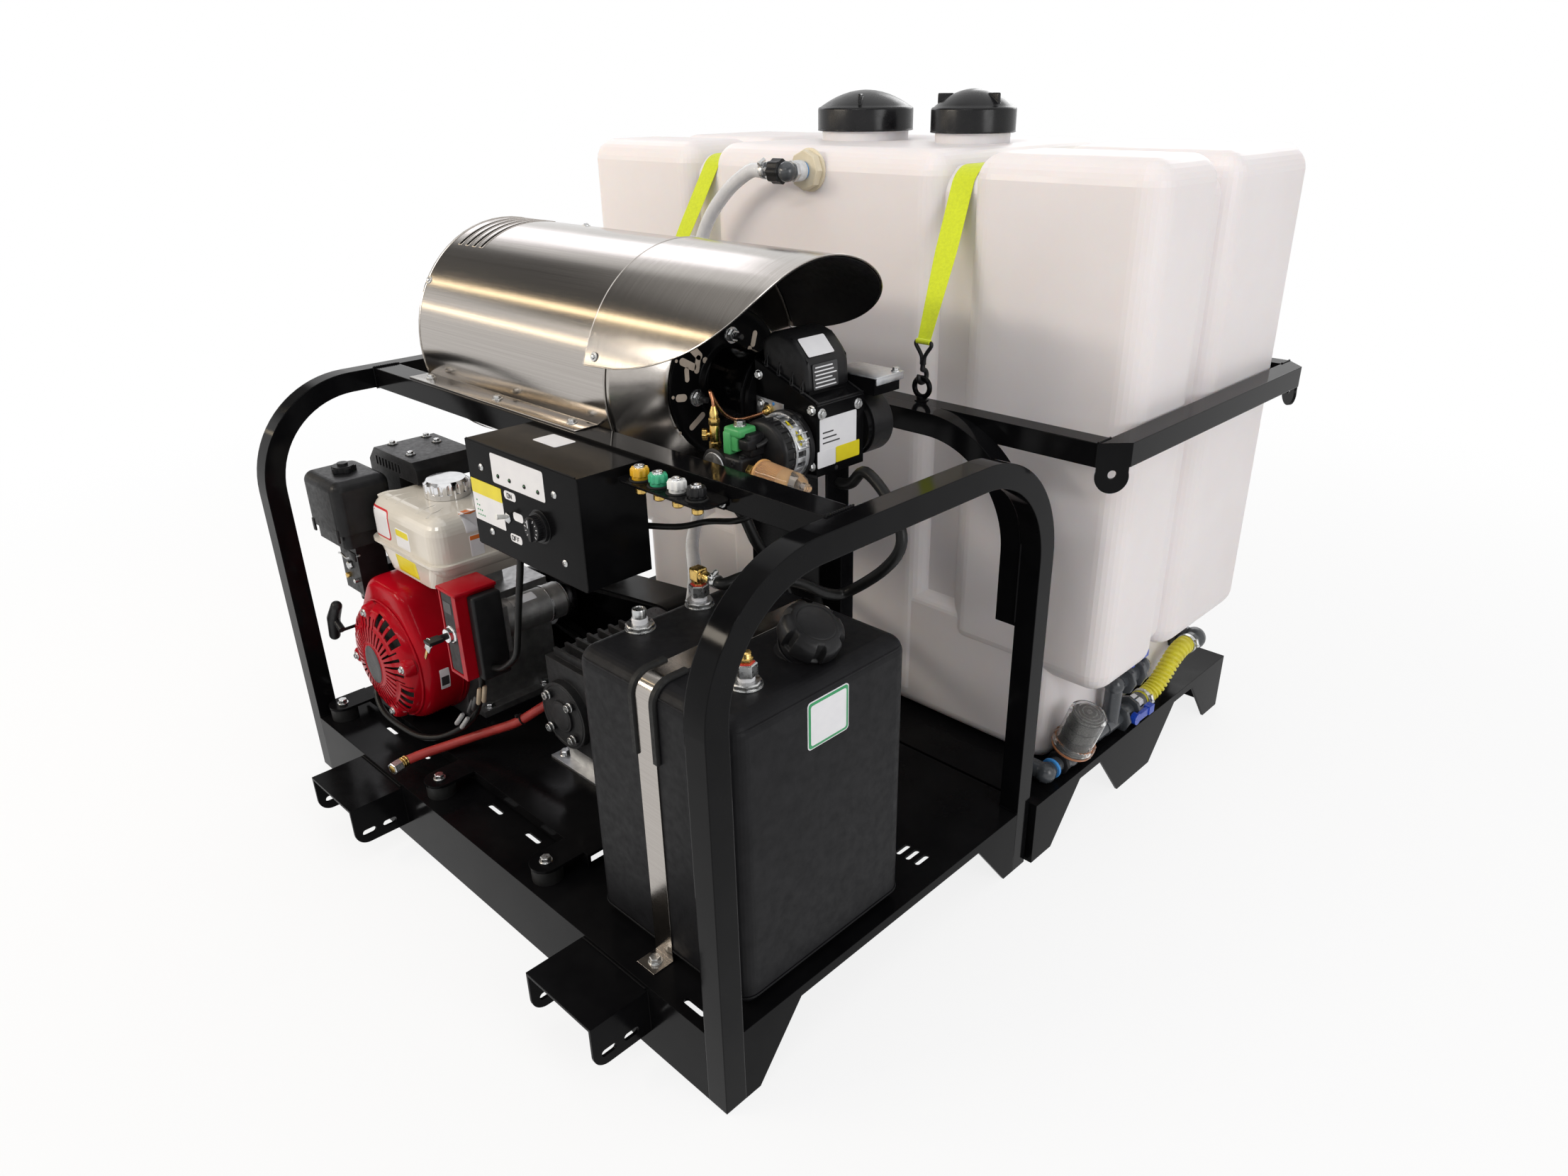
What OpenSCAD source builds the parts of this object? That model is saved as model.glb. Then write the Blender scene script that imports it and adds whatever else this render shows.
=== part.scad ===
// Hot water pressure washer skid with a water tank skid behind it.
// Millimetres, +Z up, origin at the bottom centre of the whole assembly.

/* [Machine skid] */
// Width of the machine skid over the two side hoops
skid_w = 1281; // [1240:1:1330]
// Depth of the machine skid from front plate to rear posts
skid_d = 746; // [730:1:780]
// Height of both skid bases
base_h = 128; // [110:1:150]
// Height of the top of the side hoops
hoop_h = 816; // [800:1:850]
// Side of the square frame tube
tube = 38; // [36:1:40]
// Wall of the frame tube
tube_wall = 3; // [2:0.5:4]
// Outer radius of the tube bends
bend_r = 200; // [180:1:210]
// Thickness of the base sheet
sheet = 5; // [4:0.5:6]
// Length of the flat part of a foot
foot_flat = 66; // [55:1:75]
// Length from the end of a base to the top of the foot slope
foot_run = 153; // [130:1:170]
// Height of the side lip between the feet
lip_h = 18; // [14:1:24]
// Distance from the front rail to the rear posts
rail_y = 497; // [490:1:502]
// Depth of the front rail tube
rail_d = 50; // [46:1:54]
// Height at which the rear hoop legs end
leg_end = 492; // [470:1:520]
// Depth of the two front brackets
step_d = 102; // [90:1:115]
// Width of a front bracket
step_w = 160; // [140:1:170]
// Height of a front bracket
step_h = 80; // [70:1:90]
// Height of the top of a front bracket
step_z = 120; // [112:1:126]
// Left edge of the left front bracket
step_left_x = 225; // [200:1:250]
// Left edge of the right front bracket
step_right_x = 958; // [930:1:980]

/* [Engine plate] */
// Left edge of the engine plate
plate_x = 45; // [42:1:50]
// Width of the engine plate
plate_w = 803; // [790:1:815]
// Front edge of the engine plate
plate_y = 95; // [92:1:98]
// Depth of the engine plate
plate_d = 545; // [538:1:550]
// Height of the rubber isolators
isolator_h = 27; // [22:1:32]
// Radius of the rubber isolators
isolator_r = 26; // [22:1:28]

/* [Engine] */
// Crankshaft position across the skid
crank_x = 216; // [210:1:222]
// Crankshaft height above the engine plate
crank_h = 137; // [136:1:142]
// Radius of the fan cover
fan_r = 133; // [128:1:135]
// Radius of the recoil cover
recoil_r = 118; // [112:1:122]
// Front of the recoil cover from the front plate
recoil_y = 62; // [58:1:66]
// Front of the fan cover from the front plate
fan_y = 100; // [98:1:104]
// Front of the crankcase from the front plate
block_y = 190; // [186:1:194]
// Length of the crankcase along the crankshaft
block_d = 210; // [205:1:220]
// Radius of the crankshaft
crank_r = 15; // [12:0.5:16]
// Radius of the engine pulley
engine_pulley_r = 55; // [50:1:58]

/* [Pump] */
// Pump shaft position across the skid
pump_x = 652; // [646:1:658]
// Pump shaft height above the engine plate
pump_h = 140; // [139:1:144]
// Front of the pump cover from the front plate
pump_y = 200; // [196:1:204]
// Radius of the pump pulley
pump_pulley_r = 118; // [110:1:120]
// Radius of the pump shaft
pump_shaft_r = 14; // [12:0.5:15]
// Width of each drive belt
belt_w = 10; // [9:0.5:11]

/* [Diesel tank] */
// Left face of the diesel tank
diesel_x = 932; // [926:1:936]
// Width of the diesel tank
diesel_w = 330; // [320:1:335]
// Front face of the diesel tank
diesel_y = 58; // [54:1:62]
// Depth of the diesel tank
diesel_d = 347; // [338:1:352]
// Height of the diesel tank
diesel_h = 472; // [450:1:490]
// Rounding of the diesel tank edges
diesel_r = 28; // [22:1:34]
// Width of the stainless hold-down strap
band_w = 40; // [34:1:46]

/* [Control box] */
// Left face of the control box
box_x = 580; // [570:1:590]
// Width of the control box
box_w = 298; // [285:1:300]
// Depth of the control box in front of the rail
box_d = 119; // [112:1:122]
// Height of the control box
box_h = 175; // [165:1:180]
// Drop of the box top below the rail top
box_drop = 5; // [3:1:8]
// Radius of the thermostat knob
knob_r = 24; // [20:1:28]
// Pitch of the spray nozzles in the rack
nozzle_pitch = 41; // [40:1:43]

/* [Burner] */
// Left end of the coil shell
shell_x = 163; // [155:1:175]
// Length of the coil shell
shell_len = 736; // [725:1:745]
// Outer radius of the coil shell
shell_r = 209; // [205:1:212]
// Height of the shell axis above the rail top
shell_lift = 57; // [54:1:62]
// Sheet thickness of the shell
shell_wall = 2; // [1.5:0.5:3]
// Start of the wind hood along the shell
hood_start = 540; // [530:1:550]
// Reach of the wind hood past its start
hood_reach = 310; // [295:1:320]

/* [Water tank] */
// Gap between the two skids
skid_gap = 6; // [4:1:10]
// Overhang of the tank base beyond the machine skid on each side
base_over = 12; // [8:1:16]
// Depth of the front tank base module
module_a = 383; // [375:1:390]
// Depth of the rear tank base module
module_b = 390; // [385:1:400]
// Overhang of the ring cage beyond the machine skid on each side
cage_over = 94; // [90:1:100]
// Depth of the ring cage
cage_d = 722; // [716:1:728]
// Clearance between tank and cage at the sides
tank_side_gap = 5; // [3:1:8]
// Clearance between tank and cage at the rear
tank_rear_gap = 4; // [2:1:6]
// Depth of the water tank
tank_d = 558; // [545:1:562]
// Height of the top of the water tank
tank_top = 1205; // [1180:1:1240]
// Radius of the large lid
lid_r = 97; // [90:1:102]
// Radius of the small lid
small_lid_r = 80; // [74:1:84]

/* [Hidden] */
$fn = 64;
eps = 1;
hull_fn = 32;
total_d = step_d + skid_d + skid_gap + module_a + module_b;
front_y = step_d - total_d / 2;
deck_z = base_h;
plate_z = base_h + isolator_h + sheet;
crank_z = plate_z + crank_h;
pump_z = plate_z + pump_h;
rail_z = hoop_h - tube;
rail_front = skid_d - rail_y;
rail_back = rail_front + rail_d;
bolt_r = 5;
bolt_fit = 0.4;
run_fit = 0.05;
part_fit = 0.4;
screw_fit = 0.5;

// engine plate
iso_reach = 55;
iso_front = plate_y - iso_reach;
iso_rear = plate_y + plate_d + iso_reach;
iso_xs = [plate_x + 25, plate_x + plate_w / 2 + 18, plate_x + plate_w - 40];
iso_pts = [for (y = [iso_front, iso_rear]) for (x = iso_xs) [x, y]];
bolt_head_h = 7;
bolt_tail = 14;

// engine
block_half = 105;
block_top = plate_z + 245;
block_back = block_y + block_d;
cyl_tilt = 65;
head_half = 62;
cyl_y = block_y + 105;
fan_wall = 3;
fuel_x = 152;
fuel_w = 250;
fuel_y = 135;
fuel_d = 210;
fuel_z = block_top + 69;
fuel_seam = fuel_z + 54;
fuel_top = fuel_z + 141;
fuel_r = 34;
fuel_cap_p = [277, 240];
fuel_neck_r = 30;
fuel_cap_r = 42;
air_x = 0;
air_w = 143;
air_y = 80;
air_d = 115;
air_z = plate_z + 375;
air_h = 105;
air_r = 20;
carb_x = 40;
carb_w = 75;
carb_y = 112;
carb_d = 58;
muff_x = 20;
muff_y = 215;
muff_d = 130;
muff_z = block_top + 75;
muff_h = 185;
muff_side = 118;
muff_over = 76;
muff_top_h = 42;
side_plate_x = crank_x + 294;
side_plate_z = plate_z + 220;
side_plate_h = 90;
side_plate_d = 10;
key_x = 436;
key_w = 58;
key_d = 78;
key_y = block_y - key_d;
key_z = plate_z + 185;
key_h = 171;
starter_x = 470;
starter_z = plate_z + 266;
starter_r = 35;
starter_len = 130;
starter_y = block_y + side_plate_d;
flange_t = 14;
flange_out = 22;
flange_in = 20;
engine_pts = [for (x = [-1, 1]) for (y = [block_y + 40, block_back - 40])
  [crank_x + x * (block_half + flange_out / 2), y]];
flywheel_r = 122;
pulley_y = block_back + 52;
pulley_w = 50;
groove_d = 9;
belt_pitch = 20;
belt_first = 10;
belt_gap = 0.5;

// pump
pump_face = pump_y + 15;
pump_case_d = 185;
pump_left = pump_x - 60;
pump_right = pump_x + 100;
pump_low = pump_z - 75;
pump_top = pump_z + 95;
pump_bolt_off = 33;
manifold_w = 98;
shaft_span = pump_x - crank_x;
bracket_w = 40;
bracket_t = 5;
bracket_ys = [pump_face + 6, pump_face + pump_case_d - bracket_w - 6];
bracket_xs = [pump_left - 17, pump_right + 60];
bracket_pts = [for (y = bracket_ys) for (x = bracket_xs) [x, y + bracket_w / 2]];
guard_y = block_back + 34;
guard_d = 88;
guard_wall = 2;
guard_small_r = engine_pulley_r + 27;
guard_big_r = crank_h - 1;

// diesel tank
diesel_top = deck_z + diesel_h;
diesel_right = diesel_x + diesel_w;
diesel_back = diesel_y + diesel_d;
diesel_wall = 13;
neck_p = [diesel_right - 86, diesel_y + 204, diesel_top - 10];
neck_tilt = 30;
neck_r = 34;
neck_h = 57;
band_t = 2;
band_x = diesel_x + diesel_w / 2 - band_w / 2 - 8;
band_foot = 38;
fitting_pts = [
  [diesel_x + 32, diesel_y + 97],
  [diesel_x + 36, diesel_y + 207],
  [diesel_right - 66, diesel_y + 88]
];

// control box and rack
box_y = rail_front - box_d;
box_top = hoop_h - box_drop;
box_z = box_top - box_h;
box_t = 2;
knob_p = [box_x + 190, box_y, box_z + 76];
switch_p = [box_x + 101, box_y, box_z + 67];
rack_x = box_x + box_w + 4;
rack_w = 190;
rack_y = rail_front - 58;
rack_z = rail_z + 17;
rack_t = 3;
rack_r = 18;
nozzle_y = rail_front - 34;
nozzle_x = rack_x + 30;
nozzle_stem_r = 8.5;
nozzle_rest = 0.3;

// burner
shell_z = hoop_h + shell_lift;
shell_seat = 0.5;
shell_y = rail_back + shell_seat + sqrt(shell_r * shell_r - shell_lift * shell_lift);
shell_end = shell_x + shell_len;
strip_t = 3;
strip_w = 44;
hood_x = shell_x + hood_start;
hood_t = 1.5;
hood_low = shell_z + 41;
hood_high = shell_z + shell_r + hood_t;
plate_t = 5;
coil_r = 150;
coil_tube = 13;
coil_pitch = 48;
coil_turns = 12;
house_x = shell_end + plate_t + 8;
house_w = 128;
house_y = shell_y - 53;
house_d = 106;
house_low = shell_z - 103;
house_high = shell_z + 57;
house_drop = 50;
motor_x = house_x + 73;
motor_z = house_low + 42;
motor_r = 50;
motor_len = 62;
oil_p = [shell_end + plate_t + 3, house_y - motor_len - 45, motor_z - 47];
stub_x = house_x + 93;
stub_z = house_low + 52;
stub_r = 47;
stub_len = 50;
column_x = 853;
column_w = 202;
column_y = shell_y - 15;
column_d = 30;
column_top = shell_z - shell_r - 9;
brace_x = house_x + 53;
brace_w = 70;

// water tank skid
tank_base_y = skid_d + skid_gap;
tank_base_w = skid_w + 2 * base_over;
cage_x0 = -cage_over;
cage_x1 = skid_w + cage_over;
cage_y0 = skid_d;
cage_y1 = skid_d + cage_d;
cage_cut = tube;
tab_h = 80;
tab_r = 26;
tab_t = 5;
tab_hole = 7;
tank_x0 = cage_x0 + tube + tank_side_gap;
tank_x1 = cage_x1 - tube - tank_side_gap;
tank_y1 = cage_y1 - tube - tank_rear_gap;
tank_y0 = tank_y1 - tank_d;
tank_low_x = 102;
tank_step_z = deck_z + 180;
tank_r = 45;
groove = 25;
strap_off = 317;
groove_half = 28;
side_groove_y = tank_y0 + 205;
side_groove_w = 40;
lid_p = [skid_w / 2 - 116, (tank_y0 + tank_y1) / 2];
small_lid_p = [skid_w / 2 + 152, (tank_y0 + tank_y1) / 2];
lid_rise = 17;
lid_neck = 30;
strap_w = 44;
strap_t = 2;
strap_turn = 63;
rear_turn = 79;
strap_fit = 0.4;
eye_off = 348;
upright_off = 92.5;
upright_x = skid_w / 2 - eye_off - upright_off;
eye_y = cage_y0 + tube / 2;
eye_y_rear = cage_y1 - tube / 2;
eye_r = 16;
eye_wire = 4.5;
hook_r = 11;
hook_wire = 3.5;
eye_z = hoop_h + 23;
hook_z = hoop_h + 78;
pipe_x = tank_x1 - tank_low_x + 33;
low_face = tank_x1 - tank_low_x;
pipe_z = deck_z + 22;
pipe_r = 17;
valve_r = 19;
strain_p = [pipe_x, tank_y0 + 29, pipe_z];
strain_tilt = 18;
tee_y = tank_y0 + 192;
valve_y = tee_y + 25;
valve_len = 50;
nipple_y = valve_y + valve_len;
hose_y = nipple_y + 45;
up_z = pipe_z + 88;
far_p = [low_face, tank_y1 - 43, deck_z + 94];
bulk_p = [skid_w / 2 - 7, tank_y0, tank_top - 40];

// hose routes
hose_gap = 0.6;
bypass_route = [
  [bulk_p[0] - 48 - hose_gap, tank_y0 - 63, bulk_p[2]],
  [bulk_p[0] - 66, tank_y0 - 63, bulk_p[2]],
  [bulk_p[0] - 100, tank_y0 - 62, bulk_p[2] - 4],
  [470, tank_y0 - 60, bulk_p[2] - 40],
  [410, tank_y0 - 58, bulk_p[2] - 96],
  [372, tank_y0 - 57, bulk_p[2] - 165],
  [360, tank_y0 - 56, 930],
  [360, tank_y0 - 56, 860],
  [360, tank_y0 - 56, 760],
  [364, tank_y0 - 58, 640],
  [400, tank_y0 - 90, 545],
  [480, 680, 500],
  [590, 570, 500],
  [700, 480, 490],
  [772, 400, 455],
  [pump_right + 48, pump_face + 115, pump_z + 125],
  [pump_right + 48, pump_face + 106, pump_z + 100],
  [pump_right + 48, pump_face + 105, pump_z + 84],
  [pump_right + 48, pump_face + 105, pump_z + 70 + hose_gap]
];
drain_route = [
  [pump_left - hose_gap, pump_face + 35, pump_z - 15],
  [pump_left - 12, pump_face + 35, pump_z - 15],
  [pump_left - 24, pump_face + 34, pump_z - 17],
  [pump_left - 50, pump_face + 10, pump_z - 38],
  [500, 190, plate_z + 66],
  [440, 150, plate_z + 34],
  [402, 100, plate_z + 16],
  [382, 55, plate_z + 9],
  [372, 22, plate_z + 4]
];
barb = 30;
barb_z = diesel_top + 50;
loop_route = [
  [brace_x + brace_w + hose_gap, shell_y, house_low - 22],
  [brace_x + brace_w + 12, shell_y, house_low - 22],
  [brace_x + brace_w + 28, shell_y + 1, house_low - 16],
  [1090, shell_y + 2, house_low + 6],
  [1144, shell_y - 6, house_low - 26],
  [1177, shell_y - 16, house_low - 76],
  [1155, shell_y - 26, house_low - 124],
  [1089, shell_y - 38, house_low - 180],
  [1080, diesel_back + 20, diesel_top - 2],
  [1072, diesel_back - 35, diesel_top + 32],
  [1040, diesel_back - 95, diesel_top + 54],
  [fitting_pts[1][0] + barb + 26, fitting_pts[1][1] + 3, barb_z],
  [fitting_pts[1][0] + barb + 12, fitting_pts[1][1], barb_z],
  [fitting_pts[1][0] + barb + hose_gap, fitting_pts[1][1], barb_z]
];
return_route = [
  [oil_p[0] + 26, oil_p[1] + 22, oil_p[2] - hose_gap],
  [oil_p[0] + 26, oil_p[1] + 22, oil_p[2] - 14],
  [oil_p[0] + 26, oil_p[1] + 23, oil_p[2] - 28],
  [952, oil_p[1] + 36, oil_p[2] - 60],
  [964, diesel_back - 13, diesel_top + 58],
  [970, diesel_back + 22, diesel_top + 8],
  [980, diesel_back + 38, diesel_top - 45],
  [985, diesel_back + 30, diesel_top - 98],
  [985, diesel_back + 14, diesel_top - 110],
  [985, diesel_back + hose_gap, diesel_top - 110]
];
wire_route = [
  [box_x + box_w - 60, rail_front - 14, box_z + 64],
  [box_x + box_w, rail_front + 50, box_z + 55],
  [915, oil_p[1] - 5, box_z + 63],
  [980, oil_p[1] + 4, box_z + 80],
  [motor_x, oil_p[1] + 50, motor_z - motor_r - 32],
  [motor_x, house_y - motor_len / 2, motor_z - motor_r - 14],
  [motor_x, house_y - motor_len / 2, motor_z - motor_r - hose_gap]
];
control_route = [
  [box_x + 84, box_y + 20, box_z - hose_gap],
  [box_x + 83, box_y + 20, box_z - 20],
  [box_x + 70, box_y + 21, box_z - 62],
  [box_x + 52, box_y + 22, box_z - 120],
  [box_x + 38, box_y + 22, box_z - 172],
  [box_x + 22, box_y + 22, box_z - 215],
  [key_x + key_w + 64, key_y + 40, key_z + 38],
  [key_x + key_w + 32, key_y + 40, key_z + 24],
  [key_x + key_w + 14, key_y + 40, key_z + 20],
  [key_x + key_w + hose_gap, key_y + 40, key_z + 20]
];
loom_route = [
  [key_x + 30, key_y + 40, key_z - hose_gap],
  [key_x + 30, key_y + 40, key_z - 18],
  [key_x + 28, key_y + 39, key_z - 40],
  [key_x + 14, key_y + 32, key_z - 86],
  [430, 135, plate_z + 66],
  [400, 119, plate_z + 38],
  [366, 98, plate_z + 18],
  [322, 80, plate_z + 9],
  [264, 73, plate_z + 8],
  [206, 73, plate_z + 8],
  [170, 76, plate_z + 16],
  [148, 82, plate_z + 30],
  [138, fan_y - 10, plate_z + 39],
  [136, fan_y - hose_gap, plate_z + 40]
];
suction_route = [
  [far_p[0] + 45, far_p[1] - 25 - hose_gap, far_p[2]],
  [far_p[0] + 45, far_p[1] - 45, far_p[2]],
  [far_p[0] + 45, far_p[1] - 64, far_p[2]],
  [far_p[0] + 43, far_p[1] - 92, far_p[2] - 14],
  [pipe_x + 5, hose_y + 66, pipe_z + 16],
  [pipe_x, hose_y + 38, pipe_z],
  [pipe_x, hose_y + 20, pipe_z],
  [pipe_x, hose_y + hose_gap, pipe_z]
];
bypass_r = 13;
drain_r = 9;
fuel_hose_r = 9;
wire_r = 5;
loom_r = 6;
suction_r = 20;
suction_bore = 15.2;
rib_h = 2.5;
hose_sides = 10;

function unit(v) = v / norm(v);
function blend4(a, b, c, d, t) =
  0.5 * (2 * b + (c - a) * t + (2 * a - 5 * b + 4 * c - d) * t * t + (3 * b - a - 3 * c + d) * t * t * t);
function eased(p, n) = concat(
  [for (i = [0 : len(p) - 2]) for (j = [0 : n - 1])
    blend4(p[max(i - 1, 0)], p[i], p[i + 1], p[min(i + 2, len(p) - 1)], j / n)],
  [p[len(p) - 1]]
);
function heading(p, i) = unit(p[min(i + 1, len(p) - 1)] - p[max(i - 1, 0)]);
function ring_at(c, t, ref, r, n) = let (s = unit(cross(t, ref)), w = cross(s, t))
  [for (k = [0 : n - 1]) c + r * (cos(360 * k / n) * s + sin(360 * k / n) * w)];
function wrap_faces(m, n, o) = [for (i = [0 : m - 2]) for (k = [0 : n - 1])
  [o + i * n + k, o + i * n + (k + 1) % n, o + (i + 1) * n + (k + 1) % n, o + (i + 1) * n + k]];
function turned(f) = [for (q = f) [for (k = [len(q) - 1 : -1 : 0]) q[k]]];

module on_skid() {
  translate([-skid_w / 2, front_y, 0]) children();
}
module box(a, b) {
  translate(a) cube(b - a);
}
module bar_x(p, r, l) {
  translate(p) rotate([0, 90, 0]) cylinder(r = r, h = l);
}
module bar_y(p, r, l) {
  translate(p) rotate([-90, 0, 0]) cylinder(r = r, h = l);
}
module bar_z(p, r, l) {
  translate(p) cylinder(r = r, h = l);
}
module hex_z(p, r, l) {
  translate(p) cylinder(r = r, h = l, $fn = 6);
}
module hex_y(p, r, l) {
  translate(p) rotate([-90, 0, 0]) cylinder(r = r, h = l, $fn = 6);
}
module hex_x(p, r, l) {
  translate(p) rotate([0, 90, 0]) cylinder(r = r, h = l, $fn = 6);
}
module prism_x(x, l) {
  translate([x, 0, 0]) rotate([90, 0, 90]) linear_extrude(l) children();
}
module prism_y(y, l) {
  translate([0, y + l, 0]) rotate([90, 0, 0]) linear_extrude(l) children();
}
module soft_block(a, b, r) {
  hull() {
    for (x = [a[0] + r, b[0] - r]) {
      for (y = [a[1] + r, b[1] - r]) {
        for (z = [a[2] + r, b[2] - r]) {
          translate([x, y, z]) sphere(r, $fn = hull_fn);
        }
      }
    }
  }
}
module soft_rect(w, h, r) {
  translate([r, 0]) square([w - 2 * r, h]);
  translate([0, r]) square([w, h - 2 * r]);
  for (x = [r, w - r]) {
    for (y = [r, h - r]) {
      translate([x, y]) circle(r);
    }
  }
}
module slot2d(l, w) {
  translate([w / 2, 0]) square([l - w, w]);
  translate([w / 2, w / 2]) circle(w / 2);
  translate([l - w / 2, w / 2]) circle(w / 2);
}
module arch2d(d, h, r) {
  intersection() {
    union() {
      square([d, h - r]);
      translate([r, 0]) square([d - 2 * r, h]);
      translate([r, h - r]) circle(r);
      translate([d - r, h - r]) circle(r);
    }
    square([d, h]);
  }
}
module arch_band(d, h, r, a, b) {
  difference() {
    translate([a, 0]) arch2d(d - 2 * a, h - a, r - a);
    translate([b, -eps]) arch2d(d - 2 * b, h - b + eps, r - b);
  }
}
module tube_arch(d, h) {
  difference() {
    linear_extrude(tube) arch_band(d, h, bend_r, 0, tube);
    translate([0, -eps, tube_wall]) linear_extrude(tube - 2 * tube_wall)
      arch_band(d, h + eps, bend_r, tube_wall, tube - tube_wall);
  }
}
module belt_outline(r1, r2, d) {
  lean = asin((r2 - r1) / d);
  circle(r1);
  translate([d, 0]) circle(r2);
  polygon([
    [-r1 * sin(lean), r1 * cos(lean)],
    [d - r2 * sin(lean), r2 * cos(lean)],
    [d - r2 * sin(lean), -r2 * cos(lean)],
    [-r1 * sin(lean), -r1 * cos(lean)]
  ]);
}
module foot_outline(d, c) {
  top = base_h - sheet;
  polygon([
    [c, 0], [foot_flat, 0], [foot_run, base_h - lip_h], [d - foot_run, base_h - lip_h],
    [d - foot_flat, 0], [d - c, 0], [d - c, top], [c, top]
  ]);
}
module base_walls(w, d, c) {
  prism_x(0, sheet) foot_outline(d, c);
  prism_x(w - sheet, sheet) foot_outline(d, c);
  box([c, 0, 0], [w - c, sheet, base_h - sheet]);
  box([c, d - sheet, 0], [w - c, d, base_h - sheet]);
}
module hose(route, r, ref, n) {
  path = eased(route, n);
  m = len(path);
  pts = [for (i = [0 : m - 1]) each ring_at(path[i], heading(path, i), ref, r, hose_sides)];
  polyhedron(points = pts, faces = concat(
    wrap_faces(m, hose_sides, 0),
    [[for (k = [hose_sides - 1 : -1 : 0]) k]],
    [[for (k = [0 : hose_sides - 1]) (m - 1) * hose_sides + k]]
  ));
}
module ribbed_hose(route, r, bore, rib, ref, n) {
  path = eased(route, n);
  m = len(path);
  outer = [for (i = [0 : m - 1])
    each ring_at(path[i], heading(path, i), ref, r - (i % 2) * rib, hose_sides)];
  inner = [for (i = [0 : m - 1]) each ring_at(path[i], heading(path, i), ref, bore, hose_sides)];
  c = m * hose_sides;
  polyhedron(points = concat(outer, inner), faces = concat(
    wrap_faces(m, hose_sides, 0),
    turned(wrap_faces(m, hose_sides, c)),
    [for (k = [0 : hose_sides - 1]) [k, c + k, c + (k + 1) % hose_sides, (k + 1) % hose_sides]],
    [for (k = [0 : hose_sides - 1]) let (e = (m - 1) * hose_sides)
      [e + k, e + (k + 1) % hose_sides, c + e + (k + 1) % hose_sides, c + e + k]]
  ));
}

// machine skid
module front_bracket(x) {
  bottom = step_z - step_h;
  slot_l = 26;
  slot_w = 12;
  box([x, -step_d, step_z - sheet], [x + step_w, 0, step_z]);
  for (sx = [x, x + step_w - sheet]) {
    difference() {
      prism_x(sx, sheet) union() {
        translate([-step_d + tab_r, bottom]) square([step_d - tab_r, step_h]);
        translate([-step_d, bottom + tab_r]) square([step_d, step_h - tab_r]);
        translate([-step_d + tab_r, bottom + tab_r]) circle(tab_r);
      }
      for (k = [0 : 1]) {
        prism_x(sx - eps, sheet + 2 * eps)
          translate([-step_d + 14 + k * 40, bottom + 16]) slot2d(slot_l, slot_w);
      }
    }
  }
}
module machine_base() {
  bay_x0 = plate_x + 85;
  bay_x1 = plate_x + plate_w - 18;
  bay_y0 = plate_y + 15;
  bay_y1 = plate_y + plate_d - 10;
  slot_l = 44;
  slot_w = 10;
  rear_slot = 268;
  slot_xs = [170, 300, 560, 680];
  color("black") on_skid() {
    base_walls(skid_w, skid_d, tube);
    front_bracket(step_left_x);
    front_bracket(step_right_x);
    difference() {
      box([0, 0, deck_z - sheet], [skid_w, skid_d, deck_z]);
      for (x = [-eps, skid_w - tube]) {
        for (y = [-eps, skid_d - tube]) {
          translate([x, y, deck_z - 2 * sheet]) cube([tube + eps, tube + eps, 3 * sheet]);
        }
      }
      box([bay_x0, bay_y0, 0], [bay_x1, bay_y1, deck_z + eps]);
      box([diesel_x - 27, diesel_y + 82, 0], [band_x - 15, column_y - 15, deck_z + eps]);
      for (k = [0 : 2]) {
        translate([skid_w - 83 + k * 20, skid_d - rear_slot, 0]) rotate([0, 0, 90])
          linear_extrude(deck_z + eps) slot2d(slot_l - 10, slot_w);
      }
      for (x = slot_xs) {
        translate([x, plate_y - 20, 0]) linear_extrude(deck_z + eps) slot2d(slot_l, slot_w);
      }
      translate([skid_w - 105, 17, 0]) linear_extrude(deck_z + eps) slot2d(slot_l, slot_w);
      for (p = iso_pts) {
        bar_z([p[0], p[1], 0], bolt_r + bolt_fit, deck_z + eps);
      }
      for (y = [diesel_y - band_foot / 2, diesel_back + band_foot / 2]) {
        bar_z([band_x + band_w / 2, y, 0], bolt_r + bolt_fit, deck_z + eps);
      }
    }
  }
}
module side_hoops() {
  color("black") on_skid() for (x = [0, skid_w - tube]) {
    translate([x, 0, 0]) rotate([90, 0, 90]) tube_arch(skid_d, hoop_h);
  }
}
module rear_hoop() {
  color("black") on_skid() translate([tube, skid_d, leg_end]) rotate([90, 0, 0])
    tube_arch(skid_w - 2 * tube, hoop_h - leg_end);
}
module front_rail() {
  color("black") on_skid() difference() {
    box([tube, rail_front, rail_z], [skid_w - tube, rail_back, hoop_h]);
    box([tube - eps, rail_front + tube_wall, rail_z + tube_wall],
      [skid_w - tube + eps, rail_back - tube_wall, hoop_h - tube_wall]);
  }
}
module engine_plate() {
  flange = 22;
  tab = isolator_r + 2;
  color("black") on_skid() difference() {
    union() {
      box([plate_x, plate_y, plate_z - sheet], [plate_x + plate_w, plate_y + plate_d, plate_z]);
      box([plate_x, plate_y, plate_z - flange], [plate_x + plate_w, plate_y + sheet, plate_z]);
      box([plate_x, plate_y + plate_d - sheet, plate_z - flange],
        [plate_x + plate_w, plate_y + plate_d, plate_z]);
      for (x = iso_xs) {
        bar_z([x, iso_front, plate_z - sheet], tab, sheet);
        bar_z([x, iso_rear, plate_z - sheet], tab, sheet);
        box([x - tab, iso_front, plate_z - sheet], [x + tab, plate_y + sheet, plate_z]);
        box([x - tab, plate_y + plate_d - sheet, plate_z - sheet], [x + tab, iso_rear, plate_z]);
      }
    }
    for (p = concat(iso_pts, engine_pts, bracket_pts)) {
      bar_z([p[0], p[1], 0], bolt_r + bolt_fit, plate_z + eps);
    }
  }
}
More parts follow.
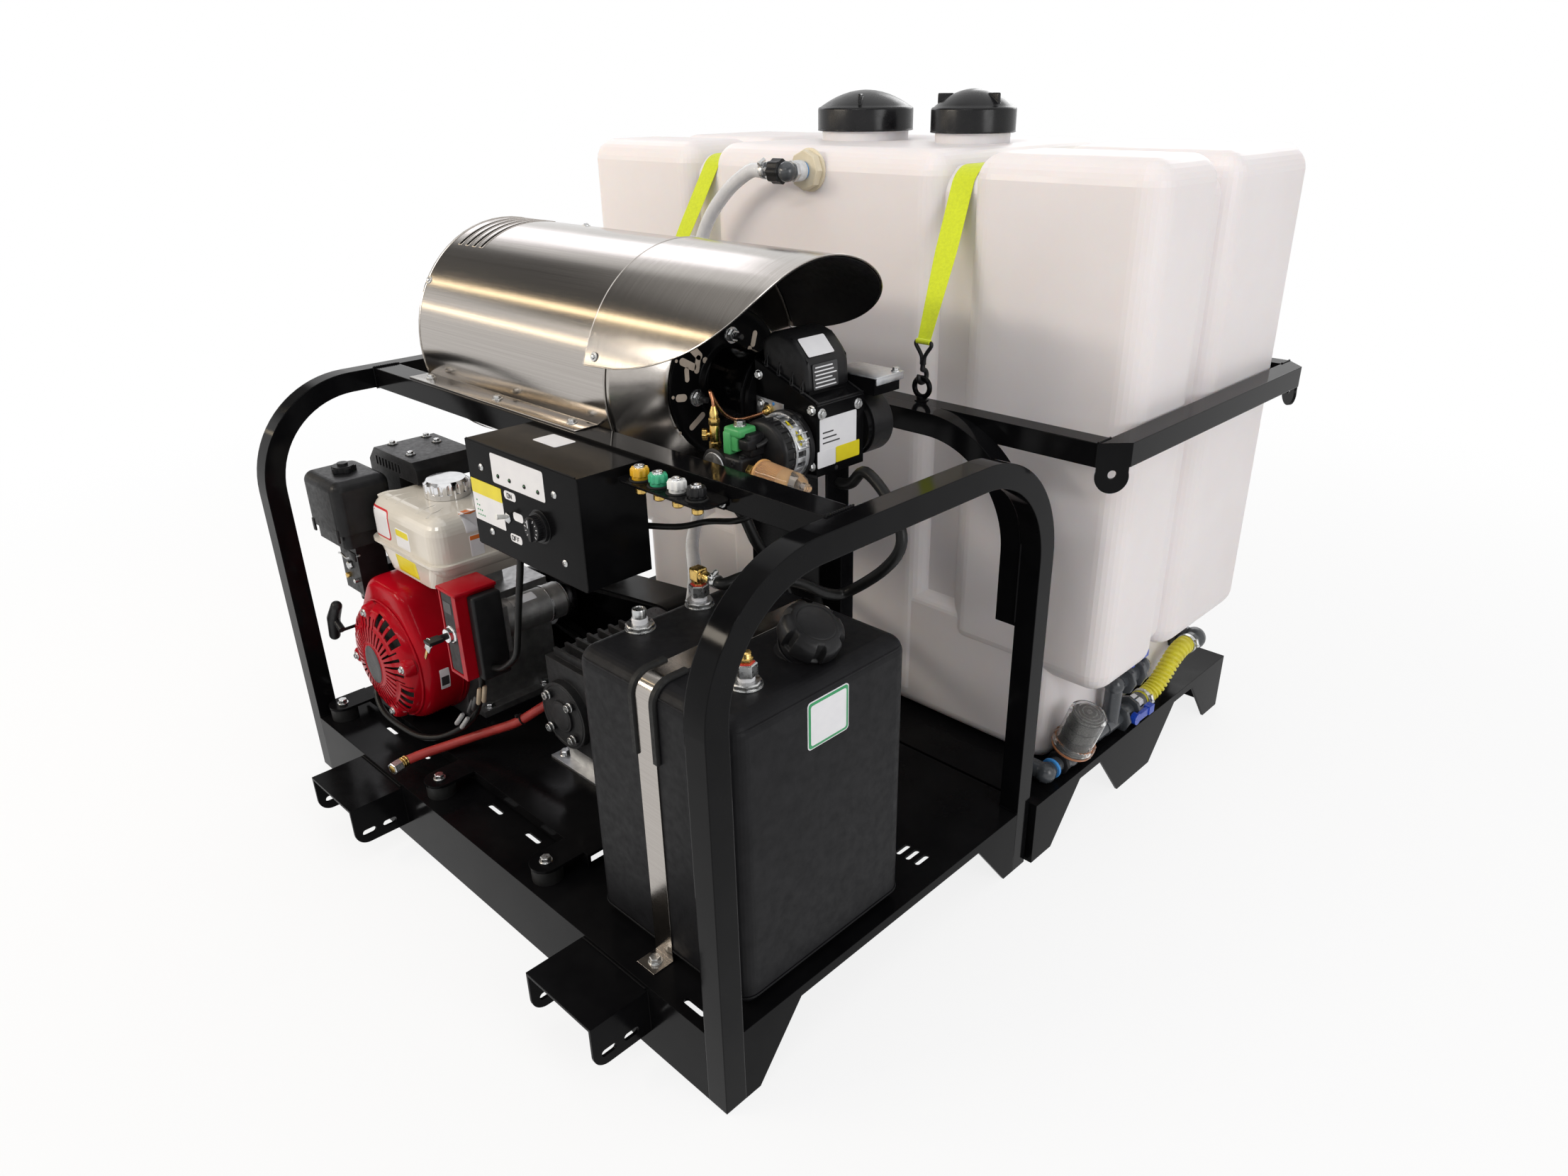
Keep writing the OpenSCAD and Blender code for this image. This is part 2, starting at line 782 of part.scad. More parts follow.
module rubber_isolators() {
  color("dimgray") on_skid() for (p = iso_pts) {
    difference() {
      bar_z([p[0], p[1], deck_z], isolator_r, isolator_h);
      bar_z([p[0], p[1], deck_z - eps], bolt_r + bolt_fit, isolator_h + 2 * eps);
    }
  }
}
module bolt_down(p, top, bottom) {
  bar_z([p[0], p[1], bottom - bolt_tail], bolt_r, top - bottom + bolt_tail);
  bar_z([p[0], p[1], top], 11, 2);
  hex_z([p[0], p[1], top + 2], 9, bolt_head_h);
  hex_z([p[0], p[1], bottom - bolt_head_h], 9, bolt_head_h);
}
module eye_bolt(x, y) {
  bar_z([x, y, rail_z - 12], bolt_r, tube + 16);
  hex_z([x, y, rail_z - 8], 9, 8);
  hex_z([x, y, hoop_h], 9, 7);
  translate([x, y, eye_z]) rotate([90, 0, 0]) rotate_extrude()
    translate([eye_r, 0]) circle(eye_wire, $fn = 24);
}
module fasteners() {
  color("silver") on_skid() {
    for (s = [-1, 1]) {
      eye_bolt(skid_w / 2 + s * eye_off, eye_y);
      eye_bolt(skid_w / 2 + s * eye_off, eye_y_rear);
    }
    for (p = iso_pts) {
      bolt_down(p, plate_z, deck_z - sheet);
    }
    for (p = engine_pts) {
      bolt_down(p, plate_z + flange_t, plate_z - sheet);
    }
    for (p = bracket_pts) {
      bolt_down(p, plate_z + bracket_t, plate_z - sheet);
    }
    for (y = [diesel_y - band_foot / 2, diesel_back + band_foot / 2]) {
      bolt_down([band_x + band_w / 2, y], deck_z + band_t, deck_z - sheet);
    }
  }
}

// engine
module engine_block() {
  fin_gap = 14;
  fin_half = 66;
  barrel_z = 60;
  barrel_r = 58;
  barrel_h = 110;
  fin_t = 5;
  post = 40;
  color("gray") on_skid() difference() {
    union() {
      box([crank_x - block_half, block_y, plate_z], [crank_x + block_half, block_back, block_top]);
      box([crank_x - block_half - flange_out, block_y + flange_in, plate_z],
        [crank_x + block_half + flange_out, block_back - flange_in, plate_z + flange_t]);
      translate([crank_x, cyl_y, crank_z]) rotate([0, -cyl_tilt, 0]) {
        translate([0, 0, barrel_z]) cylinder(r = barrel_r, h = barrel_h);
        for (k = [0 : 3]) {
          translate([-fin_half, -fin_half, 106 + k * fin_gap]) cube([2 * fin_half, 2 * fin_half, fin_t]);
        }
        translate([-head_half, -head_half, 163]) cube([2 * head_half, 2 * head_half, 40]);
      }
      box([crank_x + 10, fuel_y + 95, block_top - eps], [crank_x + 10 + post, fuel_y + 95 + post, fuel_z]);
      box([crank_x + 10, fuel_y + 160, block_top - eps],
        [crank_x + 10 + post, fuel_y + 160 + post, fuel_z]);
      box([muff_x + 50, muff_y + 55, crank_z + 80], [muff_x + 100, muff_y + 95, muff_z]);
      box([crank_x + block_half - eps, block_y, side_plate_z],
        [side_plate_x, block_y + side_plate_d, side_plate_z + side_plate_h]);
      bar_y([starter_x, starter_y - eps, starter_z], starter_r, starter_len);
      bar_y([starter_x, starter_y + starter_len - 2 * eps, starter_z], starter_r - 10, 10);
      bar_y([starter_x, starter_y + starter_len, starter_z], 7, 13);
    }
    bar_y([crank_x, block_y - eps, crank_z], crank_r + run_fit, block_d + 2 * eps);
    for (p = engine_pts) {
      bar_z([p[0], p[1], plate_z - eps], bolt_r + bolt_fit, flange_t + 2 * eps);
    }
  }
}
module fan_outline(o) {
  circle(fan_r - o);
  polygon([
    [-125 + o, 0], [-125 + o, 60], [-50 + o, 160 - o], [70 - o, 160 - o], [120 - o, 60], [120 - o, 0]
  ]);
}
module fan_cover() {
  mouth = recoil_r - 18;
  color("firebrick") on_skid() difference() {
    prism_y(fan_y, block_y - fan_y) translate([crank_x, crank_z]) fan_outline(0);
    prism_y(fan_y + fan_wall, block_y - fan_y) translate([crank_x, crank_z]) fan_outline(fan_wall);
    bar_y([crank_x, fan_y - eps, crank_z], mouth, fan_wall + 2 * eps);
  }
}
module recoil_cover() {
  rise = fan_y - recoil_y;
  wall = 3;
  slots = 40;
  color("firebrick") on_skid() translate([crank_x, fan_y, crank_z]) rotate([90, 0, 0]) difference() {
    rotate_extrude() polygon([
      [0, rise], [46, rise - 1], [92, rise - 9], [recoil_r - 6, rise - 24], [recoil_r, 0],
      [recoil_r - wall, 0], [recoil_r - 6 - wall, rise - 26], [90, rise - 12], [46, rise - 4],
        [0, rise - wall]
    ]);
    for (k = [0 : slots - 1]) {
      rotate([0, 0, k * 360 / slots]) translate([50, -1.6, 0]) cube([30, 3.2, rise + eps]);
    }
    for (k = [0 : 3]) {
      for (j = [-1.5 : 1 : 1.5]) {
        rotate([0, 0, 45 + 90 * k + j * 8]) translate([86, -2.5, eps]) cube([22, 5, rise]);
      }
    }
  }
}
module recoil_grip() {
  grip_x = crank_x - recoil_r - 24;
  grip_y = recoil_y - 2;
  grip_z = crank_z + 48;
  half = 44;
  bar = 11;
  rope_r = 3;
  stem_r = 7;
  stem_l = 34;
  color("black") on_skid() {
    translate([grip_x, grip_y, grip_z]) rotate([0, 28, 0]) {
      hull() {
        translate([0, 0, half]) sphere(bar, $fn = 24);
        translate([-8, 0, 0]) sphere(bar + 2, $fn = 24);
      }
      hull() {
        translate([0, 0, -half]) sphere(bar, $fn = 24);
        translate([-8, 0, 0]) sphere(bar + 2, $fn = 24);
      }
      bar_x([-6, 0, 0], stem_r, stem_l);
    }
    bar_y([grip_x + 23, grip_y - rope_r, grip_z - 14], rope_r, fan_y - grip_y + rope_r - part_fit);
  }
}
module engine_fuel_tank() {
  lip = 7;
  lip_t = 6;
  low_in = 26;
  neck_h = 12;
  x1 = fuel_x + fuel_w;
  y1 = fuel_y + fuel_d;
  color("ivory") on_skid() difference() {
    union() {
      soft_block([fuel_x, fuel_y, fuel_seam - fuel_r], [x1, y1, fuel_top], fuel_r);
      translate([fuel_x - lip, fuel_y - lip, fuel_seam - lip_t / 2]) linear_extrude(lip_t)
        soft_rect(fuel_w + 2 * lip, fuel_d + 2 * lip, fuel_r);
      hull() {
        for (x = [fuel_x + fuel_r, x1 - fuel_r]) {
          for (y = [fuel_y + fuel_r, y1 - fuel_r]) {
            translate([x, y, fuel_seam - eps]) cylinder(r = fuel_r, h = eps, $fn = hull_fn);
            translate([x + (x < (fuel_x + x1) / 2 ? low_in : -low_in), y, fuel_z])
              cylinder(r = fuel_r - 6, h = eps, $fn = hull_fn);
          }
        }
      }
      bar_z([fuel_cap_p[0], fuel_cap_p[1], fuel_top - eps], fuel_neck_r, neck_h + eps);
    }
    bar_z([fuel_cap_p[0], fuel_cap_p[1], fuel_seam], fuel_neck_r - 5, 3 * fuel_r);
  }
}
module engine_fuel_cap() {
  skirt = 10;
  rise = 26;
  color("silver") on_skid() translate([fuel_cap_p[0], fuel_cap_p[1], fuel_top + part_fit]) difference() {
    union() {
      cylinder(r = fuel_cap_r, h = rise);
      translate([0, 0, rise]) cylinder(r1 = fuel_cap_r, r2 = fuel_cap_r - 6, h = 6);
    }
    translate([0, 0, -eps]) cylinder(r = fuel_neck_r + screw_fit, h = 12 + 2 * eps);
    for (k = [0 : 15]) {
      rotate([0, 0, k * 22.5]) translate([fuel_cap_r + 2.5, 0, skirt]) cylinder(r = 5, h = rise, $fn = 24);
    }
  }
}
module air_cleaner_base() {
  inset = 8;
  tray = 30;
  carb_drop = 140;
  duct_in = 5;
  duct_w = 41;
  duct_h = 38;
  bowl_r = 20;
  bowl_h = 24;
  bowl_lap = 2;
  carb_z = air_z - carb_drop;
  color("black") on_skid() {
    translate([air_x + inset, air_y + inset, air_z - tray]) linear_extrude(tray)
      soft_rect(air_w - 2 * inset, air_d - 2 * inset, air_r - 6);
    box([carb_x, carb_y, carb_z], [carb_x + carb_w, carb_y + carb_d, air_z - tray + eps]);
    box([carb_x + duct_in, carb_y + carb_d - eps, carb_z],
      [carb_x + duct_in + duct_w, cyl_y - head_half, carb_z + duct_h]);
    bar_z([carb_x + carb_w / 2, carb_y + carb_d / 2, carb_z - bowl_h + bowl_lap], bowl_r, bowl_h);
  }
}
module air_cleaner_cover() {
  stud_r = 4;
  skirt = 40;
  color("black") on_skid() difference() {
    union() {
      intersection() {
        soft_block([air_x, air_y, air_z - skirt], [air_x + air_w, air_y + air_d, air_z + air_h], air_r);
        box([air_x, air_y, air_z], [air_x + air_w, air_y + air_d, air_z + air_h]);
      }
    }
    bar_z([air_x + air_w / 2, air_y + air_d / 2, air_z + eps], stud_r, air_h);
  }
}
module air_cleaner_knob() {
  rest = 0.3;
  color("black") on_skid() translate([air_x + air_w / 2, air_y + air_d / 2, air_z + air_h + rest]) {
    cylinder(r = 20, h = 12);
    for (k = [0 : 4]) {
      rotate([0, 0, 72 * k]) translate([17, 0, 0]) cylinder(r = 7, h = 10, $fn = 24);
    }
    cylinder(r = 10, h = 17);
    translate([0, 0, -20]) cylinder(r = 3.5, h = 24);
  }
}
module muffler_guard() {
  cut = 14;
  x1 = muff_x + muff_side;
  x2 = x1 + muff_over;
  top = muff_z + muff_h;
  color("black") on_skid() difference() {
    prism_y(muff_y, muff_d) polygon([
      [muff_x, muff_z], [x1, muff_z], [x1, top - muff_top_h], [x2, top - muff_top_h], [x2, top - cut],
      [x2 - cut, top], [muff_x + 2 * cut, top], [muff_x, top - 2 * cut]
    ]);
    for (k = [0 : 7]) {
      box([muff_x + 30 + k * 13, muff_y - eps, top - 34], [muff_x + 36 + k * 13, muff_y + 10, top - 16]);
    }
  }
}
module key_box() {
  barrel_r = 11;
  fit_r = 6.5;
  face_y = key_y;
  color("firebrick") on_skid() difference() {
    union() {
      difference() {
        box([key_x, face_y, key_z], [key_x + key_w, block_y, key_z + key_h]);
        box([key_x + 5, face_y - eps, key_z + 6], [key_x + key_w - 14, face_y + 3, key_z + key_h - 6]);
      }
      bar_y([key_x + 24, face_y - 9, key_z + 84], barrel_r, 20);
    }
    bar_y([key_x + 24, face_y - 10, key_z + 84], fit_r, 18);
  }
}
module ignition_key() {
  blade_r = 6;
  p = [key_x + 24, key_y - 22, key_z + 84];
  color("black") on_skid() {
    bar_y(p, blade_r, 28);
    translate([p[0] - 11, p[1] - 26, p[2] - 3]) cube([22, 27, 6]);
  }
}
module pulley(r) {
  rotate_extrude() polygon([
    [0, 0], [r, 0], [r, belt_first - belt_gap], [r - groove_d, belt_first - belt_gap],
    [r - groove_d, belt_first + belt_w + belt_gap], [r, belt_first + belt_w + belt_gap],
    [r, belt_first + belt_pitch - belt_gap], [r - groove_d, belt_first + belt_pitch - belt_gap],
    [r - groove_d, belt_first + belt_pitch + belt_w + belt_gap],
    [r, belt_first + belt_pitch + belt_w + belt_gap], [r, pulley_w], [0, pulley_w]
  ]);
}
module crankshaft() {
  wheel_y = fan_y + 14;
  wheel_w = 60;
  color("gray") on_skid() {
    bar_y([crank_x, wheel_y, crank_z], flywheel_r, wheel_w);
    bar_y([crank_x, wheel_y, crank_z], crank_r, pulley_y + pulley_w - wheel_y + 6);
    translate([crank_x, pulley_y, crank_z]) rotate([-90, 0, 0]) pulley(engine_pulley_r);
  }
}

// pump and belt drive
module pump_crankcase() {
  fin_h = 14;
  bore_d = 90;
  y1 = pump_face + pump_case_d;
  color("dimgray") on_skid() difference() {
    union() {
      box([pump_left, pump_face, pump_low], [pump_right, y1, pump_top]);
      for (k = [0 : 6]) {
        box([pump_left + 10, pump_face + 12 + k * 24, pump_top - eps],
          [pump_right - 6, pump_face + 18 + k * 24, pump_top + fin_h]);
      }
      bar_y([pump_x, pump_y, pump_z], 64, pump_face - pump_y + eps);
      bar_y([pump_x, pump_y - 5, pump_z], 30, 6);
      for (x = [-pump_bolt_off, pump_bolt_off]) {
        for (z = [-pump_bolt_off, pump_bolt_off]) {
          hex_y([pump_x + x, pump_y - 7, pump_z + z], 8, 8);
        }
      }
    }
    bar_y([pump_x, y1 - bore_d, pump_z], pump_shaft_r + run_fit, bore_d + eps);
  }
}
module pump_manifold() {
  y0 = pump_face + 12;
  y1 = pump_face + pump_case_d - 12;
  cap_r = 17;
  color("goldenrod") on_skid() {
    box([pump_right, y0, pump_z - 52], [pump_right + manifold_w, y1, pump_z + 55]);
    for (k = [0 : 2]) {
      hex_z([pump_right + 48, y0 + 30 + k * 50, pump_z + 54], cap_r, 12);
      hex_x([pump_right + manifold_w - eps, y0 + 30 + k * 50, pump_z], cap_r, 12);
    }
    bar_z([pump_right + 48, pump_face + 105, pump_z + 54], 10, 16);
  }
}
module pump_shaft() {
  reach = 80;
  y0 = pump_face + pump_case_d - reach;
  color("gray") on_skid() {
    bar_y([pump_x, y0, pump_z], pump_shaft_r, pulley_y + pulley_w - y0 + 6);
    translate([pump_x, pulley_y, pump_z]) rotate([-90, 0, 0]) pulley(pump_pulley_r);
  }
}
module drive_belts() {
  in_r = groove_d - belt_gap;
  out_r = 1;
  tilt = atan((pump_z - crank_z) / shaft_span);
  run = sqrt(shaft_span * shaft_span + (pump_z - crank_z) * (pump_z - crank_z));
  color("black") on_skid() for (k = [0 : 1]) {
    prism_y(pulley_y + belt_first + k * belt_pitch, belt_w) translate([crank_x, crank_z]) rotate(tilt)
      difference() {
        belt_outline(engine_pulley_r + out_r, pump_pulley_r + out_r, run);
        belt_outline(engine_pulley_r - in_r, pump_pulley_r - in_r, run);
      }
  }
}
module belt_guard() {
  foot = 25;
  color("black") on_skid() difference() {
    union() {
      prism_y(guard_y, guard_d) translate([crank_x, crank_z])
        belt_outline(guard_small_r, guard_big_r, shaft_span);
      box([crank_x - foot, guard_y, plate_z],
        [crank_x + foot, guard_y + guard_d, crank_z - guard_small_r + 6]);
      box([pump_x - 2 * foot, guard_y, plate_z], [pump_x + 2 * foot, guard_y + guard_d, plate_z + 9]);
    }
    prism_y(guard_y - eps, guard_d - guard_wall + eps) translate([crank_x, crank_z])
      belt_outline(guard_small_r - guard_wall, guard_big_r - guard_wall - 3, shaft_span);
  }
}
module pump_bracket() {
  color("silver") on_skid() for (y = bracket_ys) {
    difference() {
      box([bracket_xs[0] - 17, y, plate_z], [bracket_xs[1] + 28, y + bracket_w, plate_z + bracket_t]);
      for (x = bracket_xs) {
        bar_z([x, y + bracket_w / 2, plate_z - eps], bolt_r + bolt_fit, bracket_t + 2 * eps);
      }
    }
    box([pump_left, y + bracket_w / 2, plate_z + bracket_t - eps],
      [pump_right, y + bracket_w / 2 + bracket_t, pump_low]);
  }
}

// diesel tank
module diesel_tank() {
  color("darkslategray") on_skid() difference() {
    union() {
      soft_block([diesel_x, diesel_y, deck_z], [diesel_right, diesel_back, diesel_top], diesel_r);
      translate(neck_p) rotate([0, neck_tilt, 0]) translate([0, 0, -20])
        cylinder(r = neck_r, h = neck_h + 20);
    }
    box([diesel_x + diesel_wall, diesel_y + diesel_wall, deck_z + diesel_wall],
      [diesel_right - diesel_wall, diesel_back - diesel_wall, diesel_top - diesel_wall]);
    translate(neck_p) rotate([0, neck_tilt, 0]) translate([0, 0, -30])
      cylinder(r = neck_r - 6, h = neck_h + 32);
  }
}
module diesel_cap() {
  cap_r = 46;
  skirt = 18;
  cap_h = 30;
  color("black") on_skid() translate(neck_p) rotate([0, neck_tilt, 0])
    translate([0, 0, neck_h - skirt]) difference() {
      union() {
        rotate([0, 0, 22.5]) cylinder(r = cap_r, h = cap_h, $fn = 8);
        translate([0, 0, cap_h - eps]) cylinder(r = cap_r - 14, h = 6);
      }
      translate([0, 0, -eps]) cylinder(r = neck_r + screw_fit, h = skirt + eps + part_fit);
    }
}
module diesel_strap() {
  reach = diesel_d + 2 * band_t;
  color("lightgray") on_skid() {
    translate([0, diesel_y - band_t, deck_z]) prism_x(band_x, band_w)
      arch_band(reach, diesel_h + band_t, diesel_r + band_t, 0, band_t);
    for (y = [diesel_y - band_foot, diesel_back]) {
      difference() {
        box([band_x, y, deck_z], [band_x + band_w, y + band_foot, deck_z + band_t]);
        bar_z([band_x + band_w / 2, y + band_foot / 2, deck_z - eps], bolt_r + bolt_fit, band_t + 2 * eps);
      }
    }
  }
}
module diesel_fittings() {
  color("silver") on_skid() {
    bar_x([fitting_pts[1][0], fitting_pts[1][1], barb_z], 7, barb);
    for (k = [0 : 2]) {
      translate([fitting_pts[k][0], fitting_pts[k][1], diesel_top]) {
        cylinder(r = 22, h = 5);
        cylinder(r = 18, h = 18, $fn = 6);
        cylinder(r = 11, h = 34);
        translate([0, 0, 30]) cylinder(r = 13, h = 14, $fn = 6);
        cylinder(r = 7, h = 50);
      }
    }
  }
}

// control box and nozzle rack
module control_box() {
  flange = 33;
  bore = 5.5;
  color("black") on_skid() difference() {
    union() {
      difference() {
        box([box_x, box_y, box_z], [box_x + box_w, rail_front, box_top]);
        box([box_x + box_t, box_y + box_t, box_z + box_t],
          [box_x + box_w - box_t, rail_front + eps, box_top - box_t]);
      }
      box([box_x, rail_front - box_t, box_top - flange], [box_x + box_w, rail_front, box_top]);
    }
    bar_y([knob_p[0], box_y - eps, knob_p[2]], bore, box_t + 2 * eps);
    bar_y([switch_p[0], box_y - eps, switch_p[2]], bore, box_t + 2 * eps);
  }
}
module thermostat_knob() {
  gap = 0.5;
  rise = 16;
  color("black") on_skid() translate([knob_p[0], box_y - gap, knob_p[2]]) rotate([90, 0, 0]) {
    cylinder(r = knob_r, h = 5);
    cylinder(r = knob_r - 5, h = rise);
    translate([-3, -knob_r + 6, rise - eps]) cube([6, 2 * knob_r - 12, 5]);
    translate([0, 0, -12]) cylinder(r = 5, h = 14);
  }
}
module burner_switch() {
  color("silver") on_skid() translate(switch_p) rotate([90, 0, 0]) {
    translate([0, 0, -8]) sphere(5, $fn = 24);
    translate([0, 0, -8]) rotate([-14, 0, 0]) cylinder(r1 = 2.5, r2 = 4, h = 30);
  }
}
module nozzle_rack() {
  color("black") on_skid() {
    difference() {
      translate([rack_x, rack_y, rack_z]) linear_extrude(rack_t)
        soft_rect(rack_w, rail_front - rack_y, rack_r);
      for (k = [0 : 3]) {
        bar_z([nozzle_x + k * nozzle_pitch, nozzle_y, rack_z - eps], nozzle_stem_r + part_fit,
          rack_t + 2 * eps);
      }
    }
    box([rack_x + rack_r, rail_front - rack_t, rail_z],
      [rack_x + rack_w - rack_r, rail_front, rack_z + rack_t]);
  }
}
module spray_nozzle(k) {
  tip = 22;
  on_skid() translate([nozzle_x + k * nozzle_pitch, nozzle_y, rack_z + rack_t + nozzle_rest]) difference() {
    union() {
      cylinder(r = 12, h = 6);
      translate([0, 0, 5]) cylinder(r = 14, h = 13, $fn = 12);
      translate([0, 0, -tip]) cylinder(r = nozzle_stem_r, h = tip + 6);
      translate([0, 0, 17]) cylinder(r = 8, h = 4);
    }
    translate([0, 0, -tip - eps]) cylinder(r = 4, h = tip + 14);
  }
}
module nozzle_yellow() {
  color("goldenrod") spray_nozzle(0);
}
module nozzle_green() {
  color("mediumseagreen") spray_nozzle(1);
}
module nozzle_white() {
  color("white") spray_nozzle(2);
}
module nozzle_black() {
  color("black") spray_nozzle(3);
}

// coil shell and burner
module coil_shell() {
  louvre_w = 9;
  louvre_pitch = 17;
  rear_strip_x = tube + bend_r + 6;
  strip_len = hood_start - 4;
  strip_back = shell_y + sqrt(shell_r * shell_r - shell_lift * shell_lift) - 2;
  color("lightgray") on_skid() difference() {
    union() {
      bar_x([shell_x, shell_y, shell_z], shell_r, shell_len);
      box([shell_x + 6, rail_back - strip_w, hoop_h],
        [shell_x + strip_len, rail_back + 3, hoop_h + strip_t]);
      box([rear_strip_x, strip_back, hoop_h], [shell_x + strip_len, skid_d - 4, hoop_h + strip_t]);
    }
    bar_x([shell_x + shell_wall, shell_y, shell_z], shell_r - shell_wall, shell_len);
    for (k = [0 : 3]) {
      box([shell_x + 16 + k * louvre_pitch, shell_y - shell_r, shell_z + shell_r * 0.84],
        [shell_x + 16 + louvre_w + k * louvre_pitch, shell_y + 10, shell_z + shell_r + eps]);
    }
  }
}
module wind_hood() {
  steps = 24;
  arc_h = hood_high - hood_low;
  color("lightgray") on_skid() intersection() {
    difference() {
      bar_x([hood_x, shell_y, shell_z], shell_r + hood_t, hood_reach);
      bar_x([hood_x - eps, shell_y, shell_z], shell_r, hood_reach + 2 * eps);
    }
    prism_y(shell_y - 2 * shell_r, 4 * shell_r) polygon(concat(
      [for (k = [0 : steps]) [hood_x + hood_reach * sin(90 * k / steps),
        hood_high - arc_h * cos(90 * k / steps)]],
      [[hood_x + hood_reach, hood_high + eps], [hood_x, hood_high + eps]]
    ));
    box([hood_x, shell_y - 2 * shell_r, hood_low],
      [hood_x + hood_reach, shell_y + 2 * shell_r, hood_high + eps]);
  }
}
module burner_plate() {
  slot_l = 34;
  slot_w = 11;
  color("black") on_skid() translate([shell_end, shell_y, shell_z]) rotate([90, 0, 90]) difference() {
    cylinder(r = shell_r - 1, h = plate_t);
    translate([0, 0, -eps]) cylinder(r = 54, h = plate_t + 2 * eps);
    for (a = [35, 125, 155, 205, 250, 290, 335]) {
      rotate([0, 0, a]) translate([122, -slot_w / 2, -eps])
        linear_extrude(plate_t + 2 * eps) slot2d(slot_l, slot_w);
    }
  }
}
module heating_coil() {
  first = shell_x + 60;
  rod_r = 8;
  color("gray") on_skid() {
    for (k = [0 : coil_turns - 1]) {
      translate([first + k * coil_pitch, shell_y, shell_z]) rotate([0, 90, 0])
        rotate_extrude() translate([coil_r, 0]) circle(coil_tube, $fn = 24);
    }
    for (a = [30, 150, 270]) {
      bar_x([shell_x + shell_wall, shell_y + (coil_r + coil_tube) * cos(a),
        shell_z + (coil_r + coil_tube) * sin(a)],
        rod_r, shell_len - 40);
    }
  }
}
module burner_housing() {
  tube_r = 50;
  collar_r = 72;
  box_in = 14;
  slope = house_drop / house_w;
  lid_x0 = 10;
  lid_x1 = 104;
  lid_in = 10;
  color("black") on_skid() {
    bar_x([shell_end + plate_t, shell_y, shell_z - 10], collar_r, house_x - shell_end - plate_t + eps);
    bar_x([shell_end - 60, shell_y, shell_z], tube_r, 60 + plate_t + eps);
    prism_y(house_y, house_d) polygon([
      [house_x, house_low], [house_x + house_w, house_low],
      [house_x + house_w, house_high - house_drop], [house_x, house_high]
    ]);
    bar_y([stub_x, house_y + house_d - eps, stub_z], stub_r, stub_len + eps);
    box([house_x + 66, house_y + house_d - eps, house_high - house_drop - 16 + box_in],
      [house_x + 150, house_y + house_d + 58, house_high - house_drop + 24]);
    prism_y(house_y + lid_in, house_d - 2 * lid_in) translate([house_x, house_high]) polygon([
      [lid_x0, -slope * lid_x0 - eps], [lid_x1, -slope * lid_x1 - eps], [lid_x1 - 4, 8],
      [lid_x1 - 34, 38], [lid_x0 + 26, 44], [lid_x0, 30]
    ]);
  }
}
module burner_motor() {
  p = oil_p;
  line_z = p[2] + 26;
  color("gray") on_skid() {
    bar_y([motor_x, house_y - motor_len, motor_z], motor_r, motor_len);
    bar_y([motor_x, house_y - 10, motor_z], motor_r + 4, 10);
    box(p, [p[0] + 80, house_y - motor_len + eps, p[2] + 47]);
    bar_y([p[0] + 25, p[1] - 4, line_z], 22, 6);
    box([p[0] + 37, p[1] + 12, p[2] + 46], [p[0] + 67, p[1] + 42, p[2] + 87]);
    bar_z([p[0] + 10, p[1] + 15, p[2] + 46], 8, 66);
    bar_x([p[0] + 79, p[1] + 20, line_z], 8, 27);
    translate([p[0] + 105, p[1] + 20, line_z]) rotate([0, 90, 0]) {
      cylinder(r1 = 22, r2 = 17, h = 80);
      translate([0, 0, 79]) cylinder(r = 7, h = 16);
    }
  }
}
module air_shutter() {
  y0 = house_y + house_d + 10;
  cup_r = stub_r + part_fit;
  color("black") on_skid() difference() {
    bar_y([stub_x, y0, stub_z], cup_r + 3, stub_len - 6);
    bar_y([stub_x, y0 - eps, stub_z], cup_r, stub_len - 9 + eps);
  }
}
module burner_column() {
  wall = 4;
  color("black") on_skid() {
    difference() {
      box([column_x, column_y, deck_z], [column_x + column_w, column_y + column_d, column_top]);
      box([column_x + wall, column_y + wall, deck_z - eps],
        [column_x + column_w - wall, column_y + column_d + eps, column_top - wall]);
    }
    for (x = [brace_x, brace_x + brace_w - wall]) {
      box([x, column_y - 10, column_top - eps], [x + wall, column_y + column_d + 10, house_low]);
    }
    box([brace_x, column_y - 10, house_low - wall],
      [brace_x + brace_w, column_y + column_d + 10, house_low]);
    box([brace_x, column_y - 10, column_top - wall],
      [brace_x + brace_w, column_y + column_d + 10, column_top]);
  }
}

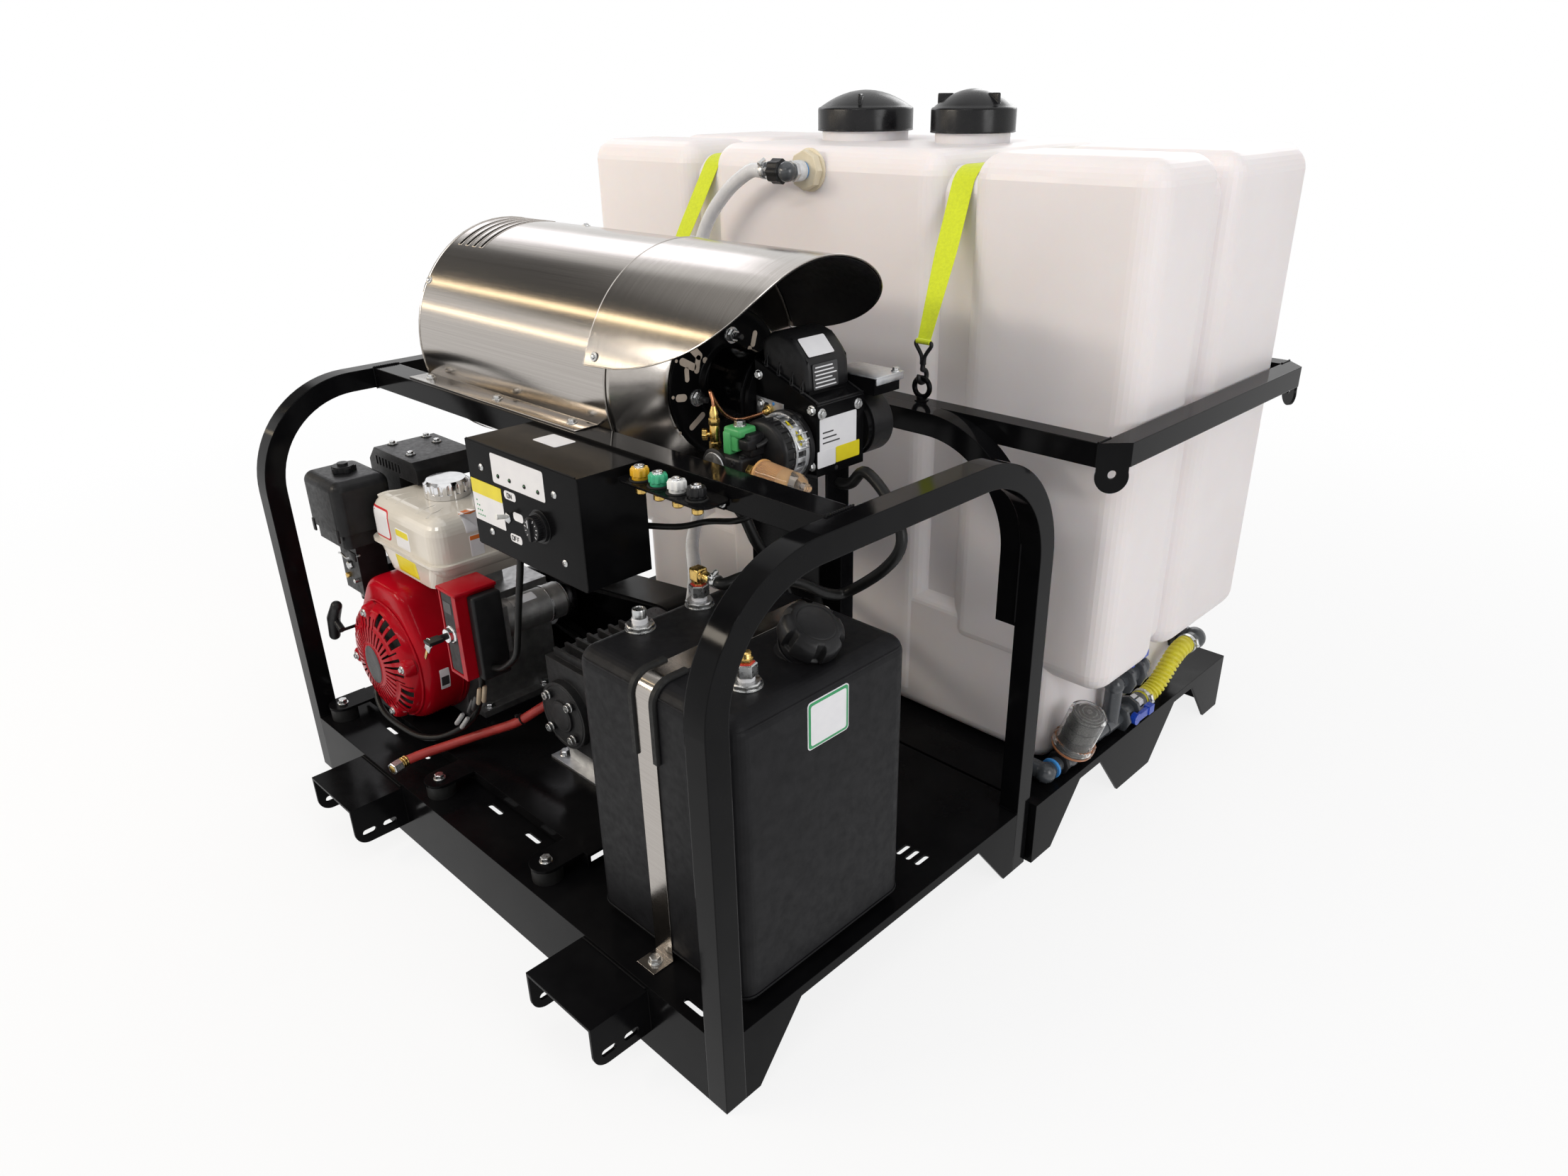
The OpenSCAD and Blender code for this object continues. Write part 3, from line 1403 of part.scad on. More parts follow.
// tank skid
module tank_base() {
  color("black") on_skid() translate([-base_over, tank_base_y, 0]) {
    base_walls(tank_base_w, module_a, 0);
    translate([0, module_a, 0]) base_walls(tank_base_w, module_b, 0);
    box([0, 0, deck_z - sheet], [tank_base_w, module_a + module_b, deck_z]);
  }
}
module cage_tab() {
  wide = cage_cut * sqrt(2) - 4;
  difference() {
    union() {
      translate([-wide / 2, -tab_h + tab_r]) square([wide, tab_h - tab_r]);
      translate([0, -tab_h + tab_r]) circle(tab_r);
    }
    translate([0, -tab_h + tab_r + 4]) circle(tab_hole);
  }
}
module tank_cage() {
  c = cage_cut;
  color("black") on_skid() {
    difference() {
      translate([0, 0, rail_z]) linear_extrude(tube) difference() {
        polygon([
          [cage_x0 + c, cage_y0], [cage_x1 - c, cage_y0], [cage_x1, cage_y0 + c], [cage_x1, cage_y1 - c],
          [cage_x1 - c, cage_y1], [cage_x0 + c, cage_y1], [cage_x0, cage_y1 - c], [cage_x0, cage_y0 + c]
        ]);
        translate([cage_x0 + tube, cage_y0 + tube])
          square([cage_x1 - cage_x0 - 2 * tube, cage_y1 - cage_y0 - 2 * tube]);
      }
      for (s = [-1, 1]) {
        for (y = [eye_y, eye_y_rear]) {
          bar_z([skid_w / 2 + s * eye_off, y, rail_z - eps], bolt_r + bolt_fit, tube + 2 * eps);
        }
      }
    }
    for (q = [[cage_x1, cage_y0, 45], [cage_x1, cage_y1, 135], [cage_x0, cage_y1, 225],
      [cage_x0, cage_y0, 315]]) {
      translate([
        q[0] + (q[0] > 0 ? -c / 2 : c / 2), q[1] + (q[1] > cage_y0 ? -c / 2 : c / 2), hoop_h
      ]) rotate([0, 0, q[2]]) rotate([90, 0, 0]) translate([0, 0, -tab_t]) linear_extrude(tab_t) cage_tab();
    }
    for (x = [upright_x, skid_w - upright_x - tube]) {
      box([x, cage_y1 - tube, deck_z], [x + tube, cage_y1, rail_z + eps]);
    }
  }
}
module water_tank() {
  x_groove0 = skid_w / 2 - strap_off;
  x_groove1 = skid_w / 2 + strap_off;
  split0 = side_groove_y;
  split1 = side_groove_y + side_groove_w;
  wall = 30;
  color("white") on_skid() difference() {
    union() {
      soft_block([tank_x0, tank_y0, tank_step_z], [x_groove0 - groove_half, split0, tank_top], tank_r);
      soft_block([tank_x0, split1, tank_step_z], [x_groove0 - groove_half, tank_y1, tank_top], tank_r);
      soft_block([x_groove0 + groove_half, tank_y0, deck_z],
        [x_groove1 - groove_half, tank_y1, tank_top], tank_r);
      soft_block([x_groove1 + groove_half, tank_y0, tank_step_z], [tank_x1, split0, tank_top], tank_r);
      soft_block([x_groove1 + groove_half, split1, tank_step_z], [tank_x1, tank_y1, tank_top], tank_r);
      soft_block([tank_x0 + groove, tank_y0 + groove, tank_step_z + 8],
        [tank_x1 - groove, tank_y1 - groove, tank_top - groove], tank_r);
      soft_block([tank_x0 + tank_low_x, tank_y0 + 3, deck_z],
        [low_face, tank_y1 - 3, tank_step_z + 90], 30);
      bar_z([lid_p[0], lid_p[1], tank_top - eps], lid_r - 9, lid_neck + eps);
      bar_z([small_lid_p[0], small_lid_p[1], tank_top - eps], small_lid_r - 9, lid_neck + eps);
    }
    box([tank_x0 + tank_low_x + wall, tank_y0 + 2 * wall, deck_z + wall],
      [low_face - wall, tank_y1 - 2 * wall, tank_top - 2 * wall]);
    bar_z([lid_p[0], lid_p[1], tank_top - 3 * wall], lid_r - 17, 5 * wall);
    bar_z([small_lid_p[0], small_lid_p[1], tank_top - 3 * wall], small_lid_r - 17, 5 * wall);
  }
}
module tank_lid(p, r) {
  rim = 44;
  dome = 32;
  ear_h = 16;
  color("black") on_skid() translate([p[0], p[1], tank_top + lid_rise]) difference() {
    union() {
      cylinder(r = r, h = rim);
      translate([0, 0, rim]) cylinder(r1 = r, r2 = r * 0.45, h = dome);
      for (a = [0, 180]) {
        rotate([0, 0, a + 44]) translate([r * 0.5, -3, rim - eps]) cube([r * 0.3, 6, ear_h + 8]);
      }
    }
    translate([0, 0, -eps]) cylinder(r = r - 9 + screw_fit, h = lid_neck - lid_rise + eps + part_fit);
    translate([0, 0, lid_neck - lid_rise]) cylinder(r = r - 17, h = rim - lid_neck + lid_rise);
  }
}
module tank_lid_main() {
  tank_lid(lid_p, lid_r);
}
module tank_lid_small() {
  tank_lid(small_lid_p, small_lid_r);
}
module strap_run(a, b) {
  hull() {
    for (p = [a, b]) {
      translate([p[0] - strap_w / 2, p[1], p[2]]) cube([strap_w, strap_t, strap_t]);
    }
  }
}
module strap_hook(x, y) {
  link_z = eye_z + eye_r - eye_wire - hook_wire + hook_r;
  plate_w = 52;
  translate([x, y, link_z]) rotate([0, 90, 0]) rotate_extrude() translate([hook_r, 0])
    circle(hook_wire, $fn = 24);
  bar_z([x, y, link_z + hook_r - 1], hook_wire + 1, hook_z - link_z - hook_r + 1);
  box([x - plate_w / 2, y - 3, hook_z - 8], [x + plate_w / 2, y + 5, hook_z]);
}
module strap_wrap(r) {
  zc = tank_top - groove - tank_r;
  ya = tank_y0 + groove + tank_r;
  yb = tank_y1 - groove - tank_r;
  steps = 9;
  polygon(concat(
    [for (k = [0 : steps]) [ya - r * sin(strap_turn * (1 - k / steps)),
      zc + r * cos(strap_turn * (1 - k / steps))]],
    [for (k = [0 : steps]) [yb + r * sin(rear_turn * k / steps), zc + r * cos(rear_turn * k / steps)]],
    [[yb, zc], [ya, zc]]
  ));
}
module tank_straps() {
  zc = tank_top - groove - tank_r;
  ya = tank_y0 + groove + tank_r;
  yb = tank_y1 - groove - tank_r;
  fold = tank_r + 2 * strap_fit + strap_t / 2;
  over_y = fold * sin(strap_turn);
  over_z = fold * cos(strap_turn) - strap_t / 2;
  rear_y = fold * sin(rear_turn);
  rear_z = fold * cos(rear_turn) - strap_t / 2;
  color("yellow") on_skid() for (s = [-1, 1]) {
    top_x = skid_w / 2 + s * strap_off;
    low_x = skid_w / 2 + s * eye_off;
    prism_x(top_x - strap_w / 2, strap_w) difference() {
      strap_wrap(tank_r + strap_fit + strap_t);
      strap_wrap(tank_r + strap_fit);
    }
    strap_run([low_x, eye_y - strap_t / 2, hook_z - 4], [top_x, ya - over_y - strap_t / 2, zc + over_z]);
    strap_run([low_x, eye_y_rear - strap_t / 2, hook_z - 4],
      [top_x, yb + rear_y - strap_t / 2, zc + rear_z]);
    strap_hook(low_x, eye_y);
    strap_hook(low_x, eye_y_rear);
  }
}
module tank_fittings() {
  nut_r = 32;
  color("dimgray") on_skid() {
    translate(bulk_p) rotate([90, 0, 0]) {
      cylinder(r = nut_r + 2, h = 20, $fn = 8);
      cylinder(r = 15, h = 63);
      translate([0, 0, 63]) sphere(18);
    }
    bar_x([bulk_p[0] - 48, bulk_p[1] - 63, bulk_p[2]], 15, 49);
    bar_x([far_p[0], far_p[1], far_p[2]], nut_r, 16);
    bar_x([far_p[0], far_p[1], far_p[2]], 19, 45);
    translate([far_p[0] + 45, far_p[1], far_p[2]]) sphere(24);
    bar_y([far_p[0] + 45, far_p[1] - 25, far_p[2]], 19, 26);
    bar_y([pipe_x, nipple_y - eps, pipe_z], pipe_r + 2, hose_y - nipple_y + eps);
    bar_y([pipe_x, valve_y, pipe_z], valve_r, valve_len);
    bar_y([pipe_x, tee_y - 26, pipe_z], pipe_r, 52);
    bar_z([pipe_x, tee_y, pipe_z], pipe_r, up_z - pipe_z);
    translate([pipe_x, tee_y, up_z]) sphere(pipe_r + 3);
    bar_y([pipe_x, tee_y, up_z], pipe_r, 26);
    bar_y([pipe_x, valve_y, up_z], valve_r, valve_len);
    bar_y([pipe_x, nipple_y - eps, up_z], pipe_r, 32);
    translate([pipe_x, nipple_y + 31, up_z]) sphere(pipe_r + 2);
    bar_x([low_face, nipple_y + 31, up_z], 14, pipe_x - low_face);
    bar_x([low_face, nipple_y + 31, up_z], 26, 10);
    bar_y([pipe_x, strain_p[1] + 20, pipe_z], pipe_r - 2, tee_y - strain_p[1] - 40);
    bar_y([pipe_x, strain_p[1] - 30, pipe_z], pipe_r + 4, 60);
    bar_y([pipe_x, strain_p[1] - 72, pipe_z], pipe_r - 2, 44);
    translate([pipe_x, strain_p[1] - 72, pipe_z]) sphere(pipe_r + 3);
    bar_x([pipe_x - 48, strain_p[1] - 72, pipe_z], pipe_r, 48);
    translate(strain_p) rotate([0, strain_tilt, 0]) {
      cylinder(r = 24, h = 24);
      translate([0, 0, 22]) cylinder(r = 34, h = 6);
    }
    bar_x([pipe_x, valve_y + valve_len / 2, pipe_z], 8, valve_r + 4);
    bar_z([pipe_x, valve_y + valve_len / 2, up_z], 8, valve_r + 4);
  }
}
module valve_handle_upper() {
  y = valve_y + valve_len / 2;
  z = up_z + valve_r + 4 + part_fit;
  color("royalblue") on_skid() {
    bar_z([pipe_x, y, z], 12, 12);
    box([pipe_x - 8, y, z + 4], [pipe_x + 8, y + 62, z + 12]);
    box([pipe_x - 9, y + 44, z], [pipe_x + 9, y + 64, z + 14]);
  }
}
module valve_handle_lower() {
  y = valve_y + valve_len / 2;
  x = pipe_x + valve_r + 4 + part_fit;
  color("royalblue") on_skid() {
    bar_x([x, y, pipe_z], 12, 12);
    box([x + 4, y, pipe_z - 8], [x + 12, y + 62, pipe_z + 8]);
    box([x, y + 44, pipe_z - 9], [x + 14, y + 64, pipe_z + 9]);
  }
}
module strainer_bowl() {
  nut_r = 41;
  bowl_r = 36;
  rest = 28 + part_fit;
  tall = 92;
  color("lightgray") on_skid() translate(strain_p) rotate([0, strain_tilt, 0])
    translate([0, 0, rest]) difference() {
    union() {
      cylinder(r = nut_r, h = 18);
      cylinder(r = bowl_r, h = tall);
    }
    translate([0, 0, -eps]) cylinder(r = bowl_r - 4, h = tall - 4 + eps);
  }
}
module suction_hose() {
  color("yellow") on_skid() ribbed_hose(suction_route, suction_r, suction_bore, rib_h, [1, 0, 0], 10);
}
module bypass_hose() {
  color("whitesmoke") on_skid() hose(bypass_route, bypass_r, [0.3, 1, 0.1], 4);
}
module drain_hose() {
  end = drain_route[len(drain_route) - 1];
  color("firebrick") on_skid() {
    hose(drain_route, drain_r, [0, 0, 1], 4);
    translate(end) rotate([90, 0, 14]) {
      translate([0, 0, -3]) cylinder(r = 10.5, h = 16);
      translate([0, 0, 12]) cylinder(r = 12, h = 20, $fn = 6);
    }
  }
}
module fuel_hoses() {
  color("black") on_skid() {
    hose(loop_route, fuel_hose_r, [0.1, 1, 0.3], 4);
    hose(return_route, fuel_hose_r, [1, 0.2, 0.1], 4);
    hose(wire_route, wire_r, [0.2, 0.3, 1], 4);
    hose(control_route, loom_r, [0, 1, 0], 2);
    hose(loom_route, loom_r, [0.6, -0.6, 0.5], 2);
  }
}

machine_base();
side_hoops();
rear_hoop();
front_rail();
engine_plate();
rubber_isolators();
fasteners();
engine_block();
fan_cover();
recoil_cover();
recoil_grip();
engine_fuel_tank();
engine_fuel_cap();
air_cleaner_base();
air_cleaner_cover();
air_cleaner_knob();
muffler_guard();
key_box();
ignition_key();
crankshaft();
pump_crankcase();
pump_manifold();
pump_shaft();
drive_belts();
belt_guard();
pump_bracket();
diesel_tank();
diesel_cap();
diesel_strap();
diesel_fittings();
control_box();
thermostat_knob();
burner_switch();
nozzle_rack();
nozzle_yellow();
nozzle_green();
nozzle_white();
nozzle_black();
coil_shell();
wind_hood();
burner_plate();
heating_coil();
burner_housing();
burner_motor();
air_shutter();
burner_column();
tank_base();
tank_cage();
water_tank();
tank_lid_main();
tank_lid_small();
tank_straps();
tank_fittings();
valve_handle_upper();
valve_handle_lower();
strainer_bowl();
suction_hose();
bypass_hose();
drain_hose();
fuel_hoses();
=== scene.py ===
"""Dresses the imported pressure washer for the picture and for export. Metres, +Z up, the CAD frame."""

import math

import bmesh
import bpy
from mathutils import Matrix, Vector
from mathutils.bvhtree import BVHTree


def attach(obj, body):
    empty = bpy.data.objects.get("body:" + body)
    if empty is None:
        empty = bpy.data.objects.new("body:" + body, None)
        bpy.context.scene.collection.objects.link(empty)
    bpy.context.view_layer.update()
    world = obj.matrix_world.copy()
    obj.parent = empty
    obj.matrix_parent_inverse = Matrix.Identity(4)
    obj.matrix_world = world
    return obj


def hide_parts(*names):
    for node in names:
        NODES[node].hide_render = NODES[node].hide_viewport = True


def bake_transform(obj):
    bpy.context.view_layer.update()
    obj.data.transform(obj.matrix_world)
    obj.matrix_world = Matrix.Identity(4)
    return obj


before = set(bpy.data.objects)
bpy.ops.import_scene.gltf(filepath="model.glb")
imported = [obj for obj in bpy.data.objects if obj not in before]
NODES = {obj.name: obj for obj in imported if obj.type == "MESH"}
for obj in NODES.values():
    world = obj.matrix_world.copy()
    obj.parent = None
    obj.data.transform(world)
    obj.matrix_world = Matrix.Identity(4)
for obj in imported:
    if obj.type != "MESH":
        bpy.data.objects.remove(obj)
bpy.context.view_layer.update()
SCENE = bpy.context.scene
SCENE.view_settings.view_transform = "Standard"

# The part's source measures from the machine skid's front left corner, in millimetres.
SKID_X, SKID_Y = 640.5, 711.5
X_UP, Y_UP, Z_UP = Vector((1, 0, 0)), Vector((0, 1, 0)), Vector((0, 0, 1))
LEFT, FRONT = Vector((-1, 0, 0)), Vector((0, -1, 0))

# Centres and faces of the solids that several pieces measure from
RAIL_BACK = 299.0
SHELL_Y, SHELL_Z, SHELL_R = 500.58, 873.0, 209.0
SHELL_LEFT, SHELL_LAP = 163.0, 737.0
CRANK_X, CRANK_Z = 216, 297
PANEL_FACE = 130.0
DIAL_X, DIAL_Z = 770, 712
RACK_X, RACK_PITCH, RACK_Y = 912, 41, 215
BURNER_SIDE, BURNER_END = 447.6, 1040
LABEL_Z = 504.0
NECK = Vector((1176, 262, 590))
NECK_WAY = Vector((0.5, 0, math.cos(math.radians(30))))
OUTLET_X, OUTLET_Z = 633.5, 1165
PIPE_X, PIPE_Z = 1263, 150


def place(p):
    """A point of the part's source, in millimetres from the skid corner, as metres in the shared frame."""
    return Vector(((p[0] - SKID_X) / 1000, (p[1] - SKID_Y) / 1000, p[2] / 1000))


# Camera and stage

SENSOR, LENS, SHIFT = 36.0, 24.544, (-0.01245, 0.00741)
EYE = (1.45025, -1.38132, 1.29826)
AHEAD = (-0.6278, 0.6485, -0.4305)
ROLL = -0.6748
FLOOR_HALF, FLOOR_Z = 14.0, -0.001


def make_camera():
    data = bpy.data.cameras.new("camera")
    data.sensor_width, data.lens = SENSOR, LENS
    data.shift_x, data.shift_y = SHIFT
    data.clip_end = 100.0
    cam = bpy.data.objects.new("camera", data)
    SCENE.collection.objects.link(cam)
    ahead = Vector(AHEAD).normalized()
    right = ahead.cross(Z_UP).normalized()
    up = right.cross(ahead)
    c, s = math.cos(math.radians(ROLL)), math.sin(math.radians(ROLL))
    turn = Matrix((c * right + s * up, c * up - s * right, -ahead)).transposed()
    cam.matrix_world = Matrix.Translation(EYE) @ turn.to_4x4()
    SCENE.camera = cam


def area_light(name, at, aim, size, power, color=(1, 1, 1)):
    data = bpy.data.lights.new(name, "AREA")
    data.shape = "RECTANGLE"
    data.size, data.size_y = size
    data.energy = power
    data.color = color
    lamp = bpy.data.objects.new(name, data)
    lamp.location = at
    lamp.rotation_mode = "QUATERNION"
    lamp.rotation_quaternion = (Vector(aim) - Vector(at)).to_track_quat("-Z", "Y")
    SCENE.collection.objects.link(lamp)


def node(tree, kind, **inputs):
    """A new shader node with some of its inputs set."""
    made = tree.nodes.new("ShaderNode" + kind)
    for socket, value in inputs.items():
        made.inputs[socket.replace("_", " ")].default_value = value
    return made


def maths(tree, operation, a, b):
    """The output of a maths node on two sockets."""
    made = node(tree, "Math")
    made.operation = operation
    tree.links.new(a, made.inputs[0])
    tree.links.new(b, made.inputs[1])
    return made.outputs[0]


def seen_ray(tree):
    """A factor of 1 for camera, mirror and glass rays, so that they all meet the pale background."""
    rays = node(tree, "LightPath").outputs
    direct = maths(tree, "MAXIMUM", rays["Is Camera Ray"], rays["Is Glossy Ray"])
    return maths(tree, "MAXIMUM", direct, rays["Is Transmission Ray"])


def end_in_mix(tree, output, factor, first, second):
    """Ends a tree in a mix of two shaders."""
    mix = node(tree, "MixShader")
    tree.links.new(factor, mix.inputs["Fac"])
    tree.links.new(first.outputs[0], mix.inputs[1])
    tree.links.new(second.outputs[0], mix.inputs[2])
    tree.links.new(mix.outputs[0], node(tree, output).inputs["Surface"])


def make_world():
    """Soft even light; seen rays meet white behind the object and, for the steel to mirror, bands in front of it."""
    world = bpy.data.worlds.new("studio")
    world.use_nodes = True
    tree = world.node_tree
    tree.nodes.clear()
    link = tree.links.new
    split = node(tree, "SeparateXYZ")
    link(node(tree, "TexCoord").outputs["Generated"], split.inputs[0])
    ramp = node(tree, "ValToRGB")
    bands = ((0.27, 1.0), (0.36, 0.14), (0.58, 0.10), (0.66, 0.42), (0.78, 0.46), (0.92, 0.20))
    while len(ramp.color_ramp.elements) < len(bands):
        ramp.color_ramp.elements.new(0.5)
    for element, (height, level) in zip(ramp.color_ramp.elements, bands):
        element.position = height
        element.color = (level, level * 0.985, level * 0.96, 1) if level < 1 else (1, 1, 1, 1)
    link(split.outputs["Z"], ramp.inputs["Fac"])
    behind = node(tree, "MapRange", From_Min=0.05, From_Max=0.17)
    behind.interpolation_type = "SMOOTHSTEP"
    link(split.outputs["Y"], behind.inputs["Value"])
    back = node(tree, "Mix")
    back.data_type = "RGBA"
    back.inputs["B"].default_value = (1, 1, 1, 1)
    link(behind.outputs["Result"], back.inputs["Factor"])
    link(ramp.outputs["Color"], back.inputs["A"])
    soft = node(tree, "Background", Color=(1.0, 0.985, 0.97, 1), Strength=0.42)
    seen = node(tree, "Background")
    link(back.outputs["Result"], seen.inputs["Color"])
    end_in_mix(tree, "OutputWorld", seen_ray(tree), soft, seen)
    SCENE.world = world


def make_floor():
    """A matt floor that catches the shadow and fades into the white background."""
    m = bpy.data.materials.new("pale_floor")
    m.use_nodes = True
    tree = m.node_tree
    tree.nodes.clear()
    reach = node(tree, "VectorMath")
    reach.operation = "LENGTH"
    tree.links.new(node(tree, "TexCoord").outputs["Object"], reach.inputs[0])
    fade = node(tree, "MapRange", From_Min=0.9, From_Max=3.6, To_Min=0.84, To_Max=1.0)
    fade.interpolation_type = "SMOOTHSTEP"
    tree.links.new(reach.outputs["Value"], fade.inputs["Value"])
    share = maths(tree, "MULTIPLY", seen_ray(tree), fade.outputs["Result"])
    matt = node(tree, "BsdfDiffuse", Color=(0.82, 0.82, 0.82, 1))
    end_in_mix(tree, "OutputMaterial", share, matt, node(tree, "Emission"))
    mesh = bpy.data.meshes.new("floor")
    corners = [(-1, -1), (1, -1), (1, 1), (-1, 1)]
    mesh.from_pydata([(FLOOR_HALF * x, FLOOR_HALF * y, FLOOR_Z) for x, y in corners], [], [(0, 1, 2, 3)])
    mesh.materials.append(m)
    floor = bpy.data.objects.new("floor", mesh)
    SCENE.collection.objects.link(floor)


make_camera()
make_world()
make_floor()
area_light("top_box", (0.3, -0.4, 3.4), (0.1, 0.1, 0.6), (3.2, 2.2), 20)
area_light("key_box", (-1.6, -3.0, 2.3), (0.0, 0.0, 0.6), (2.0, 0.34), 48, (1.0, 0.90, 0.76))
area_light("side_box", (3.4, -0.4, 1.7), (0.2, 0.2, 0.6), (1.4, 1.8), 33)
area_light("rear_box", (-0.6, 3.4, 2.4), (0.0, 0.4, 0.7), (2.4, 1.4), 26)
area_light("strip_front", (0.9, -2.6, 3.0), (0.2, 0.0, 0.7), (2.2, 0.16), 16)
area_light("strip_high", (-2.5, -1.39, 2.10), (-2.5, -0.21, 0.873), (2.6, 0.11), 5.2, (1.0, 0.79, 0.50))
area_light("back_panel", (-2.75, 0.82, 2.35), (-2.75, -0.21, 0.873), (2.6, 0.8), 11, (0.96, 0.93, 1.0))
area_light("strip_low", (-2.9, -2.0, 1.52), (-2.9, -0.21, 0.873), (2.6, 0.12), 4.4, (1.0, 0.80, 0.53))

# Materials


def mat(name, color, tone, scale, rough, metal=0.0, bump=0.0, grain=400.0, stretch=(1, 1, 1), edge=0.0, **sockets):
    """Noise mixes color with tone, moves the roughness between two values and raises a fine bump."""
    m = bpy.data.materials.new(name)
    m.use_nodes = True
    tree = m.node_tree
    bsdf = tree.nodes["Principled BSDF"]
    link = tree.links.new
    turn = node(tree, "Mapping", Scale=stretch)
    link(node(tree, "TexCoord").outputs["Object"], turn.inputs["Vector"])

    def noise(size, detail):
        n = node(tree, "TexNoise", Scale=size, Detail=detail, Roughness=0.6)
        link(turn.outputs["Vector"], n.inputs["Vector"])
        return n.outputs["Fac"]

    def span(value, low, high):
        r = node(tree, "MapRange", From_Min=0.32, From_Max=0.68, To_Min=low, To_Max=high)
        link(value, r.inputs["Value"])
        return r.outputs["Result"]

    mix = node(tree, "Mix")
    mix.data_type = "RGBA"
    mix.inputs["A"].default_value = (*color, 1)
    mix.inputs["B"].default_value = (*tone, 1)
    link(span(noise(scale, 6.0), 0.0, 1.0), mix.inputs["Factor"])
    link(mix.outputs["Result"], bsdf.inputs["Base Color"])
    link(span(noise(scale * 2.7, 4.0), *rough), bsdf.inputs["Roughness"])
    rise = node(tree, "Bump", Strength=bump, Distance=0.0006)
    link(noise(grain, 3.0), rise.inputs["Height"])
    if edge:
        bevel = node(tree, "Bevel", Radius=edge)
        bevel.samples = 4
        link(bevel.outputs["Normal"], rise.inputs["Normal"])
    link(rise.outputs["Normal"], bsdf.inputs["Normal"])
    for socket, value in {"Metallic": metal, **sockets}.items():
        bsdf.inputs[socket.replace("_", " ")].default_value = value
    return m


def weave(m):
    """Puts a plain weave, two crossed waves, in the place of a material's bump."""
    tree = m.node_tree
    link = tree.links.new
    coord = node(tree, "TexCoord")
    heights = []
    for axis in "XZ":
        wave = node(tree, "TexWave", Scale=170.0, Distortion=0.6)
        wave.bands_direction = axis
        link(coord.outputs["Object"], wave.inputs["Vector"])
        heights.append(wave.outputs["Fac"])
    bump = node(tree, "Bump", Strength=0.5, Distance=0.001)
    link(maths(tree, "MULTIPLY", *heights), bump.inputs["Height"])
    link(bump.outputs["Normal"], tree.nodes["Principled BSDF"].inputs["Normal"])
    return m


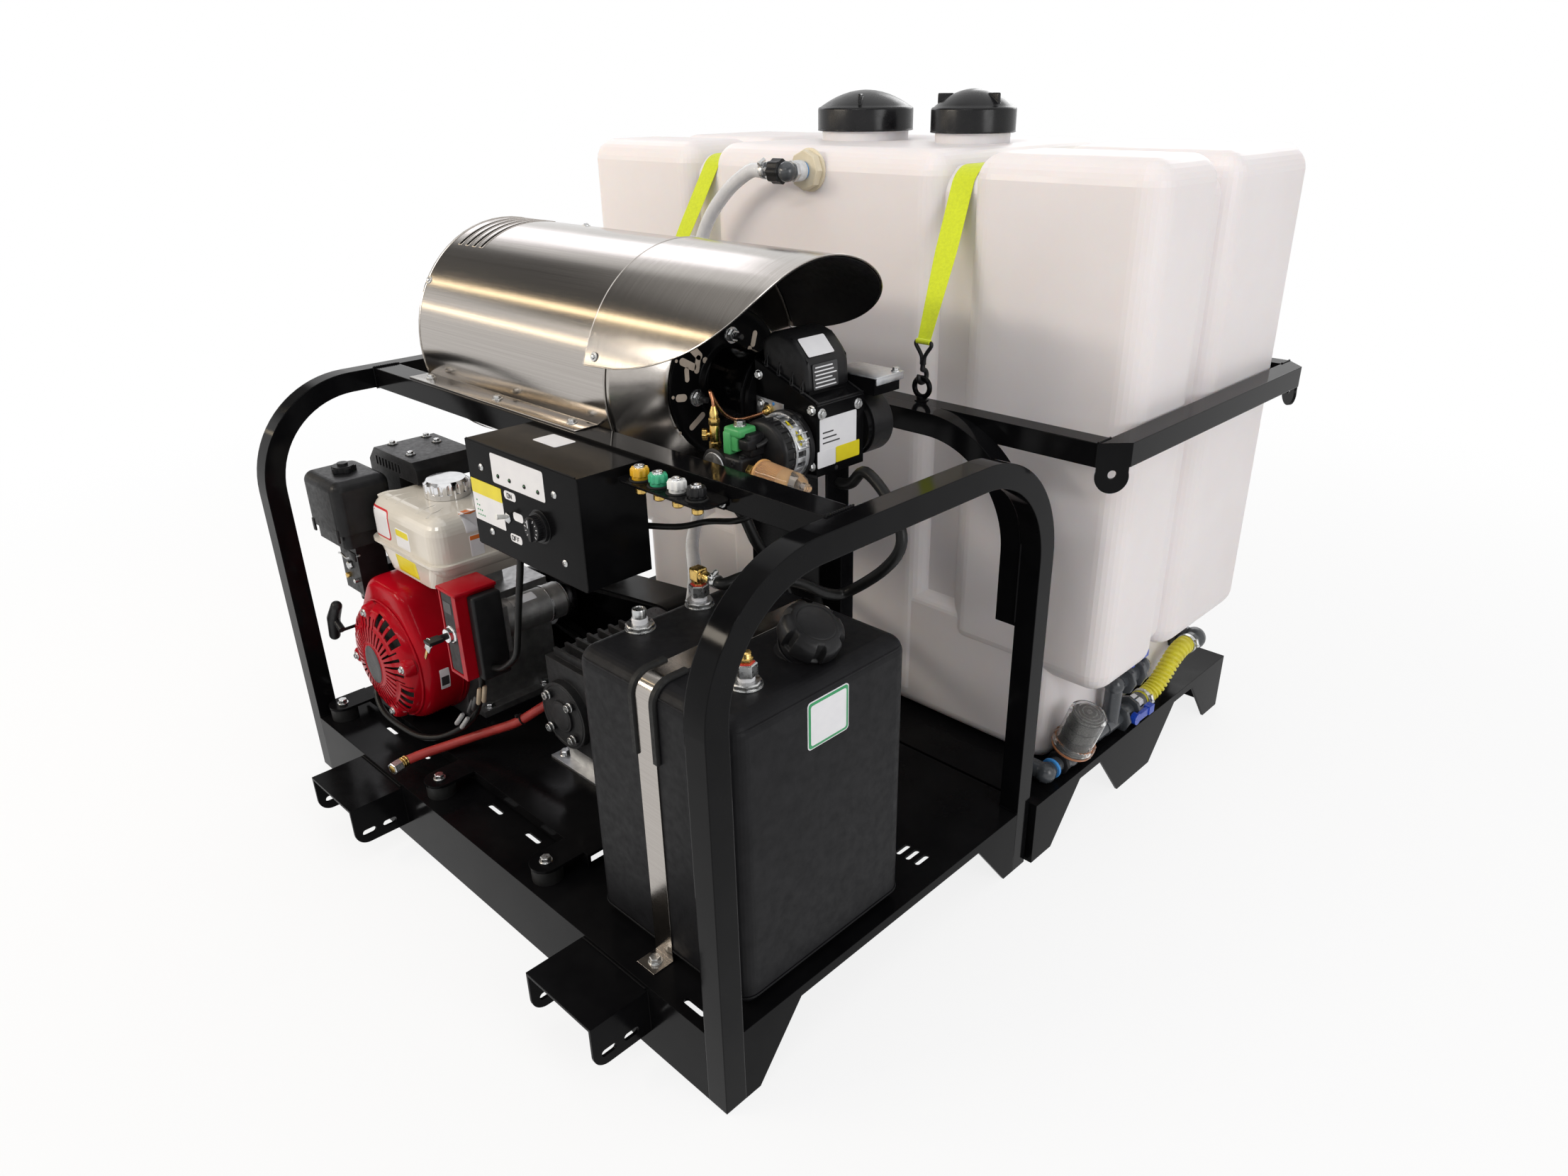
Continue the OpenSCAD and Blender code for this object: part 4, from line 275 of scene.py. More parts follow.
M = {
    "frame": mat("frame_coat", (0.003, 0.003, 0.0035), (0.005, 0.005, 0.0055), 14, (0.07, 0.12), bump=0.03,
                 grain=700, edge=0.0025, Specular_IOR_Level=0.075),
    "sheet": mat("sheet_coat", (0.003, 0.003, 0.0035), (0.006, 0.006, 0.0065), 10, (0.12, 0.22), bump=0.04,
                 grain=600, edge=0.0015, Specular_IOR_Level=0.04),
    "rubber": mat("rubber", (0.008, 0.008, 0.008), (0.014, 0.014, 0.014), 60, (0.45, 0.65), bump=0.2, grain=500,
                  Specular_IOR_Level=0.22),
    "zinc": mat("zinc", (0.62, 0.63, 0.64), (0.48, 0.48, 0.47), 70, (0.22, 0.38), 1.0, 0.05, 500, edge=0.0008),
    "galv": mat("galvanised", (0.62, 0.63, 0.64), (0.45, 0.46, 0.48), 45, (0.3, 0.5), 1.0, 0.08, 300, edge=0.001),
    "alloy": mat("cast_alloy", (0.42, 0.42, 0.42), (0.27, 0.27, 0.27), 35, (0.35, 0.55), 0.9, 0.25, 500, edge=0.002),
    "dark_alloy": mat("dark_alloy", (0.05, 0.05, 0.052), (0.03, 0.03, 0.03), 30, (0.35, 0.5), 0.3, 0.2, 500,
                      edge=0.002),
    "red": mat("engine_red", (0.42, 0.003, 0.012), (0.33, 0.002, 0.008), 12, (0.14, 0.22), bump=0.02, grain=700,
               edge=0.0025, Specular_IOR_Level=0.1, Coat_Weight=0.05, Coat_Roughness=0.06),
    "pearl": mat("pearl_cream", (0.72, 0.68, 0.61), (0.67, 0.63, 0.56), 9, (0.14, 0.22), bump=0.02, grain=600,
                 edge=0.002, Coat_Weight=0.5, Coat_Roughness=0.06),
    "chrome": mat("chrome", (0.82, 0.82, 0.83), (0.7, 0.7, 0.71), 30, (0.05, 0.12), 1.0, 0.01, 400, edge=0.0008),
    "plastic": mat("black_plastic", (0.008, 0.008, 0.009), (0.014, 0.014, 0.015), 40, (0.30, 0.46), bump=0.14,
                   grain=900, edge=0.002, Specular_IOR_Level=0.22),
    "steel": mat("machined_steel", (0.5, 0.5, 0.51), (0.36, 0.36, 0.37), 60, (0.25, 0.4), 1.0, 0.05, 500),
    "pump": mat("pump_casting", (0.024, 0.0245, 0.026), (0.014, 0.014, 0.015), 40, (0.4, 0.58), 0.2, 0.35, 450,
                edge=0.002, Specular_IOR_Level=0.3),
    "brass": mat("brass", (0.72, 0.50, 0.17), (0.58, 0.38, 0.11), 60, (0.2, 0.36), 1.0, 0.06, 500, edge=0.0008),
    "copper": mat("copper", (0.65, 0.31, 0.17), (0.46, 0.20, 0.10), 40, (0.2, 0.35), 1.0, 0.04, 400),
    "poly": mat("diesel_poly", (0.005, 0.005, 0.006), (0.009, 0.009, 0.0105), 26, (0.40, 0.56), bump=0.22, grain=700,
                edge=0.003, Specular_IOR_Level=0.13),
    "tank": mat("water_poly", (0.86, 0.815, 0.82), (0.82, 0.77, 0.77), 3.2, (0.34, 0.46), bump=0.05, grain=160,
                Specular_IOR_Level=0.35, Subsurface_Weight=0.35, Subsurface_Radius=(0.05, 0.035, 0.025),
                Subsurface_Scale=0.5),
    "stainless": mat("brushed_stainless", (0.46, 0.43, 0.40), (0.40, 0.37, 0.34), 60, (0.14, 0.20), 1.0, 0.035, 300,
                     stretch=(0.03, 9, 9), edge=0.0006, Anisotropic=0.3),
    "pvc": mat("grey_pvc", (0.062, 0.068, 0.076), (0.045, 0.05, 0.056), 30, (0.18, 0.28), bump=0.05,
               grain=400, edge=0.001),
    "blue": mat("blue_lever", (0.012, 0.07, 0.55), (0.01, 0.05, 0.42), 40, (0.25, 0.35), bump=0.05, grain=400,
                edge=0.001),
    "clear": mat("clear_bowl", (0.93, 0.93, 0.92), (0.88, 0.88, 0.87), 30, (0.03, 0.07), bump=0.01, grain=200,
                 Transmission_Weight=0.97, IOR=1.22),
    "hose_yellow": mat("hose_yellow", (0.78, 0.72, 0.05), (0.68, 0.60, 0.04), 40, (0.3, 0.42), bump=0.05, grain=500),
    "hose_clear": mat("hose_clear", (0.80, 0.80, 0.82), (0.72, 0.73, 0.76), 60, (0.18, 0.28), bump=0.05, grain=400,
                      Transmission_Weight=0.12, IOR=1.3),
    "hose_red": mat("hose_red", (0.42, 0.035, 0.03), (0.32, 0.025, 0.02), 50, (0.35, 0.5), bump=0.15, grain=600),
    "hose_black": mat("hose_black", (0.005, 0.005, 0.005), (0.010, 0.010, 0.010), 50, (0.28, 0.44), bump=0.1, grain=600,
                      Specular_IOR_Level=0.22),
    "noz_yellow": mat("noz_yellow", (0.80, 0.46, 0.02), (0.66, 0.36, 0.02), 60, (0.25, 0.35), edge=0.0006),
    "noz_green": mat("noz_green", (0.05, 0.45, 0.24), (0.04, 0.36, 0.19), 60, (0.25, 0.35), edge=0.0006),
    "noz_white": mat("noz_white", (0.86, 0.86, 0.85), (0.78, 0.78, 0.76), 60, (0.25, 0.35), edge=0.0006),
    "webbing": weave(mat("webbing", (0.72, 0.82, 0.0), (0.62, 0.72, 0.0), 200, (0.55, 0.7), Sheen_Weight=0.2)),
    "white_plate": mat("white_plate", (0.80, 0.80, 0.82), (0.76, 0.76, 0.79), 40, (0.28, 0.38)),
    "yellow_plate": mat("yellow_plate", (0.80, 0.68, 0.01), (0.74, 0.62, 0.01), 40, (0.28, 0.38)),
    "red_trim": mat("red_trim", (0.62, 0.02, 0.03), (0.52, 0.015, 0.02), 60, (0.3, 0.4)),
    "orange_plate": mat("orange_plate", (0.78, 0.20, 0.03), (0.70, 0.16, 0.02), 40, (0.3, 0.4)),
    "green_trim": mat("green_trim", (0.02, 0.32, 0.11), (0.015, 0.26, 0.09), 60, (0.3, 0.4)),
    "badge": mat("badge_grey", (0.03, 0.03, 0.032), (0.045, 0.045, 0.048), 80, (0.3, 0.42), bump=0.1, grain=900),
    "solenoid": mat("solenoid_green", (0.08, 0.42, 0.14), (0.06, 0.34, 0.10), 50, (0.35, 0.45), bump=0.08, grain=700,
                    edge=0.001),
    "amber": mat("filter_paper", (0.66, 0.36, 0.12), (0.55, 0.28, 0.09), 60, (0.5, 0.65), bump=0.3, grain=300),
    "smoke": mat("clear_cap", (0.90, 0.89, 0.86), (0.84, 0.83, 0.80), 40, (0.05, 0.12),
                 Transmission_Weight=0.93, IOR=1.2),
    "tape": mat("thread_tape", (0.05, 0.30, 0.70), (0.04, 0.22, 0.58), 90, (0.45, 0.6), bump=0.4, grain=500),
    "o_ring": mat("o_ring", (0.52, 0.19, 0.06), (0.42, 0.14, 0.04), 70, (0.35, 0.5)),
    "cream": mat("cream_nut", (0.74, 0.66, 0.50), (0.68, 0.60, 0.44), 40, (0.35, 0.5), Subsurface_Weight=0.2,
                 Subsurface_Radius=(0.01, 0.008, 0.005)),
    "mesh": mat("strainer_mesh", (0.17, 0.165, 0.16), (0.05, 0.05, 0.05), 380, (0.3, 0.45), 0.7, 0.9, 900),
    "board": mat("insulation_board", (0.62, 0.53, 0.44), (0.52, 0.43, 0.35), 45, (0.7, 0.85), bump=0.2, grain=300),
    "tan_sleeve": mat("tan_sleeve", (0.42, 0.34, 0.25), (0.34, 0.27, 0.19), 70, (0.45, 0.6), bump=0.1, grain=500),
    "grey_sleeve": mat("grey_sleeve", (0.42, 0.42, 0.43), (0.30, 0.30, 0.31), 70, (0.45, 0.6), bump=0.1, grain=500),
    "hood_steel": mat("hood_steel", (0.50, 0.47, 0.44), (0.44, 0.41, 0.38), 60, (0.14, 0.20), 1.0, 0.03, 300,
                      stretch=(9, 0.03, 0.03), edge=0.0006, Anisotropic=0.2),
    "white_tape": mat("white_tape", (0.72, 0.73, 0.75), (0.56, 0.58, 0.60), 120, (0.35, 0.5), bump=0.4, grain=300),
    # Flat black: painted shade behind openings, in slots and recesses and between ribs; also the panel's black letters
    # and small black parts.
    "inside": mat("flat_black_and_painted_shade", (0.004, 0.004, 0.004), (0.008, 0.008, 0.008), 50, (0.7, 0.9)),
    "lid": mat("lid_plastic", (0.006, 0.006, 0.007), (0.010, 0.010, 0.011), 30, (0.20, 0.30), bump=0.04, grain=700,
               edge=0.002, Specular_IOR_Level=0.25),
    "drip": mat("white_toggle", (0.78, 0.78, 0.76), (0.70, 0.70, 0.68), 80, (0.3, 0.4), edge=0.0005),
}

CAD_FINISH = {
    "frame": "side_hoops rear_hoop front_rail tank_cage burner_column",
    "sheet": "machine_base engine_plate belt_guard control_box nozzle_rack tank_base burner_plate burner_housing",
    "rubber": "rubber_isolators drive_belts",
    "zinc": "fasteners diesel_fittings",
    "alloy": "engine_block",
    "dark_alloy": "burner_motor",
    "red": "fan_cover recoil_cover key_box",
    "pearl": "engine_fuel_tank",
    "chrome": "engine_fuel_cap",
    "plastic": "recoil_grip air_cleaner_base air_cleaner_cover air_cleaner_knob muffler_guard ignition_key diesel_cap "
               "thermostat_knob nozzle_black air_shutter",
    "steel": "crankshaft pump_shaft heating_coil",
    "pump": "pump_crankcase",
    "brass": "pump_manifold",
    "galv": "pump_bracket",
    "poly": "diesel_tank",
    "stainless": "diesel_strap coil_shell wind_hood",
    "tank": "water_tank",
    "pvc": "tank_fittings",
    "blue": "valve_handle_upper valve_handle_lower",
    "clear": "strainer_bowl",
    "noz_yellow": "nozzle_yellow",
    "noz_green": "nozzle_green",
    "noz_white": "nozzle_white",
    "drip": "burner_switch",
}
for finish, names in CAD_FINISH.items():
    for name in names.split():
        mesh = NODES[name].data
        mesh.materials.clear()
        mesh.materials.append(M[finish])

# Cords


def eased(points, steps):
    """The source's own smoothing of a route: a Catmull-Rom curve through its points."""
    out = []
    last = len(points) - 1
    for i in range(last):
        a, b = Vector(points[max(i - 1, 0)]), Vector(points[i])
        c, d = Vector(points[i + 1]), Vector(points[min(i + 2, last)])
        for j in range(steps):
            t = j / steps
            out.append(0.5 * (2 * b + (c - a) * t + (2 * a - 5 * b + 4 * c - d) * t * t
                              + (3 * b - a - 3 * c + d) * t ** 3))
    return out + [Vector(points[last])]


def run_length(points):
    return sum((b - a).length for a, b in zip(points, points[1:]))


def cord(name, route, radius, finish, stands_for, with_pieces=()):
    points = [place(p) for p in eased(route, 6)]
    curve = bpy.data.curves.new(name, "CURVE")
    curve.dimensions = "3D"
    curve.bevel_depth = radius / 1000
    curve.bevel_resolution = 5
    curve.use_fill_caps = True
    spline = curve.splines.new("POLY")
    spline.points.add(len(points) - 1)
    for knot, p in zip(spline.points, points):
        knot.co = (*p, 1)
    spline.use_smooth = True
    curve.materials.append(M[finish])
    obj = bpy.data.objects.new(name, curve)
    SCENE.collection.objects.link(obj)
    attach(obj, "skid")
    if stands_for:
        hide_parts(stands_for)
    tuple(points[0])
    run_length(points)


BYPASS = [(584.9, 805, 1165), (567.5, 805, 1165), (533.5, 806, 1161), (470, 808, 1125), (410, 810, 1069),
          (372, 811, 1000), (360, 812, 930), (360, 812, 860), (360, 812, 760), (364, 810, 640), (400, 778, 545),
          (480, 680, 500), (590, 570, 500), (700, 480, 490), (772, 400, 455), (800, 330, 425), (800, 321, 400),
          (800, 320, 384), (800, 320, 370.6)]
DRAIN = [(591.4, 250, 285), (580, 250, 285), (568, 249, 283), (542, 225, 262), (500, 190, 226), (440, 150, 194),
         (402, 100, 176), (382, 55, 169), (372, 22, 164)]
FUEL_LOOP = [(1035.6, 500.6, 748), (1047, 500.6, 748), (1063, 501.6, 754), (1090, 502.6, 776), (1144, 494.6, 744),
             (1177, 484.6, 694), (1155, 474.6, 646), (1089, 462.6, 590), (1080, 425, 598), (1072, 370, 632),
             (1040, 310, 654), (1024, 268, 650), (1010, 265, 650), (998.6, 265, 650)]
FUEL_RETURN = [(933, 362.6, 764.4), (933, 362.6, 751), (933, 363.6, 737), (952, 376.6, 705), (964, 392, 658),
               (970, 427, 608), (980, 443, 555), (985, 435, 502), (985, 419, 490), (985, 405.6, 490)]
BURNER_WIRE = [(818, 235, 700), (878, 299, 691), (915, 335.6, 699), (980, 344.6, 716), (985, 390.6, 730),
               (985, 416.6, 748), (985, 416.6, 761.4)]
CONTROL = [(664, 150, 635.4), (663, 150, 616), (650, 151, 574), (632, 152, 516), (618, 152, 464), (602, 152, 421),
           (558, 152, 383), (526, 152, 369), (508, 152, 365), (494.6, 152, 365)]
LOOM = [(466, 152, 344.4), (466, 152, 327), (464, 151, 305), (450, 144, 259), (430, 135, 226), (400, 119, 198),
        (366, 98, 178), (322, 80, 169), (264, 73, 168), (206, 73, 168), (170, 76, 176), (148, 82, 190), (138, 90, 199),
        (136, 99.4, 200)]
SOLENOID = [(1003, 424, 852), (1003, 416, 851), (1001, 405, 845), (997, 392, 836), (993, 381, 829), (990, 370, 826)]
SUCTION = [(1275, 1357.4, 222), (1275, 1338, 222), (1275, 1319, 222), (1273, 1291, 208), (1268, 1246, 166),
           (1263, 1218, 150), (1263, 1200, 150), (1263, 1180.6, 150)]

# Tools for the mesh pieces


def turns(count):
    """The angles of count equal steps round a circle."""
    return [2 * math.pi * i / count for i in range(count)]


def ring(centre, u, w, radius, count, waves=0, flute=0.0):
    """Points round a centre in the plane of u and w; a flute above 0 waves the radius in and out."""
    return [centre + radius * (1 - flute + flute * math.cos(waves * a)) * (math.cos(a) * u + math.sin(a) * w)
            for a in turns(count)]


def square_to(axis):
    """An axis as a unit vector, with two more square to it."""
    axis = Vector(axis).normalized()
    u = axis.orthogonal().normalized()
    return axis, u, axis.cross(u)


def frames(path):
    """Each point of a path with two directions square to the path, which don't twist along it."""
    side = None
    for i, p in enumerate(path):
        ahead = (path[min(i + 1, len(path) - 1)] - path[max(i - 1, 0)]).normalized()
        side = ahead.orthogonal() if side is None else side - ahead * side.dot(ahead)
        side.normalize()
        yield p, side, ahead.cross(side)


def rounded(w, h, r, corner=5):
    """The outline of a w by h rectangle with rounded corners, counter-clockwise from its lower right."""
    out = []
    for cx, cy, start in ((w - r, r, -90), (w - r, h - r, 0), (r, h - r, 90), (r, r, 180)):
        for i in range(corner + 1):
            a = math.radians(start + 90 * i / corner)
            out.append((cx + r * math.cos(a), cy + r * math.sin(a)))
    return out


class Piece:
    """One mesh piece of the picture, made in the source's millimetres from lathed, lofted and bevelled parts."""

    def __init__(self, name, slot, body="skid", stands_for=()):
        self.name, self.slot, self.body, self.stands_for = name, slot, body, stands_for
        self.bm = bmesh.new()
        self.finishes = []

    def index(self, finish):
        if finish not in self.finishes:
            self.finishes.append(finish)
        return self.finishes.index(finish)

    def loft(self, rings, finish, ends=True):
        """Joins rings of equal point counts with quads and closes both ends."""
        k = self.index(finish)
        rows = [[self.bm.verts.new(p) for p in row] for row in rings]
        count = len(rows[0])
        for a, b in zip(rows, rows[1:]):
            for i in range(count):
                j = (i + 1) % count
                self.bm.faces.new((a[i], a[j], b[j], b[i])).material_index = k
        if ends:
            self.bm.faces.new(rows[0][::-1]).material_index = k
            self.bm.faces.new(rows[-1]).material_index = k

    def join(self):
        """Joins points that lie on each other, such as the two ends of a closed loft."""
        bmesh.ops.remove_doubles(self.bm, verts=self.bm.verts, dist=0.001)

    def sheet(self, rows, finish, thick, wall=lambda i, j: True, wrap=False, cap=False):
        """A thin sheet through rows of points; wall says which faces are there and cap closes the first row."""
        grid = [[self.bm.verts.new(q) for q in row] for row in rows]
        count = len(grid[0])
        made = []
        for i, (row, beyond) in enumerate(zip(grid, grid[1:])):
            for j in range(count if wrap else count - 1):
                if wall(i, j):
                    n = (j + 1) % count
                    made.append(self.bm.faces.new((row[j], row[n], beyond[n], beyond[j])))
        if cap:
            made.append(self.bm.faces.new(grid[0]))
        k = self.index(finish)
        for face in made:
            face.material_index = k
        bmesh.ops.recalc_face_normals(self.bm, faces=made)
        bmesh.ops.solidify(self.bm, geom=made, thickness=thick)

    def lathe(self, at, axis, profile, finish, sides):
        """Turns (radius, height) pairs round an axis; a sides of 6 gives a hexagon."""
        axis, u, w = square_to(axis)
        self.loft([ring(Vector(at) + axis * height, u, w, max(radius, 0.05), sides) for radius, height in profile],
                  finish)

    def stack(self, at, axis, *parts):
        """Lathed parts on one axis, each given as its start along the axis, its sides, finish and profile."""
        axis = Vector(axis).normalized()
        for start, sides, finish, *profile in parts:
            self.lathe(Vector(at) + axis * start, axis, profile, finish, sides)

    def torus(self, at, axis, big, small, finish, sides=40, wire=12):
        """A closed ring of round wire."""
        axis, u, w = square_to(axis)
        spokes = [math.cos(a) * u + math.sin(a) * w for a in turns(sides)]
        self.loft([ring(Vector(at) + big * spoke, spoke, axis, small, wire) for spoke in spokes + spokes[:1]],
                  finish, ends=False)
        self.join()

    def rod(self, points, radius, finish, sides=12, steps=0):
        """A round bar along points; steps above 0 rounds the route, and radius may be one number or a function."""
        path = eased(points, steps) if steps else [Vector(p) for p in points]
        rings = []
        for i, (p, side, other) in enumerate(frames(path)):
            r = radius(i / (len(path) - 1)) if callable(radius) else radius
            rings.append(ring(p, side, other, r, sides))
        self.loft(rings, finish)

    def block(self, lo, hi, finish, bevel, segments=2, spin=None, about=None):
        """A box with rounded edges, turned by a matrix about a point if one is given."""
        lo, hi = Vector(lo), Vector(hi)
        made = bmesh.ops.create_cube(self.bm, size=1.0)["verts"]
        for v in made:
            v.co = Vector(((lo + hi)[i] / 2 + v.co[i] * (hi - lo)[i] for i in range(3)))
        faces = {f for v in made for f in v.link_faces}
        k = self.index(finish)
        for f in faces:
            f.material_index = k
        edges = {e for v in made for e in v.link_edges}
        done = bmesh.ops.bevel(self.bm, geom=list(edges), offset=bevel, segments=segments, profile=0.5,
                               affect="EDGES", clamp_overlap=True)
        faces = {f for f in faces if f.is_valid} | set(done["faces"])
        for f in faces:
            f.material_index = k
        if spin is not None:
            pivot = Vector(about)
            for v in {v for f in faces for v in f.verts}:
                v.co = pivot + spin @ (v.co - pivot)

    def slab(self, origin, u, v, outline, thick, finish, bevel):
        """A plate with an outline in the plane of u and v, thickened along u x v, with an eased front edge."""
        u, v = Vector(u).normalized(), Vector(v).normalized()
        n = u.cross(v)
        cx, cy = (sum(p[i] for p in outline) / len(outline) for i in (0, 1))

        def edge(shrink, rise):
            out = []
            for x, y in outline:
                dx, dy = x - cx, y - cy
                k = max(0.0, 1 - shrink / (math.hypot(dx, dy) or 1.0))
                out.append(Vector(origin) + (cx + dx * k) * u + (cy + dy * k) * v + rise * n)
            return out

        self.loft([edge(0, 0), edge(0, thick - bevel), edge(bevel, thick)], finish)

    def plate(self, origin, u, v, size, r, thick, finish, bevel=0.2):
        """A slab of a width and a height with rounded corners, from its lower left corner."""
        self.slab(origin, u, v, rounded(*size, r), thick, finish, bevel)

    def hexhead(self, at, axis, radius, height, finish="zinc", washer=0.0):
        """A chamfered hexagon head on a round washer."""
        axis = Vector(axis).normalized()
        at = Vector(at)
        if washer:
            self.lathe(at, axis, [(washer, 0), (washer, 1.4), (washer - 0.6, 2.0)], finish, 24)
            at = at + axis * 2.0
        self.lathe(at, axis, [(radius, 0), (radius, height - 1.2), (radius * 0.86, height)], finish, 6)

    def weld(self, points, radius=2.6):
        """A rippled bead laid along a joint."""
        path = []
        for a, b in zip(points, points[1:]):
            a, b = Vector(a), Vector(b)
            count = max(2, int((b - a).length / 2.2))
            path += [a + (b - a) * i / count for i in range(count)]
        path.append(Vector(points[-1]))
        ripples = len(path) - 1
        self.rod(path, lambda t: radius * (0.86 + 0.14 * math.cos(math.pi * round(t * ripples))), "frame", 8)

    def worm_clamp(self, at, axis, radius, width, screw):
        """A band with a screw housing on one side."""
        axis = Vector(axis).normalized()
        at = Vector(at) - axis * width / 2
        self.lathe(at, axis, [(radius - 0.8, 0), (radius + 0.7, 0.2), (radius + 0.9, 0.8), (radius + 0.9, width - 0.8),
                              (radius + 0.7, width - 0.2), (radius - 0.8, width)], "zinc", 32)
        out = Vector(screw).normalized()
        self.stack(at + axis * width / 2 + out * (radius + 3.4), axis.cross(out),
                   (-8, 14, "zinc", (3.4, 0), (3.9, 0.6), (3.9, 12), (3.2, 12.6)),
                   (4.6, 6, "zinc", (4.2, 0), (4.2, 4), (3.4, 4.6)))

    def decal(self, cad, origin, u, v, size, r, finish, lift):
        """A thin plate laid on a CAD node's surface, square to u and v from its lower left corner."""
        u, v = Vector(u).normalized(), Vector(v).normalized()
        n = u.cross(v)
        w, h = size
        outline = []
        corners = rounded(w, h, r)
        for a, b in zip(corners, corners[1:] + corners[:1]):
            count = max(1, int(math.dist(a, b) / 7))
            outline += [(a[0] + (b[0] - a[0]) * i / count, a[1] + (b[1] - a[1]) * i / count) for i in range(count)]

        def drop(x, y, rise):
            flat = Vector(origin) + x * u + y * v
            hit = surface(cad, flat + n * 40, -n)
            if hit is not None and (hit - flat).length < 60:
                flat = hit
            return flat + n * rise

        rings = [[drop(x, y, lift - 0.6) for x, y in outline]]
        for k in (1.0, 0.985, 0.75, 0.5, 0.25, 0.03):
            rise = lift if k < 1 else lift - 0.15
            rings.append([drop(w / 2 + (x - w / 2) * k, h / 2 + (y - h / 2) * k, rise) for x, y in outline])
        self.loft(rings, finish)

    def done(self, smooth=32.0):
        bmesh.ops.recalc_face_normals(self.bm, faces=self.bm.faces)
        for v in self.bm.verts:
            v.co = place(v.co)
        mesh = bpy.data.meshes.new(self.name)
        self.bm.to_mesh(mesh)
        self.bm.free()
        for finish in self.finishes:
            mesh.materials.append(M[finish])
        for face in mesh.polygons:
            face.use_smooth = True
        mesh.set_sharp_from_angle(angle=math.radians(smooth))
        obj = bpy.data.objects.new(self.name, mesh)
        SCENE.collection.objects.link(obj)
        if self.body:
            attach(obj, self.body)
        if self.stands_for:
            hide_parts(*self.stands_for)
        return obj


TREES = {}


def surface(cad, start, way):
    """The first point of a CAD node that a ray meets, in the source's millimetres."""
    if cad not in TREES:
        mesh = NODES[cad].data
        TREES[cad] = BVHTree.FromPolygons([p.co for p in mesh.vertices], [f.vertices for f in mesh.polygons])
    hit = TREES[cad].ray_cast(place(start), Vector(way))[0]
    return None if hit is None else Vector((hit.x * 1000 + SKID_X, hit.y * 1000 + SKID_Y, hit.z * 1000))


def softened(points, r, n=6):
    """A closed outline with every corner rounded."""
    out = []
    for i, p in enumerate(points):
        p, before, after = Vector(p), Vector(points[i - 1]), Vector(points[(i + 1) % len(points)])
        a = p + (before - p).normalized() * min(r, (before - p).length * 0.45)
        b = p + (after - p).normalized() * min(r, (after - p).length * 0.45)
        out += [a * (1 - t) ** 2 + p * (2 * t * (1 - t)) + b * t * t for t in (k / n for k in range(n + 1))]
    return out


def turned_up(angle):
    """The way to the front, turned up by an angle in degrees."""
    a = math.radians(angle)
    return Vector((0, -math.cos(a), math.sin(a)))


def on_shell(x, angle, r=SHELL_R):
    """A point round the coil shell's axis, at an angle in degrees up from its front."""
    return Vector((x, SHELL_Y, SHELL_Z)) + r * turned_up(angle)


# Hoses


def suction_hose():
    """The ribbed suction hose: a wall with a helical rib, open at its bore."""
    path = eased(SUCTION, 34)
    pitch, sides, low, high, bore = 9.6, 24, 15.4, 20.0, 13.6
    outer, inner = [], []
    run, last = 0.0, path[0]
    for p, side, other in frames(path):
        run += (p - last).length
        last = p
        wall = []
        for t, spoke in zip(turns(sides), ring(Vector((0, 0, 0)), side, other, 1, sides)):
            crest = 0.5 + 0.5 * math.cos(2 * math.pi * run / pitch - t)
            wall.append(p + (low + (high - low) * min(1.0, 1.6 * crest)) * spoke)
        outer.append(wall)
        inner.append(ring(p, side, other, bore, sides))
    hose = Piece("suction_hose_ribbed", "hose_yellow", stands_for=("suction_hose",))
    hose.loft(outer + inner[::-1] + [outer[0]], "hose_yellow", ends=False)
    hose.join()
    hose.done(60)


def drain_end():
    """Brass ferrule and galvanised hexagon on the drain hose's free end."""
    way = Vector((math.sin(math.radians(14)), -math.cos(math.radians(14)), 0))
    end = Piece("drain_hose_end", "brass")
    end.stack(DRAIN[-1], way,
              (-3, 28, "brass", (9.6, 0), (10.5, 0.8), (10.5, 4), (9.8, 5), (10.5, 6), (10.5, 10), (9.8, 11),
               (10.5, 12), (10.5, 15), (9.0, 16)),
              (12, 6, "zinc", (10.4, 0), (12, 1.2), (12, 18.8), (10.6, 20)),
              (31, 20, "brass", (7.4, 0), (7.4, 1.2), (6.6, 1.6)))
    return end.done()


# Frame welds and fasteners

BOLTS = ([(x, y, 160, 123) for x in (70, 464.5, 808) for y in (40, 695)]
         + [(x, y, 174, 155) for x in (100, 332) for y in (230, 360)]
         + [(x, y, 165, 155) for x in (575, 812) for y in (241, 374)]
         + [(1089, y, 130, 123) for y in (39, 424)])
EYES = [(x, y) for x in (292.5, 988.5) for y in (765, 1449)]
TAIL = 14


def fasteners():
    p = Piece("bolts_and_eyes", "zinc", stands_for=("fasteners",))
    threads = [(4.3, 0)] + [q for i in range(9) for q in ((5.0, 0.8 + i * 1.4), (4.6, 1.5 + i * 1.4))]
    for x, y, top, bottom in BOLTS:
        p.lathe((x, y, bottom - TAIL), Z_UP, threads + [(5.0, top - bottom + TAIL)], "zinc", 14)
        p.hexhead((x, y, top), Z_UP, 9, 7, washer=11)
        p.lathe((x, y, bottom - 7), Z_UP, [(8.0, 0), (9, 1), (9, 6), (8.2, 7)], "zinc", 6)
    for x, y in EYES:
        p.stack((x, y, 766), Z_UP,
                (0, 14, "frame", (4.4, 0), (5, 1), (5, 54)),
                (4, 6, "frame", (8.0, 0), (9, 1), (9, 7), (8.2, 8)),
                (50, 6, "frame", (12, 0), (12, 1.6), (9, 1.7), (9, 6), (8.0, 7)),
                (54, 14, "frame", (6.2, 0), (5.4, 3)))
        p.torus((x, y, 839), Y_UP, 16, 4.5, "frame")
    p.done()


